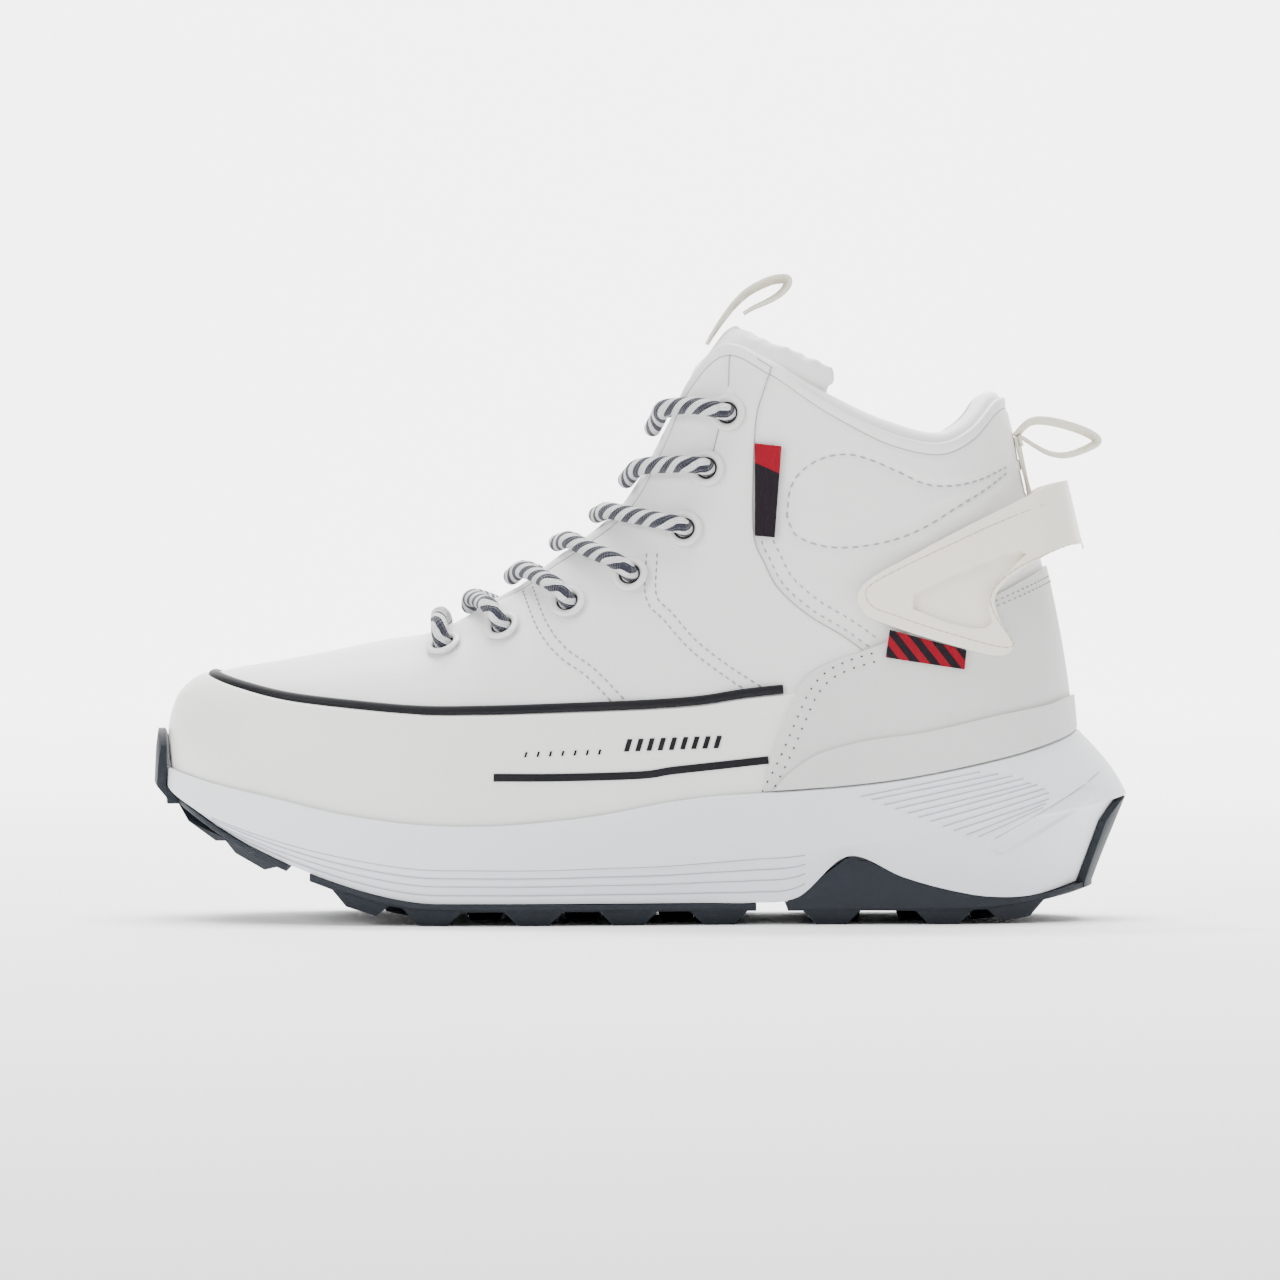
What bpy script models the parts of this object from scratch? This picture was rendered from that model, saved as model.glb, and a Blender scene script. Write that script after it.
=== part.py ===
"""Winter training boot for the left foot, size EU 40, built from the pieces that a maker puts together.

Lengths are in metres. X runs along the boot with the toe towards -X and the heel towards +X, the outer
side faces -Y, the inner side faces +Y, and Z is up from the floor. The origin is under the middle of the
boot. The upper is one hollow wall: its ribs rise from the footbed to the rim, and every overlay, eyelet,
label and lace takes its place from the same ribs, so that all of them follow a change of size.
"""

import math
from collections import namedtuple

import bmesh
import bpy
import numpy as np

MM = 0.001

# Driving sizes
LENGTH = 297.0 * MM  # over the rubber at toe and heel
UPPER_WIDTH = 99.0 * MM  # across the ball of the foot, outside the wall
SHAFT_HEIGHT = 174.0 * MM  # floor to the front corner of the shaft
SOLE_HEIGHT = 58.0 * MM  # floor to the midsole's edge at the heel
HEEL_STACK = 42.0 * MM  # floor to the footbed under the heel

# Walls and gaps
GAP = 0.3 * MM  # between neighbouring pieces
WALL = 2.6 * MM
COLLAR_PAD = 5.5 * MM  # foam added inside the wall at the collar
BUMPER_STEP = 0.8 * MM  # the toe bumper stands this proud of the vamp
INSOLE_THICKNESS = 4.0 * MM
TONGUE_THICKNESS = 6.0 * MM
TONGUE_ROOM = 0.6 * MM  # between the tongue and the wall outside it

# Sole
LIP = 2.4 * MM  # the midsole's edge outside the upper
HEEL_FLARE = 14.0 * MM  # the midsole's ridge outside its top edge, behind the heel
WRAP = 2.8 * MM  # thickness of the rubber that wraps up toe and heel
STEP_DEPTH = 0.7 * MM  # the two steps along the forefoot's side wall
RUBBER = 2.5 * MM  # outsole between its lugs
RUBBER_RIM = 6.0 * MM  # width of the outsole's raised edge beside the arch
LUG_DEPTH = 4.2 * MM
TOE_SPRING = 32.4 * MM
HEEL_LIFT = 5.5 * MM
ROLL_POWER = 1.6

# Trim
STRIPE_WIDTH = 2.8 * MM
STRIPE_THICKNESS = 0.9 * MM
COUNTER_THICKNESS = 1.0 * MM
RAND_THICKNESS = 1.4 * MM
CLIP_THICKNESS = 2.8 * MM
CLIP_RECESS = 1.1 * MM
CLIP_STANDOFF = 9.0 * MM  # free space between the heel and the clip's loop
LABEL_THICKNESS = 0.8 * MM
EYELET_FLANGE_R = 5.5 * MM
EYELET_HOLE_R = 3.3 * MM
EYELET_WALL = 0.6 * MM
EYELET_FLANGE = 1.0 * MM
EYELET_SEAT = 0.6 * MM  # from the upper's face to the flange
LACE_R = 2.6 * MM
LACE_ROOM = 1.3 * MM  # between the lace and what it lies on
WEBBING = 1.3 * MM
LOOP_WIDTH = 11.0 * MM

# The upper's sections from toe to heel. "at" is the place along the boot from the toe, a share of LENGTH;
# centre and half widths are shares of UPPER_WIDTH; "up" is the height over the floor, a share of
# SHAFT_HEIGHT. Each rib is a cubic with its ends at foot and rim and its handles at low and high.
Section = namedtuple(
    "Section",
    "name foot_at low_at high_at rim_at centre foot low high rim low_up high_up rim_up stripe_up",
)
UPPER = [
    Section("toe", 0.022, 0.003, 0.026, 0.099, 0.051, 0, 0, 0, 0, 0.368, 0.444, 0.434, 0.427),
    Section("toe_corner", 0.035, 0.020, 0.044, 0.123, 0.051, 0.162, 0.182, 0.121, 0, 0.368, 0.452, 0.444, 0.421),
    Section("toe_side", 0.072, 0.064, 0.089, 0.153, 0.043, 0.308, 0.333, 0.242, 0, 0.362, 0.461, 0.455, 0.404),
    Section("toe_box", 0.130, 0.126, 0.143, 0.192, 0.032, 0.399, 0.429, 0.323, 0, 0.356, 0.474, 0.470, 0.384),
    Section("toe_joint", 0.197, 0.197, 0.207, 0.239, 0.015, 0.449, 0.480, 0.364, 0, 0.351, 0.486, 0.489, 0.371),
    Section("ball", 0.271, 0.274, 0.278, 0.293, -0.005, 0.470, 0.500, 0.379, 0, 0.351, 0.500, 0.509, 0.361),
    Section("throat_foot", 0.338, 0.338, 0.340, 0.342, -0.020, 0.465, 0.500, 0.364, 0.086, 0.356, 0.523, 0.553, 0.361),
    Section("lower_throat", 0.399, 0.399, 0.402, 0.409, -0.030, 0.449, 0.485, 0.343, 0.126, 0.368, 0.557, 0.626, 0.364),
    Section("waist", 0.460, 0.463, 0.470, 0.483, -0.035, 0.424, 0.455, 0.318, 0.146, 0.385, 0.592, 0.721, 0.368),
    Section("instep", 0.517, 0.517, 0.517, 0.519, -0.035, 0.404, 0.429, 0.288, 0.162, 0.402, 0.632, 0.830, 0.372),
    Section("upper_throat", 0.567, 0.561, 0.551, 0.547, -0.030, 0.389, 0.414, 0.268, 0.187, 0.420, 0.672, 0.937, 0.378),
    Section("shaft_front", 0.611, 0.601, 0.588, 0.584, -0.025, 0.379, 0.404, 0.258, 0.232, 0.431, 0.695, 1.000, 0.389),
    Section("shaft_corner", 0.658, 0.645, 0.635, 0.628, -0.020, 0.374, 0.399, 0.253, 0.293, 0.437, 0.695, 0.967, 0.397),
    Section("ankle_front", 0.709, 0.695, 0.689, 0.685, -0.015, 0.369, 0.399, 0.258, 0.338, 0.437, 0.672, 0.901, 0.402),
    Section("ankle", 0.766, 0.753, 0.749, 0.746, -0.010, 0.367, 0.399, 0.273, 0.359, 0.431, 0.649, 0.847, 0.408),
    Section("ankle_back", 0.823, 0.813, 0.806, 0.800, -0.007, 0.354, 0.389, 0.278, 0.343, 0.425, 0.644, 0.827, 0.414),
    Section("heel_side", 0.880, 0.877, 0.857, 0.835, -0.003, 0.293, 0.328, 0.242, 0.258, 0.425, 0.649, 0.852, 0.420),
    Section("heel_corner", 0.923, 0.926, 0.888, 0.861, 0, 0.167, 0.192, 0.146, 0.136, 0.437, 0.678, 0.900, 0.425),
    Section("heel", 0.939, 0.946, 0.896, 0.873, 0, 0, 0, 0, 0, 0.448, 0.701, 0.911, 0.425),
]
HEEL = len(UPPER) - 1  # station of the heel; stations count from the toe along the outer side
ROUND = 2 * HEEL  # stations once round the boot, back along the inner side
SHAFT_FRONT = 11  # station of the shaft's front corner
BUMPER_END = 12  # station where the heel counter covers the bumper's end

# The midsole's wall at the same stations. Heights are shares of SOLE_HEIGHT, lip is a share of LIP, and
# ridge_out and foot_out are shares of HEEL_FLARE, outside the top edge. shelf is a share of WRAP, and wing
# is how far the outsole climbs the wall, a share of SOLE_HEIGHT.
SoleSection = namedtuple("SoleSection", "name top_up lip ridge_up ridge_out shelf foot_out wing steps")
SOLE = [
    SoleSection("toe", 0.800, 0.5, 0.724, 0.01, 0.0, -0.25, 0, 0.0),
    SoleSection("toe_corner", 0.776, 0.6, 0.655, 0.03, 0.0, -0.18, 0, 0.3),
    SoleSection("toe_side", 0.721, 0.8, 0.552, 0.06, 0.0, -0.09, 0, 0.8),
    SoleSection("toe_box", 0.655, 0.9, 0.448, 0.10, 0.0, -0.01, 0, 1.0),
    SoleSection("toe_joint", 0.576, 1.0, 0.362, 0.13, 0.0, 0.03, 0, 1.0),
    SoleSection("ball", 0.524, 1.0, 0.302, 0.16, 0.0, 0.06, 0, 1.0),
    SoleSection("throat_foot", 0.514, 1.0, 0.293, 0.16, 0.0, 0.06, 0, 1.0),
    SoleSection("lower_throat", 0.534, 1.0, 0.293, 0.14, 0.0, 0.04, 0, 1.0),
    SoleSection("waist", 0.572, 1.0, 0.302, 0.11, 0.0, 0.01, 0, 1.0),
    SoleSection("instep", 0.628, 1.0, 0.310, 0.07, 0.0, -0.03, 0, 1.0),
    SoleSection("upper_throat", 0.664, 1.0, 0.328, 0.06, 0.0, -0.06, 0, 0.8),
    SoleSection("shaft_front", 0.679, 1.0, 0.345, 0.07, 0.0, -0.04, 0, 0.4),
    SoleSection("shaft_corner", 0.695, 1.0, 0.362, 0.11, 0.0, 0.00, 0.03, 0.0),
    SoleSection("ankle_front", 0.714, 1.0, 0.407, 0.19, 0.0, 0.04, 0.24, 0.0),
    SoleSection("ankle", 0.750, 1.0, 0.448, 0.30, 0.0, 0.09, 0.13, 0.0),
    SoleSection("ankle_back", 0.805, 1.0, 0.500, 0.43, 0.0, 0.11, 0.05, 0.0),
    SoleSection("heel_side", 0.874, 1.1, 0.560, 0.58, 0.1, 0.15, 0, 0.0),
    SoleSection("heel_corner", 0.947, 1.2, 0.621, 0.85, 0.9, 0.22, 0, 0.0),
    SoleSection("heel", 0.995, 1.4, 0.659, 1.00, 1.0, 0.25, 0, 0.0),
]

# Footbed: place along the boot and height, as shares of LENGTH and HEEL_STACK
FOOTBED = [
    (0.00, 1.03), (0.03, 0.95), (0.08, 0.80), (0.13, 0.70), (0.20, 0.62), (0.28, 0.58), (0.35, 0.61),
    (0.43, 0.68), (0.53, 0.79), (0.62, 0.88), (0.71, 0.94), (0.80, 0.98), (1.00, 1.02),
]
ROLL_FRONT = 0.291  # the sole leaves the floor ahead of this share of LENGTH
ROLL_BACK = 0.830  # and behind this one
SPRING_REACH = 0.266  # TOE_SPRING is reached this far ahead of ROLL_FRONT
LIFT_REACH = 0.118  # HEEL_LIFT is reached this far behind ROLL_BACK


def column(rows, name, size=1.0):
    return np.array([getattr(row, name) for row in rows], float) * size


def around(values, at, odd=False):
    """A column's value at stations `at`, smooth through toe and heel. An odd column changes sign between
    the outer side and the inner side."""
    at = np.asarray(at, float)
    first = np.floor(at).astype(int)
    t = at - first
    near = []
    for step in (-1, 0, 1, 2):
        i = (first + step) % ROUND
        value = values[np.where(i > HEEL, ROUND - i, i)]
        near.append(np.where(i > HEEL, value, -value) if odd else value)
    a, b, c, d = near
    return 0.5 * (2 * b + (c - a) * t + (2 * a - 5 * b + 4 * c - d) * t**2 + (3 * b - 3 * c + d - a) * t**3)


def along(share):
    """X at a share of LENGTH from the toe."""
    return (np.asarray(share, float) - 0.5) * LENGTH


def share_of(x):
    return np.asarray(x, float) / LENGTH + 0.5


def footbed(x):
    """Height of the footbed over the floor."""
    places, heights = np.array(FOOTBED).T
    return np.interp(share_of(x), places, heights) * HEEL_STACK


def rocker(x):
    """Height of the tread over the floor: flat in the middle, rising at toe and heel."""
    ahead = np.clip((ROLL_FRONT - share_of(x)) / SPRING_REACH, 0, None)
    behind = np.clip((share_of(x) - ROLL_BACK) / LIFT_REACH, 0, None)
    return TOE_SPRING * ahead**ROLL_POWER + HEEL_LIFT * behind**ROLL_POWER


def tread_depth(x):
    """Depth of the lugs, less at the ends of the sole."""
    return LUG_DEPTH * (1 - 0.5 * np.clip(rocker(x) / (0.6 * TOE_SPRING), 0, 1))


def rib(at):
    """The four control points of the upper's rib at stations `at`."""
    at = np.asarray(at, float)
    centre = around(column(UPPER, "centre", UPPER_WIDTH), at)
    rim_half = around(column(UPPER, "rim", UPPER_WIDTH), at, odd=True)
    outer = at % ROUND <= HEEL
    rim_half = np.where(outer, np.minimum(rim_half, 0), np.maximum(rim_half, 0))
    points = []
    for name in ("foot", "low", "high", "rim"):
        x = along(around(column(UPPER, name + "_at"), at))
        half = rim_half if name == "rim" else around(column(UPPER, name, UPPER_WIDTH), at, odd=True)
        z = footbed(x) + GAP if name == "foot" else around(column(UPPER, name + "_up", SHAFT_HEIGHT), at)
        points.append(np.stack([x, centre * (0.6 if name in ("high", "rim") else 1) + half, z], -1))
    return points


def upper_point(at, v):
    """Point of the upper's outer face: v is 0 at the footbed and 1 at the rim."""
    v = np.asarray(v, float)[..., None]
    foot, low, high, rim = rib(at)
    w = 1 - v
    return foot * w**3 + 3 * low * w**2 * v + 3 * high * w * v**2 + rim * v**3


def upper_normal(at, v):
    """Outward unit normal of the upper's outer face."""
    at, v = np.asarray(at, float), np.asarray(v, float)
    step = 1e-3
    high = np.minimum(v + step, 1.0)
    low = np.maximum(v - step, 0.0)
    across = upper_point(at + step, v) - upper_point(at - step, v)
    up = upper_point(at, high) - upper_point(at, low)
    normal = np.cross(across, up)
    return normal / np.linalg.norm(normal, axis=-1, keepdims=True)


def rib_at_height(at, height):
    """v where the rib at station `at` reaches a height."""
    foot, first, last, rim = (point[..., 2] for point in rib(at))
    low = np.zeros(np.shape(at))
    high = np.full(np.shape(at), 0.9)
    for _ in range(24):
        v = (low + high) / 2
        w = 1 - v
        under = foot * w**3 + 3 * first * w**2 * v + 3 * last * w * v**2 + rim * v**3 < height
        low, high = np.where(under, v, low), np.where(under, high, v)
    return (low + high) / 2


def collar_share(at):
    """0 along the throat and 1 behind the ankle, where the collar is padded."""
    folded = np.where(np.asarray(at) % ROUND > HEEL, ROUND - np.asarray(at) % ROUND, np.asarray(at) % ROUND)
    t = np.clip((folded - SHAFT_FRONT) / 3.5, 0, 1)
    return t * t * (3 - 2 * t)


def wall(at, v):
    """Thickness of the upper's wall, with the collar's foam near the rim."""
    t = np.clip((np.asarray(v, float) - 0.62) / 0.3, 0, 1)
    return WALL + COLLAR_PAD * collar_share(at) * t * t * (3 - 2 * t)


# Meshes and objects


def material(name, colour, roughness, metallic=0.0):
    made = bpy.data.materials.new(name)
    made.use_nodes = True
    shader = made.node_tree.nodes["Principled BSDF"]
    shader.inputs["Base Color"].default_value = (*colour, 1)
    shader.inputs["Roughness"].default_value = roughness
    shader.inputs["Metallic"].default_value = metallic
    return made


def add(name, points, faces, finish, smooth=40):
    """A closed mesh object, its doubles merged and its faces pointing out."""
    mesh = bpy.data.meshes.new(name)
    mesh.from_pydata([tuple(p) for p in points], [], [tuple(f) for f in faces])
    tidy = bmesh.new()
    tidy.from_mesh(mesh)
    bmesh.ops.remove_doubles(tidy, verts=tidy.verts, dist=1e-6)
    bmesh.ops.dissolve_degenerate(tidy, edges=tidy.edges, dist=1e-7)
    bmesh.ops.recalc_face_normals(tidy, faces=tidy.faces)
    if tidy.calc_volume(signed=True) < 0:
        bmesh.ops.reverse_faces(tidy, faces=tidy.faces)
    tidy.to_mesh(mesh)
    tidy.free()
    mesh.shade_smooth()
    mesh.set_sharp_from_angle(angle=math.radians(smooth))
    mesh.materials.append(finish)
    thing = bpy.data.objects.new(name, mesh)
    bpy.context.scene.collection.objects.link(thing)
    return thing


def combine(thing, other, operation):
    """Boolean of two objects; the other one is used up."""
    cut = thing.modifiers.new(operation.lower(), "BOOLEAN")
    cut.operation = operation
    cut.solver = "EXACT"
    cut.object = other
    bpy.context.view_layer.update()
    mesh = bpy.data.meshes.new_from_object(thing.evaluated_get(bpy.context.evaluated_depsgraph_get()))
    thing.modifiers.clear()
    old = thing.data
    thing.data = mesh
    mesh.name = thing.name
    bpy.data.meshes.remove(old)
    bpy.data.objects.remove(other)
    return thing


def quads(rows, columns, closed=False):
    """Faces of a grid of points numbered row by row."""
    wrap = columns if closed else columns - 1
    return [
        (r * columns + c, r * columns + (c + 1) % columns, (r + 1) * columns + (c + 1) % columns, (r + 1) * columns + c)
        for r in range(rows - 1)
        for c in range(wrap)
    ]


def slab(name, outer, inner, finish):
    """Closed solid between two grids of points of the same shape (rows, columns, 3)."""
    rows, columns = outer.shape[:2]
    count = rows * columns
    faces = quads(rows, columns)
    faces += [tuple(reversed([i + count for i in f])) for f in quads(rows, columns)]
    edge = [c for c in range(columns)]
    edge += [r * columns + columns - 1 for r in range(1, rows)]
    edge += [(rows - 1) * columns + c for c in range(columns - 2, -1, -1)]
    edge += [r * columns for r in range(rows - 2, 0, -1)]
    for a, b in zip(edge, edge[1:] + edge[:1]):
        faces.append((a, a + count, b + count, b))
    return add(name, np.concatenate([outer.reshape(-1, 3), inner.reshape(-1, 3)]), faces, finish)


def ring_solid(name, rings, finish):
    """Closed solid through a stack of rings round the boot; its first and last rings are capped across."""
    columns = len(rings[0])
    faces = quads(len(rings), columns, closed=True)
    for base in (0, (len(rings) - 1) * columns):
        for c in range(columns // 2):
            faces.append((base + c, base + c + 1, base + (columns - c - 1) % columns, base + (columns - c) % columns))
    faces = [tuple(dict.fromkeys(f)) for f in faces]
    return add(name, np.concatenate(rings), [f for f in faces if len(f) > 2], finish)


def rounded(outline, times=2):
    """A closed outline with its corners cut into short arcs."""
    points = np.array(outline, float)
    for _ in range(times):
        following = np.roll(points, -1, axis=0)
        points = np.stack([points * 0.75 + following * 0.25, points * 0.25 + following * 0.75], 1).reshape(-1, 2)
    return points


def side_prism(outline, sides=(-1, 1)):
    """Cutter: an outline in the side view, shares of LENGTH and SHAFT_HEIGHT, pushed through one side of the
    boot or both."""
    flat = [(float(along(a)), b * SHAFT_HEIGHT) for a, b in outline]
    reach = UPPER_WIDTH
    low, high = min(sides) * reach if min(sides) < 0 else 0.0, max(sides) * reach if max(sides) > 0 else 0.0
    count = len(flat)
    points = [(x, low, z) for x, z in flat] + [(x, high, z) for x, z in flat]
    faces = [tuple(range(count)), tuple(reversed(range(count, 2 * count)))]
    faces += [(i, i + count, (i + 1) % count + count, (i + 1) % count) for i in range(count)]
    return add("prism", points, faces, PLAIN)


def swept(name, path, radius, finish, sides=8):
    """Round tube along a path, with closed ends."""
    path = np.asarray(path, float)
    tangent = np.gradient(path, axis=0)
    tangent /= np.linalg.norm(tangent, axis=1, keepdims=True)
    side = np.cross(tangent[0], (0.31, 0.17, 0.94))
    rings = []
    for point, ahead in zip(path, tangent):
        side = side - ahead * (side @ ahead)
        side /= np.linalg.norm(side)
        other = np.cross(ahead, side)
        turn = np.linspace(0, 2 * math.pi, sides, endpoint=False)
        rings.append(point + radius * (np.cos(turn)[:, None] * side + np.sin(turn)[:, None] * other))
    faces = quads(len(rings), sides, closed=True)
    faces += [tuple(range(sides)), tuple(range((len(rings) - 1) * sides, len(rings) * sides))]
    return add(name, np.concatenate(rings), faces, finish)


def smooth_path(points, count):
    """A smooth curve through a few points, at even parameter steps."""
    points = np.asarray(points, float)
    padded = np.concatenate([[2 * points[0] - points[1]], points, [2 * points[-1] - points[-2]]])
    result = []
    for s in np.linspace(0, len(points) - 1, count):
        k = min(int(s), len(points) - 2)
        t = s - k
        a, b, c, d = padded[k : k + 4]
        result.append(
            0.5 * (2 * b + (c - a) * t + (2 * a - 5 * b + 4 * c - d) * t**2 + (3 * b - 3 * c + d - a) * t**3)
        )
    return np.array(result)


for old in list(bpy.data.objects):
    bpy.data.objects.remove(old)

PLAIN = material("plain", (0.8, 0.8, 0.8), 0.5)
WHITE_UPPER = material("white_upper", (0.83, 0.83, 0.82), 0.5)
GREY_PANEL = material("grey_panel", (0.66, 0.66, 0.65), 0.5)
CREAM = material("cream", (0.86, 0.83, 0.75), 0.45)
WHITE_FOAM = material("white_foam", (0.82, 0.84, 0.86), 0.55)
BLACK_RUBBER = material("black_rubber", (0.012, 0.016, 0.022), 0.6)
BLACK_TRIM = material("black_trim", (0.01, 0.01, 0.013), 0.5)
LACE = material("lace", (0.35, 0.35, 0.38), 0.8)
EYELET = material("eyelet", (0.8, 0.8, 0.78), 0.35)
LINING = material("lining", (0.78, 0.78, 0.76), 0.9)
RED_WOVEN = material("red_woven", (0.35, 0.02, 0.04), 0.8)

# Upper

UPPER_COLUMNS = 2 * ROUND
BUMPER_ROWS = 4
UPPER_ROWS = 7


def bumper_step(at):
    """How far the toe bumper stands proud, none behind its end under the counter."""
    folded = np.where(at % ROUND > HEEL, ROUND - at % ROUND, at % ROUND)
    return BUMPER_STEP * np.clip(BUMPER_END + 1 - folded, 0, 1)


def stripe_line(at):
    """v of the bumper's top edge."""
    return rib_at_height(at, around(column(UPPER, "stripe_up", SHAFT_HEIGHT), at))


def upper_sheet():
    """Outer face of the upper: a row of points for each height, and how thick the wall is behind them."""
    at = np.arange(UPPER_COLUMNS) * ROUND / UPPER_COLUMNS
    edge = stripe_line(at)
    step = bumper_step(at)
    rows, depths = [], []
    for share in np.linspace(0, 1, BUMPER_ROWS):
        v = edge * share
        rows.append(upper_point(at, v) + upper_normal(at, v) * step[:, None])
        depths.append(wall(at, v) + step)
    for share in np.linspace(0, 1, UPPER_ROWS):
        v = edge + (1 - edge) * share
        rows.append(upper_point(at, v))
        depths.append(wall(at, v))
    return at, np.array(rows), np.array(depths)


def build_upper():
    """One hollow wall, open underneath, at the throat and at the collar."""
    at, rows, depths = upper_sheet()
    count, columns = rows.shape[:2]
    sheet = bpy.data.meshes.new("sheet")
    sheet.from_pydata(rows.reshape(-1, 3).tolist(), [], quads(count, columns, closed=True))
    grid = bmesh.new()
    grid.from_mesh(sheet)
    depth = grid.verts.layers.float.new("depth")
    for vertex, value in zip(grid.verts, depths.reshape(-1)):
        vertex[depth] = value
    bmesh.ops.remove_doubles(grid, verts=grid.verts, dist=1e-6)
    bmesh.ops.dissolve_degenerate(grid, edges=grid.edges, dist=1e-7)
    bmesh.ops.recalc_face_normals(grid, faces=grid.faces)
    if sum(f.normal.z * f.calc_area() for f in grid.faces) < 0:
        bmesh.ops.reverse_faces(grid, faces=grid.faces)
    grid.normal_update()
    grid.verts.index_update()
    outer = [v.co.copy() for v in grid.verts]
    inner = [v.co - v.normal * v[depth] for v in grid.verts]
    faces = [[v.index for v in f.verts] for f in grid.faces]
    size = len(outer)
    closed = faces + [[i + size for i in reversed(f)] for f in faces]
    points = [tuple(p) for p in outer + inner]
    rolled = {}
    for edge in grid.edges:
        if len(edge.link_faces) != 1:
            continue
        face = edge.link_faces[0]
        a, b = edge.verts
        order = [v.index for v in face.verts]
        if (order.index(a.index) + 1) % len(order) != order.index(b.index):
            a, b = b, a
        if max(a.co.z, b.co.z) < SOLE_HEIGHT:
            closed.append([b.index, a.index, a.index + size, b.index + size])
            continue
        for vertex in (a, b):
            if vertex.index not in rolled:
                inward = [o.co for e in vertex.link_edges if len(e.link_faces) == 2 for o in [e.other_vert(vertex)]]
                away = (vertex.co - sum(inward, vertex.co * 0) / len(inward)).normalized()
                rolled[vertex.index] = len(points)
                middle = (outer[vertex.index] + inner[vertex.index]) / 2 + away * vertex[depth] * 0.4
                points.append(tuple(middle))
        ra, rb = rolled[a.index], rolled[b.index]
        closed.append([b.index, a.index, ra, rb])
        closed.append([rb, ra, a.index + size, b.index + size])
    grid.free()
    return add("upper", points, closed, WHITE_UPPER)


# Eyelets

EyeletPlace = namedtuple("EyeletPlace", "station v")
EYELETS = [
    EyeletPlace(5.27, 0.74),
    EyeletPlace(6.30, 0.73),
    EyeletPlace(7.30, 0.715),
    EyeletPlace(8.30, 0.70),
    EyeletPlace(9.75, 0.69),
    EyeletPlace(10.45, 0.78),
    EyeletPlace(11.04, 0.87),
]


def on(place, inner=False):
    """Station and v of a place, on the outer side or mirrored to the inner side."""
    return (ROUND - place.station if inner else place.station), place.v


def ring_frame(normal):
    """Two directions square to a normal."""
    side = np.cross(normal, (0.0, 0.0, 1.0))
    side /= np.linalg.norm(side)
    return side, np.cross(normal, side)


def turned(name, centre, normal, profile, finish, sides=12):
    """Ring turned from a closed (radius, height) profile round a normal."""
    side, other = ring_frame(normal)
    turn = np.linspace(0, 2 * math.pi, sides, endpoint=False)
    points = [
        centre + r * (math.cos(t) * side + math.sin(t) * other) + h * normal for t in turn for r, h in profile
    ]
    count = len(profile)
    faces = [
        (
            s * count + p,
            s * count + (p + 1) % count,
            (s + 1) % sides * count + (p + 1) % count,
            (s + 1) % sides * count + p,
        )
        for s in range(sides)
        for p in range(count)
    ]
    return add(name, points, faces, finish)


def pin(centre, normal, radius, reach):
    """Round cutter along a normal."""
    return swept("pin", [centre - normal * reach, centre, centre + normal * reach], radius, PLAIN, sides=12)


def build_eyelets():
    upper = bpy.data.objects["upper"]
    profile = [
        (EYELET_HOLE_R, -WALL),
        (EYELET_HOLE_R + EYELET_WALL, -WALL),
        (EYELET_HOLE_R + EYELET_WALL, EYELET_SEAT),
        (EYELET_FLANGE_R, EYELET_SEAT),
        (EYELET_FLANGE_R, EYELET_SEAT + EYELET_FLANGE * 0.5),
        (EYELET_FLANGE_R - 0.6 * MM, EYELET_SEAT + EYELET_FLANGE),
        (EYELET_HOLE_R, EYELET_SEAT + EYELET_FLANGE),
    ]
    for inner in (False, True):
        for number, place in enumerate(EYELETS, 1):
            at, v = on(place, inner)
            centre, normal = upper_point(at, v), upper_normal(at, v)
            combine(upper, pin(centre, normal, EYELET_HOLE_R + EYELET_WALL + GAP, 4 * WALL), "DIFFERENCE")
            turned(f"eyelet_{'inner' if inner else 'outer'}_{number}", centre, normal, profile, EYELET)


# Midsole

STATIONS = np.arange(UPPER_COLUMNS) * ROUND / UPPER_COLUMNS


def sole(name, at, size=1.0):
    return around(column(SOLE, name, size), at)


def measured_cup_line():
    """The cup's edge along the upper at close stations, and the level outward direction there."""
    at = np.linspace(0, ROUND, 20 * ROUND + 1)
    edge = upper_point(at, rib_at_height(at, sole("top_up", at, SOLE_HEIGHT)))
    ahead = np.roll(edge[:-1], -1, axis=0) - np.roll(edge[:-1], 1, axis=0)
    ahead = np.concatenate([ahead, ahead[:1]])
    out = np.stack([ahead[:, 1], -ahead[:, 0], 0 * at], -1)
    out /= np.linalg.norm(out, axis=-1, keepdims=True)
    return at, edge + out * (GAP + bumper_step(at))[:, None], out


CUP_AT, CUP_EDGE, CUP_OUT = measured_cup_line()


def cup_line(at):
    """Where the cup's edge meets the upper, and the level outward direction there."""
    at = np.asarray(at, float) % ROUND
    line = np.stack([np.interp(at, CUP_AT, CUP_EDGE[:, i]) for i in range(3)], -1)
    out = np.stack([np.interp(at, CUP_AT, CUP_OUT[:, i]) for i in range(3)], -1)
    return line, out / np.linalg.norm(out, axis=-1, keepdims=True)


def wall_profile(at):
    """Heights and distances outside the cup line of the midsole's wall, from its top edge to its foot."""
    line, out = cup_line(at)
    lip = sole("lip", at, LIP)
    foot_out = lip + sole("foot_out", at, HEEL_FLARE)
    x = line[..., 0] + out[..., 0] * foot_out
    split = rocker(x) + tread_depth(x) + RUBBER + sole("wing", at, SOLE_HEIGHT)
    top = sole("top_up", at, SOLE_HEIGHT)
    ridge = np.maximum(sole("ridge_up", at, SOLE_HEIGHT), split + 1.5 * MM)
    ridge_out = lip + sole("ridge_out", at, HEEL_FLARE)
    return top, ridge, split, lip, ridge_out, foot_out


def wall_out(at, height):
    """Distance outside the cup line of the midsole's wall at a height."""
    top, ridge, split, lip, ridge_out, foot_out = wall_profile(at)
    upper_part = np.clip((height - ridge) / (top - ridge), 0, 1)
    lower_part = np.clip((height - split) / (ridge - split), 0, 1)
    return np.where(height > ridge, ridge_out + (lip - ridge_out) * upper_part, foot_out + (ridge_out - foot_out) * lower_part)


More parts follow.
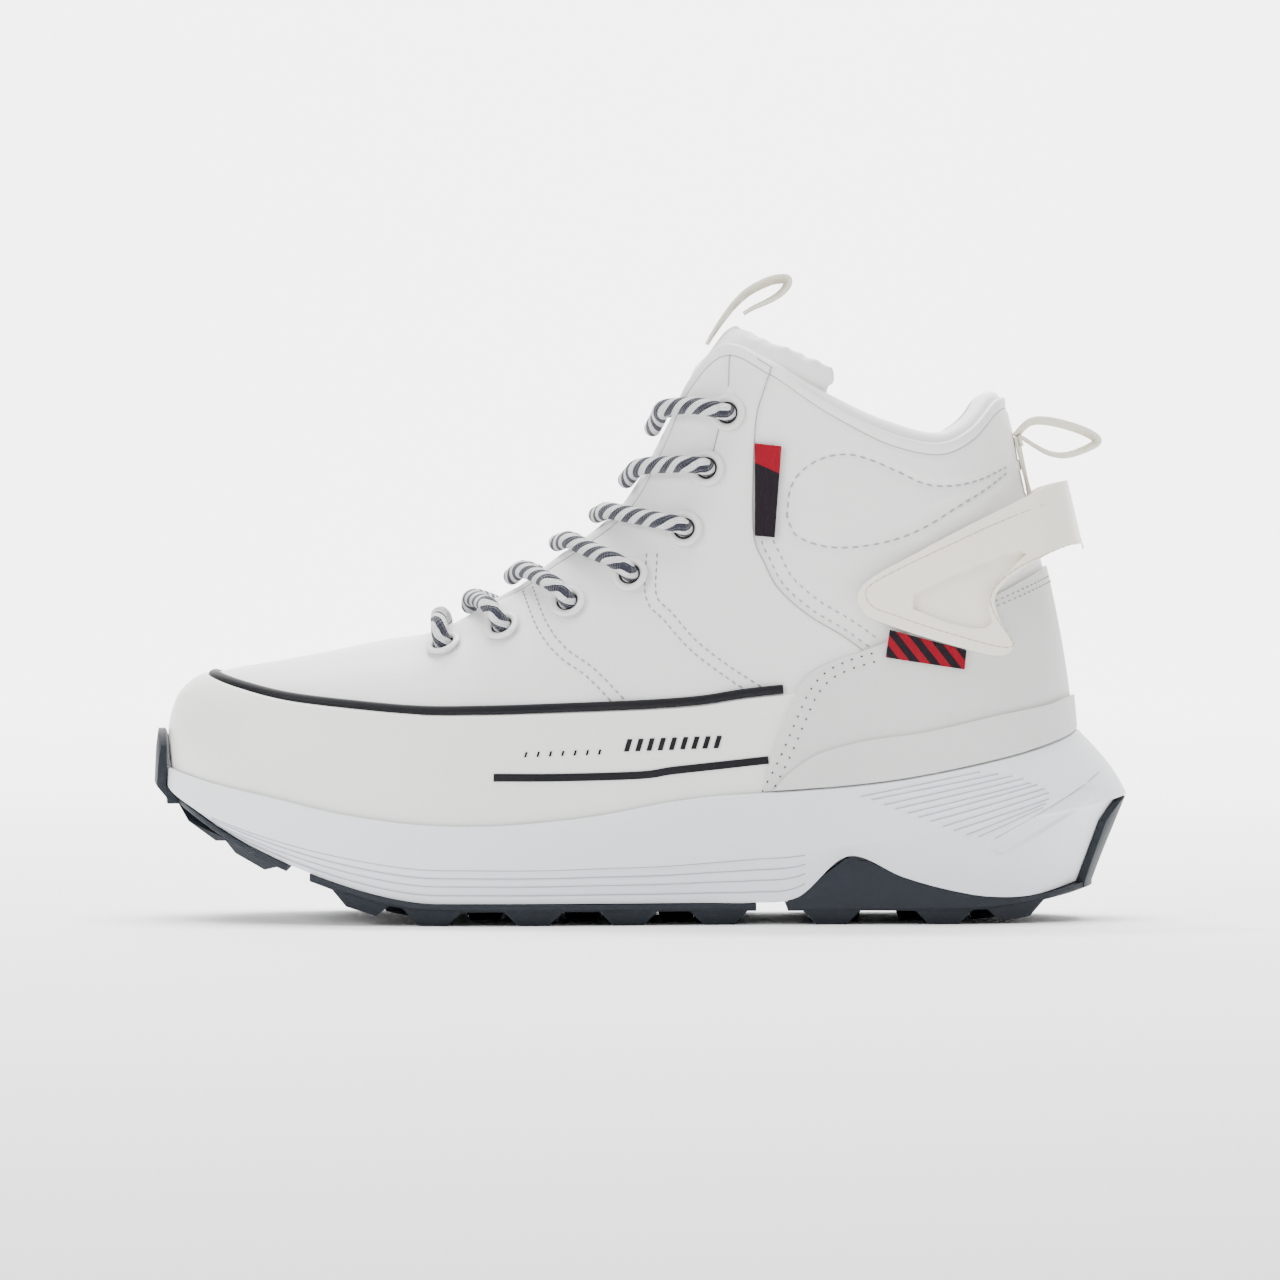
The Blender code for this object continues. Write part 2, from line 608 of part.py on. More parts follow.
def ring(at, out, height):
    """Ring of points a distance outside the cup line."""
    line, direction = cup_line(at)
    points = line + direction * np.asarray(out)[..., None]
    points[..., 2] = height
    return points


def cup_ring(at, share):
    """Ring on the cup's inner wall, just outside the upper."""
    v = rib_at_height(at, sole("top_up", at, SOLE_HEIGHT)) * share
    face, normal = upper_point(at, v), upper_normal(at, v)
    points = face + normal * (GAP + bumper_step(at))[..., None]
    if share == 0:
        points[..., 2] = footbed(face[..., 0])
    return points


def build_midsole():
    at = STATIONS
    top, ridge, split, lip, ridge_out, foot_out = wall_profile(at)
    shelf = sole("shelf", at, WRAP)
    step = sole("steps", at, STEP_DEPTH)
    drop = 0.5 * MM
    first = ridge + (split - ridge) * 0.45
    body = np.clip(0.9 * (ridge - split), drop, None)
    wing = sole("wing", at, SOLE_HEIGHT)
    inset = foot_out - shelf - RUBBER_RIM
    rings = [
        cup_ring(at, 0.0),
        cup_ring(at, 0.34),
        cup_ring(at, 0.67),
        ring(at, 0 * at, top),
        ring(at, lip * 0.7, top),
        ring(at, lip, top - 0.8 * MM),
        ring(at, ridge_out, ridge),
        ring(at, ridge_out - step - shelf, ridge - drop),
        ring(at, (ridge_out + foot_out) / 2 - step - shelf, first),
        ring(at, (ridge_out + foot_out) / 2 - 2 * step - shelf, first - np.minimum(drop, body / 4)),
        ring(at, foot_out - shelf, split),
        ring(at, inset, split),
        ring(at, inset - 0.4 * MM, split - wing),
    ]
    ring_solid("midsole", rings, WHITE_FOAM)


Groove = namedtuple("Groove", "start_at start_up end_at end_up")
GROOVES = [
    Groove(0.721, 0.221, 0.843, 0.263),
    Groove(0.745, 0.207, 0.876, 0.256),
    Groove(0.769, 0.193, 0.894, 0.244),
    Groove(0.792, 0.179, 0.908, 0.233),
    Groove(0.815, 0.165, 0.913, 0.226),
    Groove(0.838, 0.158, 0.912, 0.208),
]
GROOVE_R = 1.0 * MM


def wall_station(place, height, inner=False):
    """Station where a side view shows the midsole's wall at a place along the boot and a height."""
    at = np.linspace(8.0, HEEL - 0.02, 200)
    station = float(np.interp(along(place), ring(at, wall_out(at, height), height)[:, 0], at))
    return ROUND - station if inner else station


def build_grooves():
    """Diagonal grooves over the heel's flare, on both sides."""
    midsole = bpy.data.objects["midsole"]
    for inner in (False, True):
        for groove in GROOVES:
            path = []
            for t in np.linspace(0, 1, 6):
                height = (groove.start_up + (groove.end_up - groove.start_up) * t) * SHAFT_HEIGHT
                station = wall_station(groove.start_at + (groove.end_at - groove.start_at) * t, height, inner)
                station = np.array([station])
                path.append(ring(station, wall_out(station, height) + GROOVE_R * 0.3, height)[0])
            combine(midsole, swept("groove", path, GROOVE_R, PLAIN, sides=6), "DIFFERENCE")


# Outsole

OutsolePiece = namedtuple("OutsolePiece", "name front back")
OUTSOLE = [
    OutsolePiece("outsole_toe", -0.02, 0.141),
    OutsolePiece("outsole_forefoot", 0.165, 0.616),
    OutsolePiece("outsole_heel", 0.648, 1.02),
]
LUG_LENGTH = 20.0 * MM
LUG_TIP = 9.0 * MM
LUG_WIDTH = 21.0 * MM
SIDE_LUGS = [0.052, 0.103, 0.217, 0.289, 0.391, 0.487, 0.578, 0.692, 0.806, 0.879]
CENTRE_LUGS = [0.075, 0.185, 0.253, 0.340, 0.439, 0.536, 0.705, 0.780, 0.855]
TOE_TAB_HALF = 0.55  # stations that the rubber at the toe reaches to each side of the middle
HEEL_TAB_HALF = 0.65  # and the rubber at the heel


def edge_line(inner):
    """X and Y of the outsole's edge from toe to heel, on one side."""
    at = np.linspace(0, HEEL, 181)
    at = ROUND - at if inner else at
    _, _, _, lip, _, foot_out = wall_profile(at)
    points = ring(at, foot_out, 0)
    return points[:, 0], points[:, 1]


def lug(x, near, far, length, tip):
    """Tapered block from the tread's tips up into the rubber, between two edges across the boot."""
    points = []
    for half, squeeze, top in ((length / 2, 0, True), (tip / 2, 0.15, False)):
        for dx in (-half, half):
            for y, opposite in ((near, far), (far, near)):
                px = x + dx
                z = rocker(px) + tread_depth(px) + RUBBER * 0.55 if top else rocker(px)
                edge = y(px) if callable(y) else y
                other = opposite(px) if callable(opposite) else opposite
                points.append((px, edge + (other - edge) * (squeeze if not top else 0.02), z))
    faces = [(0, 1, 3, 2), (4, 6, 7, 5), (0, 2, 6, 4), (1, 5, 7, 3), (0, 4, 5, 1), (2, 3, 7, 6)]
    return add("lug", points, faces, PLAIN)


def lug_edges(edge, inner):
    """The two long sides of a lug at the sole's edge, as functions of x."""
    inward = -1 if inner else 1

    def at_edge(x):
        return float(np.interp(x, *edge))

    def away_from_edge(x):
        return at_edge(x) + inward * min(LUG_WIDTH, abs(at_edge(x)) * 0.5)

    return at_edge, away_from_edge


def build_outsole():
    at = STATIONS
    _, _, split, _, _, foot_out = wall_profile(at)
    wing = sole("wing", at, SOLE_HEIGHT)
    shelf = sole("shelf", at, WRAP)
    plate_x = ring(at, foot_out, 0)[:, 0]
    under = rocker(plate_x) + tread_depth(plate_x)
    inset = foot_out - shelf - RUBBER_RIM + GAP
    edges = {inner: edge_line(inner) for inner in (False, True)}
    for piece in OUTSOLE:
        rings = [
            ring(at, foot_out - 1.2 * MM, under),
            ring(at, foot_out, under + 0.8 * MM),
            ring(at, foot_out, split - GAP),
            ring(at, inset, split - GAP),
            ring(at, inset - 0.4 * MM, split - wing - GAP),
        ]
        plate = ring_solid(piece.name, rings, BLACK_RUBBER)
        low, high = float(along(piece.front)), float(along(piece.back))
        reach = UPPER_WIDTH
        corners = [(x, y, z) for x in (low, high) for y in (-reach, reach) for z in (-reach, reach)]
        sides = [(0, 1, 3, 2), (4, 6, 7, 5), (0, 2, 6, 4), (1, 5, 7, 3), (0, 4, 5, 1), (2, 3, 7, 6)]
        combine(plate, add("bounds", corners, sides, PLAIN), "INTERSECT")
        for middle in (0, HEEL):
            if not low < along(0.02 if middle == 0 else 0.9) < high:
                continue
            climb_tab(plate, middle)
        for place in SIDE_LUGS:
            x = float(along(place))
            if not low < x < high:
                continue
            for inner in (False, True):
                combine(plate, lug(x, *lug_edges(edges[inner], inner), LUG_LENGTH, LUG_TIP), "UNION")
        for place in CENTRE_LUGS:
            x = float(along(place))
            if not low + LUG_LENGTH * 0.3 < x < high - LUG_LENGTH * 0.3:
                continue
            centre = float(around(column(UPPER, "centre", UPPER_WIDTH), 0.5 + 17 * place))
            combine(plate, lug(x, centre - 11 * MM, centre + 11 * MM, LUG_LENGTH * 0.7, LUG_TIP), "UNION")
        plate.name = piece.name


def climb_tab(plate, middle):
    """Rubber that wraps up the toe or the heel, joined to its plate."""
    toe = middle == 0
    half = TOE_TAB_HALF if toe else HEEL_TAB_HALF
    at = np.linspace(middle - half, middle + half, 11)
    _, ridge, split, lip, ridge_out, foot_out = wall_profile(at)
    top = np.full(len(at), SOLE_HEIGHT) if toe else ridge - 0.5 * MM - GAP
    side = np.abs(at - middle) / half
    top = top - (top - split) * 0.25 * side**3
    shelf = sole("shelf", at, WRAP)
    joint = split - 2.5 * GAP
    rows = [(split - 0.8 * RUBBER, True), (joint, True), (joint + GAP / 2, False)]
    if toe:
        rim = wall_profile(at)[0]
        rows += [(ridge, False), (rim, False)] + [(rim + (top - rim) * t, False) for t in (0.5, 0.85, 1.0)]
    else:
        rows += [(joint + (top - joint) * t, False) for t in (0.3, 0.65, 1.0)]
    outer, inner = [], []
    for height, joined in rows:
        out = wall_out(at, height)
        if toe:
            far = out + 2 * GAP + WRAP * (1 - 0.4 * ((height - split) / (top - split)) ** 4)
            near = out + (-WRAP if joined else 2 * GAP)
        else:
            far, near = out, out - shelf + GAP
        outer.append(ring(at, far, height))
        inner.append(ring(at, near, height))
    tab = slab("tab", np.array(outer), np.array(inner), PLAIN)
    combine(plate, tab, "UNION")


# Insole


def inner_ring(at, v, room):
    """Ring inside the upper's wall."""
    face, normal = upper_point(at, v), upper_normal(at, v)
    normal[..., 2] = 0
    normal /= np.linalg.norm(normal, axis=-1, keepdims=True)
    return face - normal * (wall(at, v) + room)[..., None]


def build_insole():
    at = STATIONS
    low = inner_ring(at, 0 * at, 2.5 * GAP)
    low[:, 2] = footbed(low[:, 0]) + GAP
    high_v = rib_at_height(at, footbed(low[:, 0]) + INSOLE_THICKNESS)
    high = inner_ring(at, high_v, 2.5 * GAP)
    middle = low * 1.0
    high[:, 0] = low[:, 0]
    high[:, 2] = low[:, 2] + INSOLE_THICKNESS
    near = np.abs(high[:, 1]) < np.abs(middle[:, 1])
    high[:, 1] = np.where(near, high[:, 1], middle[:, 1])
    ring_solid("insole", [low, high], LINING)


# Tongue

TongueSection = namedtuple("TongueSection", "at up lean half depth")
TONGUE = [
    TongueSection(0.291, 0.471, 25.0, 0.182, 0.061),
    TongueSection(0.332, 0.517, 30.0, 0.202, 0.081),
    TongueSection(0.372, 0.583, 37.0, 0.222, 0.121),
    TongueSection(0.426, 0.646, 43.0, 0.242, 0.182),
    TongueSection(0.480, 0.718, 53.0, 0.263, 0.253),
    TongueSection(0.513, 0.816, 67.0, 0.278, 0.333),
    TongueSection(0.544, 0.922, 75.5, 0.293, 0.404),
    TongueSection(0.567, 0.991, 72.5, 0.308, 0.404),
    TongueSection(0.591, 1.046, 64.0, 0.313, 0.364),
]


def tongue_value(name, t):
    """A tongue column at section number t."""
    values = column(TONGUE, name)
    t = np.clip(np.asarray(t, float), 0, len(TONGUE) - 1)
    k = np.minimum(t.astype(int), len(TONGUE) - 2)
    f = t - k
    padded = np.concatenate([[2 * values[0] - values[1]], values, [2 * values[-1] - values[-2]]])
    a, b, c, d = (padded[k + i] for i in range(4))
    return 0.5 * (2 * b + (c - a) * f + (2 * a - 5 * b + 4 * c - d) * f**2 + (3 * b - 3 * c + d - a) * f**3)


def inside_samples():
    at, v = np.meshgrid(np.linspace(0, ROUND, 289), np.linspace(0.3, 1, 41), indexing="ij")
    at, v = at.reshape(-1), v.reshape(-1)
    return upper_point(at, v), upper_normal(at, v), wall(at, v)


def keep_inside(points, room):
    """Points moved in until they clear the upper's inner face by `room`."""
    faces, normals, walls = inside_samples()
    flat = points.reshape(-1, 3).copy()
    for _ in range(3):
        for i, point in enumerate(flat):
            distance = np.linalg.norm(faces - point, axis=1)
            for best in np.argsort(distance)[:4]:
                over = (flat[i] - faces[best]) @ normals[best] + walls[best] + room
                if over > 0 and distance[best] < 30 * MM:
                    flat[i] = flat[i] - normals[best] * over
    return flat.reshape(points.shape)


def tongue_grid(rows=17, columns=13):
    """Outer face of the tongue: rows up the front, columns across from the outer side."""
    t, u = np.meshgrid(np.linspace(0, len(TONGUE) - 1, rows), np.linspace(-1, 1, columns), indexing="ij")
    lean = np.radians(tongue_value("lean", t))
    turn = u * math.pi / 2
    deep = tongue_value("depth", t) * UPPER_WIDTH * (1 - np.cos(turn))
    x = along(tongue_value("at", t)) + np.sin(lean) * deep
    z = tongue_value("up", t) * SHAFT_HEIGHT - np.cos(lean) * deep
    y = tongue_value("half", t) * UPPER_WIDTH * np.sin(turn) + middle_y(t)
    return keep_inside(np.stack([x, y, z], -1), TONGUE_ROOM)


def middle_y(t):
    """The throat's middle, a little towards the outer side like the foot."""
    places = column(UPPER, "rim_at")
    return 0.6 * np.interp(tongue_value("at", t), places, column(UPPER, "centre", UPPER_WIDTH))


def grid_normals(grid):
    across = np.gradient(grid, axis=1)
    up = np.gradient(grid, axis=0)
    normal = np.cross(across, up)
    return normal / np.linalg.norm(normal, axis=-1, keepdims=True)


def build_tongue():
    grid = tongue_grid()
    normal = grid_normals(grid)
    if normal[4, 6, 2] < 0:
        normal = -normal
    columns = grid.shape[1]
    edge = np.minimum(np.arange(columns), np.arange(columns)[::-1])
    thick = TONGUE_THICKNESS * np.where(edge == 0, 0.45, 1.0)
    inner = grid - normal * thick[None, :, None]
    slab("tongue", grid, inner, WHITE_UPPER)
    return grid, normal


# Overlays


def up_rib(at, v, distance):
    """v a distance further up the rib."""
    step = 1e-3
    speed = np.linalg.norm(upper_point(at, v + step) - upper_point(at, v), axis=-1) / step
    return v + distance / speed


def band(name, first, last, columns, rows, low, high, inside, outside, finish):
    """Closed solid over the upper between two lines given as v at each station."""
    at = np.linspace(first, last, columns)
    bottom, top = low(at % ROUND), high(at % ROUND)
    share = np.linspace(0, 1, rows)[:, None]
    v = bottom + (top - bottom) * share
    ats = np.broadcast_to(at, v.shape)
    face, normal = upper_point(ats, v), upper_normal(ats, v)
    near = inside(ats % ROUND)
    far = outside(ats % ROUND)
    return slab(name, face + normal * far[..., None], face + normal * near[..., None], finish)


def above_sole(at):
    return rib_at_height(at, sole("top_up", at, SOLE_HEIGHT) + 2 * GAP)


def build_stripe():
    reach = 11.9
    band(
        "toe_stripe",
        -reach,
        reach,
        49,
        2,
        lambda at: up_rib(at, stripe_line(at), GAP),
        lambda at: up_rib(at, stripe_line(at), GAP + STRIPE_WIDTH),
        lambda at: 0 * at + GAP,
        lambda at: 0 * at + GAP + STRIPE_THICKNESS,
        BLACK_TRIM,
    )


COUNTER_EDGE = [
    (0.622, 0.215), (0.632, 0.299), (0.652, 0.383), (0.662, 0.417), (0.682, 0.445), (0.725, 0.473),
    (0.743, 0.484), (0.859, 0.568), (0.913, 0.616), (1.05, 0.735), (1.05, 0.10), (0.63, 0.10),
]
RAND_EDGE = [
    (0.632, 0.230), (0.650, 0.262), (0.677, 0.293), (0.707, 0.309), (0.733, 0.319), (0.788, 0.332),
    (0.861, 0.360), (0.916, 0.378), (0.940, 0.391), (1.05, 0.430), (1.05, 0.10), (0.635, 0.10),
]
CLIP_EDGE = [
    (0.716, 0.565), (0.728, 0.596), (0.777, 0.640), (0.826, 0.685), (0.888, 0.735), (0.924, 0.769),
    (1.05, 0.790), (1.05, 0.655), (0.938, 0.660), (0.908, 0.635), (0.875, 0.601), (0.859, 0.573),
    (0.857, 0.551), (0.865, 0.517), (0.875, 0.489), (0.877, 0.475), (0.869, 0.463), (0.852, 0.464),
    (0.793, 0.492), (0.744, 0.520), (0.725, 0.534),
]
CLIP_PANEL = [(0.764, 0.556), (0.893, 0.652), (0.859, 0.590), (0.846, 0.551), (0.850, 0.520), (0.826, 0.517)]
TAB_EDGE = [(0.751, 0.509), (0.829, 0.473), (0.827, 0.440), (0.747, 0.461)]
LABEL_EDGE = [(0.615, 0.831), (0.642, 0.826), (0.635, 0.668), (0.615, 0.671)]


def build_counter():
    below = band(
        "heel_counter",
        10.5,
        ROUND - 10.5,
        46,
        9,
        above_sole,
        lambda at: rib_at_height(at, 0.70 * SHAFT_HEIGHT + 0 * at),
        lambda at: GAP + bumper_step(at),
        lambda at: GAP + bumper_step(at) + COUNTER_THICKNESS,
        GREY_PANEL,
    )
    combine(below, side_prism(COUNTER_EDGE), "INTERSECT")
    base = GAP + COUNTER_THICKNESS + GAP
    rand = band(
        "heel_rand",
        10.8,
        ROUND - 10.8,
        45,
        5,
        above_sole,
        lambda at: rib_at_height(at, 0.46 * SHAFT_HEIGHT + 0 * at),
        lambda at: base + bumper_step(at),
        lambda at: base + bumper_step(at) + RAND_THICKNESS,
        GREY_PANEL,
    )
    combine(rand, side_prism(RAND_EDGE), "INTERSECT")


def standoff(at):
    """Distance of the clip's inner face from the upper: it leaves the boot towards the heel."""
    folded = np.where(at % ROUND > HEEL, ROUND - at % ROUND, at % ROUND)
    t = np.clip((folded - 15.6) / 1.9, 0, 1)
    return 2 * GAP + COUNTER_THICKNESS + CLIP_STANDOFF * t * t * (3 - 2 * t)


def build_clip():
    clip = band(
        "heel_clip",
        12.0,
        ROUND - 12.0,
        45,
        9,
        lambda at: rib_at_height(at, 0.44 * SHAFT_HEIGHT + 0 * at),
        lambda at: rib_at_height(at, 0.80 * SHAFT_HEIGHT + 0 * at),
        standoff,
        lambda at: standoff(at) + CLIP_THICKNESS,
        CREAM,
    )
    combine(clip, side_prism(CLIP_EDGE), "INTERSECT")
    panel = band(
        "panel",
        12.2,
        ROUND - 12.2,
        44,
        7,
        lambda at: rib_at_height(at, 0.46 * SHAFT_HEIGHT + 0 * at),
        lambda at: rib_at_height(at, 0.76 * SHAFT_HEIGHT + 0 * at),
        lambda at: standoff(at) + CLIP_THICKNESS - CLIP_RECESS,
        lambda at: standoff(at) + CLIP_THICKNESS + 4 * MM,
        PLAIN,
    )
    combine(panel, side_prism(rounded(CLIP_PANEL, 1)), "INTERSECT")
    combine(clip, panel, "DIFFERENCE")


def build_labels():
    tab = band(
        "clip_tab",
        13.0,
        17.0,
        13,
        4,
        lambda at: rib_at_height(at, 0.42 * SHAFT_HEIGHT + 0 * at),
        lambda at: rib_at_height(at, 0.52 * SHAFT_HEIGHT + 0 * at),
        lambda at: 2 * GAP + COUNTER_THICKNESS + 0 * at,
        lambda at: 2 * GAP + COUNTER_THICKNESS + LABEL_THICKNESS + 0 * at,
        RED_WOVEN,
    )
    combine(tab, side_prism(TAB_EDGE, (-1,)), "INTERSECT")
    label = band(
        "side_label",
        10.5,
        13.5,
        13,
        5,
        lambda at: rib_at_height(at, 0.62 * SHAFT_HEIGHT + 0 * at),
        lambda at: rib_at_height(at, 0.86 * SHAFT_HEIGHT + 0 * at),
        lambda at: GAP + 0 * at,
        lambda at: GAP + LABEL_THICKNESS + 0 * at,
        BLACK_TRIM,
    )
    combine(label, side_prism(LABEL_EDGE, (-1,)), "INTERSECT")


# Pull loops

TONGUE_LOOP = [
    (0.567, 1.006), (0.574, 1.026), (0.584, 1.051), (0.595, 1.075), (0.608, 1.096), (0.622, 1.110),
    (0.636, 1.119), (0.649, 1.120), (0.649, 1.108), (0.641, 1.093), (0.628, 1.080), (0.615, 1.070),
    (0.605, 1.060),
]
HEEL_LOOP = [
    (0.898, 0.869), (0.915, 0.872), (0.939, 0.863), (0.959, 0.850), (0.968, 0.837), (0.959, 0.825),
    (0.937, 0.812), (0.919, 0.815), (0.903, 0.829),
]


def webbing(name, path, width, finish):
    """Flat strip of webbing along a path in the side view."""
    path = np.asarray(path, float)
    ahead = np.gradient(path, axis=0)
    ahead /= np.linalg.norm(ahead, axis=1, keepdims=True)
    out = np.stack([ahead[:, 1], -ahead[:, 0]], 1)
    grids = []
    for sign in (1, -1):
        flat = path + out * sign * WEBBING / 2
        grids.append(np.array([[(x, y, z) for x, z in flat] for y in (-width / 2, width / 2)]))
    return slab(name, grids[0], grids[1], finish)


def side_path(table, count):
    flat = [(float(along(a)), 0.0, b * SHAFT_HEIGHT) for a, b in table]
    return smooth_path(flat, count)[:, [0, 2]]


def build_loops():
    webbing("tongue_loop", side_path(TONGUE_LOOP, 26), LOOP_WIDTH, CREAM)
    heights = np.linspace(0.74, 0.862, 8) * SHAFT_HEIGHT
    v = rib_at_height(np.full(8, float(HEEL)), heights)
    back = upper_point(np.full(8, float(HEEL)), v)[:, [0, 2]]
    strip = back + [GAP + WEBBING / 2 + 0.3 * MM, 0]
    table = [(float(along(a)), b * SHAFT_HEIGHT) for a, b in HEEL_LOOP]
    table = [strip[-1] - [0, 1 * MM], *table, strip[-2] - [0, 1 * MM]]
    path = smooth_path([(x, 0, z) for x, z in table], 26)[:, [0, 2]]
    loop = webbing("heel_loop", path, LOOP_WIDTH, CREAM)
    combine(loop, webbing("strip", strip, LOOP_WIDTH + 1 * MM, CREAM), "UNION")


# Laces

Crossing = namedtuple("Crossing", "edge ridge")  # station on the throat's edge, section of the tongue
CROSSINGS = [
    Crossing(5.90, 0.95),
    Crossing(6.65, 1.95),
    Crossing(7.25, 2.85),
    Crossing(7.75, 3.60),
    Crossing(8.60, 4.30),
    Crossing(9.65, 5.15),
]


def grid_at(grid, t, u):
    """Point of a grid at section number t and share u across."""
    rows, columns = grid.shape[:2]
    r = np.clip(t / (len(TONGUE) - 1) * (rows - 1), 0, rows - 1.001)
    c = np.clip((u + 1) / 2 * (columns - 1), 0, columns - 1.001)
    i, j, f, g = int(r), int(c), r % 1, c % 1
    low = grid[i, j] * (1 - g) + grid[i, j + 1] * g
    high = grid[i + 1, j] * (1 - g) + grid[i + 1, j + 1] * g
    return low * (1 - f) + high * f


def mouth(place, inner, toward):
    """Path of a lace out of an eyelet and over its flange."""
    at, v = on(place, inner)
    centre, normal = upper_point(at, v), upper_normal(at, v)
    ahead = toward - centre
    ahead = ahead - normal * (ahead @ normal)
    ahead /= np.linalg.norm(ahead)
    over = EYELET_SEAT + EYELET_FLANGE + LACE_R + LACE_ROOM
    return [
        centre - normal * 1.0 * MM,
        centre + normal * 1.6 * MM,
        centre + normal * over * 0.95 + ahead * 1.0 * MM,
        centre + normal * (over + 0.6 * MM) + ahead * 4.0 * MM,
    ]


def over_edge(station, clearance):
    at = np.array([station])
    return (upper_point(at, 1.0 + 0 * at) + upper_normal(at, 1.0 + 0 * at) * clearance)[0]


def finer(grid, times=4):
    """A grid with points added between its own."""
    for axis in (0, 1):
        count = grid.shape[axis]
        places = np.linspace(0, count - 1, (count - 1) * times + 1)
        low = np.minimum(places.astype(int), count - 2)
        share = places - low
        share = share[:, None, None] if axis == 0 else share[None, :, None]
        grid = np.take(grid, low, axis) * (1 - share) + np.take(grid, low + 1, axis) * share
    return grid


def lay(path, faces, normals, clearance, fixed):
    """Points of a lace lifted off a surface, apart from the first ones, in the eyelet."""
    path = path.copy()
    for turn in range(12):
        for i in range(fixed, len(path)):
            away = path[i] - faces
            distance = np.linalg.norm(away, axis=1)
            best = int(np.argmin(distance))
            if distance[best] < clearance:
                push = away[best] if distance[best] > WALL / 2 else normals[best]
                path[i] = faces[best] + push / np.linalg.norm(push) * clearance
        if turn < 11:
            path[fixed:-1] = path[fixed:-1] * 0.6 + (path[fixed - 1 : -2] + path[fixed + 1 :]) * 0.2
    return path


def lace_bed(grid, normal):
    """Points and directions of everything that the lace lies on: wall, rim, eyelet flanges and tongue."""
    faces, normals, _ = inside_samples()
    at = np.linspace(0, ROUND, 289)
    full = np.ones(len(at))
    rim, out = upper_point(at, full), upper_normal(at, full)
    up = rim - upper_point(at, full * 0.97)
    up /= np.linalg.norm(up, axis=1, keepdims=True) + 1e-9
    beds = [(faces, normals), (rim - out * WALL / 2 + up * WALL * 0.45, up + out), (rim - out * WALL, up - out)]
    beds.append((finer(grid).reshape(-1, 3), finer(normal).reshape(-1, 3)))
    for inner in (False, True):
        for place in EYELETS:
            at, v = on(place, inner)
            centre, axis = upper_point(at, v), upper_normal(at, v)
            side, other = ring_frame(axis)
            for r in (EYELET_HOLE_R, EYELET_FLANGE_R):
                turn = np.linspace(0, 2 * math.pi, 16, endpoint=False)[:, None]
                flange = centre + r * (np.cos(turn) * side + np.sin(turn) * other)
                beds.append((flange + axis * (EYELET_SEAT + EYELET_FLANGE), np.tile(axis, (16, 1))))
    points = np.concatenate([a for a, _ in beds])
    away = np.concatenate([b for _, b in beds])
    return points, away / np.linalg.norm(away, axis=1, keepdims=True)


def build_laces(grid, normal):
    """A bar over the lowest eyelets and, above it, a strand from each pair of eyelets to the tongue's ridge."""
    faces, normals = lace_bed(grid, normal)
    clearance = LACE_R + LACE_ROOM
    for number, place in enumerate(EYELETS):
        if number:
            t, station = CROSSINGS[number - 1].ridge, CROSSINGS[number - 1].edge
            peak = grid_at(grid, t, 0.0) + grid_at(normal, t, 0.0) * clearance
        else:
            peak = upper_point(5.0, 1.0) + np.array([0, 0, clearance])
            station = place.station + 0.35
        ends = []
        for inner in (False, True):
            edge = over_edge(ROUND - station if inner else station, clearance + 0.6 * MM)
            ends.append(mouth(place, inner, edge) + ([edge] if number else []))
        line = smooth_path(ends[0] + [peak] + ends[1][::-1], 33)
        line[:17] = lay(line[:17], faces, normals, clearance, 7)
        line[16:] = lay(line[:15:-1], faces, normals, clearance, 7)[::-1]
        line[16] = (line[15] + line[17]) / 2
        swept(f"lace_crossing_{number}" if number else "lace_bar", line, LACE_R, LACE, sides=6)


build_upper()
build_eyelets()
build_midsole()
build_grooves()
build_outsole()
build_insole()
TONGUE_GRID, TONGUE_NORMAL = build_tongue()
build_stripe()
build_counter()
build_clip()
build_labels()
build_loops()
build_laces(TONGUE_GRID, TONGUE_NORMAL)
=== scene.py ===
# %% [markdown]
# # A winter training boot, dressed for its picture
#
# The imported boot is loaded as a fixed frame. Its solids give the places and sizes, and this script gives the
# looks: leather, foam, rubber, webbing, stitches and laces. It is written as a lesson in cells. Each cell
# makes one piece or one finish and prints what it made.
#
# Lengths are in metres. The toe points to -X, the photographed outer side faces -Y, and Z is up.

# %% Load the frame and keep its box
import math
from collections import namedtuple

import bmesh
import bpy
import numpy as np
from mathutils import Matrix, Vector
from mathutils.bvhtree import BVHTree


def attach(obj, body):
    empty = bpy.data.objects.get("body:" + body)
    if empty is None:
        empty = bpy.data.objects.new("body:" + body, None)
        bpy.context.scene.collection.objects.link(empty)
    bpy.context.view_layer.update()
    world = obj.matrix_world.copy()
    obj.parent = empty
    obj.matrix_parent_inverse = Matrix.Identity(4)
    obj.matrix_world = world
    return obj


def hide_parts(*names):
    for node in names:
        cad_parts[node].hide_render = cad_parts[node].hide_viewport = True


MM = 0.001
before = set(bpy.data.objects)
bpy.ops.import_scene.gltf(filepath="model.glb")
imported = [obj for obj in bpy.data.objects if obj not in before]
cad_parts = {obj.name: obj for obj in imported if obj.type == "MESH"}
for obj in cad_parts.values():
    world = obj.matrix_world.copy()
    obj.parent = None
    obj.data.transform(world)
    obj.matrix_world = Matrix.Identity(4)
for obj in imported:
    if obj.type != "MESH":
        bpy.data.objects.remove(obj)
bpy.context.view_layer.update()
print("CAD nodes:", len(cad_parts))

# %% [markdown]
# ## Camera, floor and light
#
# The photograph looks square at the boot's outer side from far away, so a long lens is used: it keeps the
# near and the far side the same size, as a product photographer does. One pixel of the 1280-pixel frame is
# 0.3052 mm on the boot. A floor that curves up into a wall has no horizon line. Wide, soft lights leave the
# white boot with gentle shading; one weaker light from behind draws its outline.

# %% Camera
PIXEL = 0.3052 * MM
FRAME_PIXELS = 1280
TOE_TO_HEEL_MIDDLE = 641.5  # pixel column over the origin
FLOOR_LINE = 918.0  # pixel row of the floor
CAMERA_DISTANCE = 2.4
CAMERA_ELEVATION = math.radians(0.9)
SENSOR = 36.0


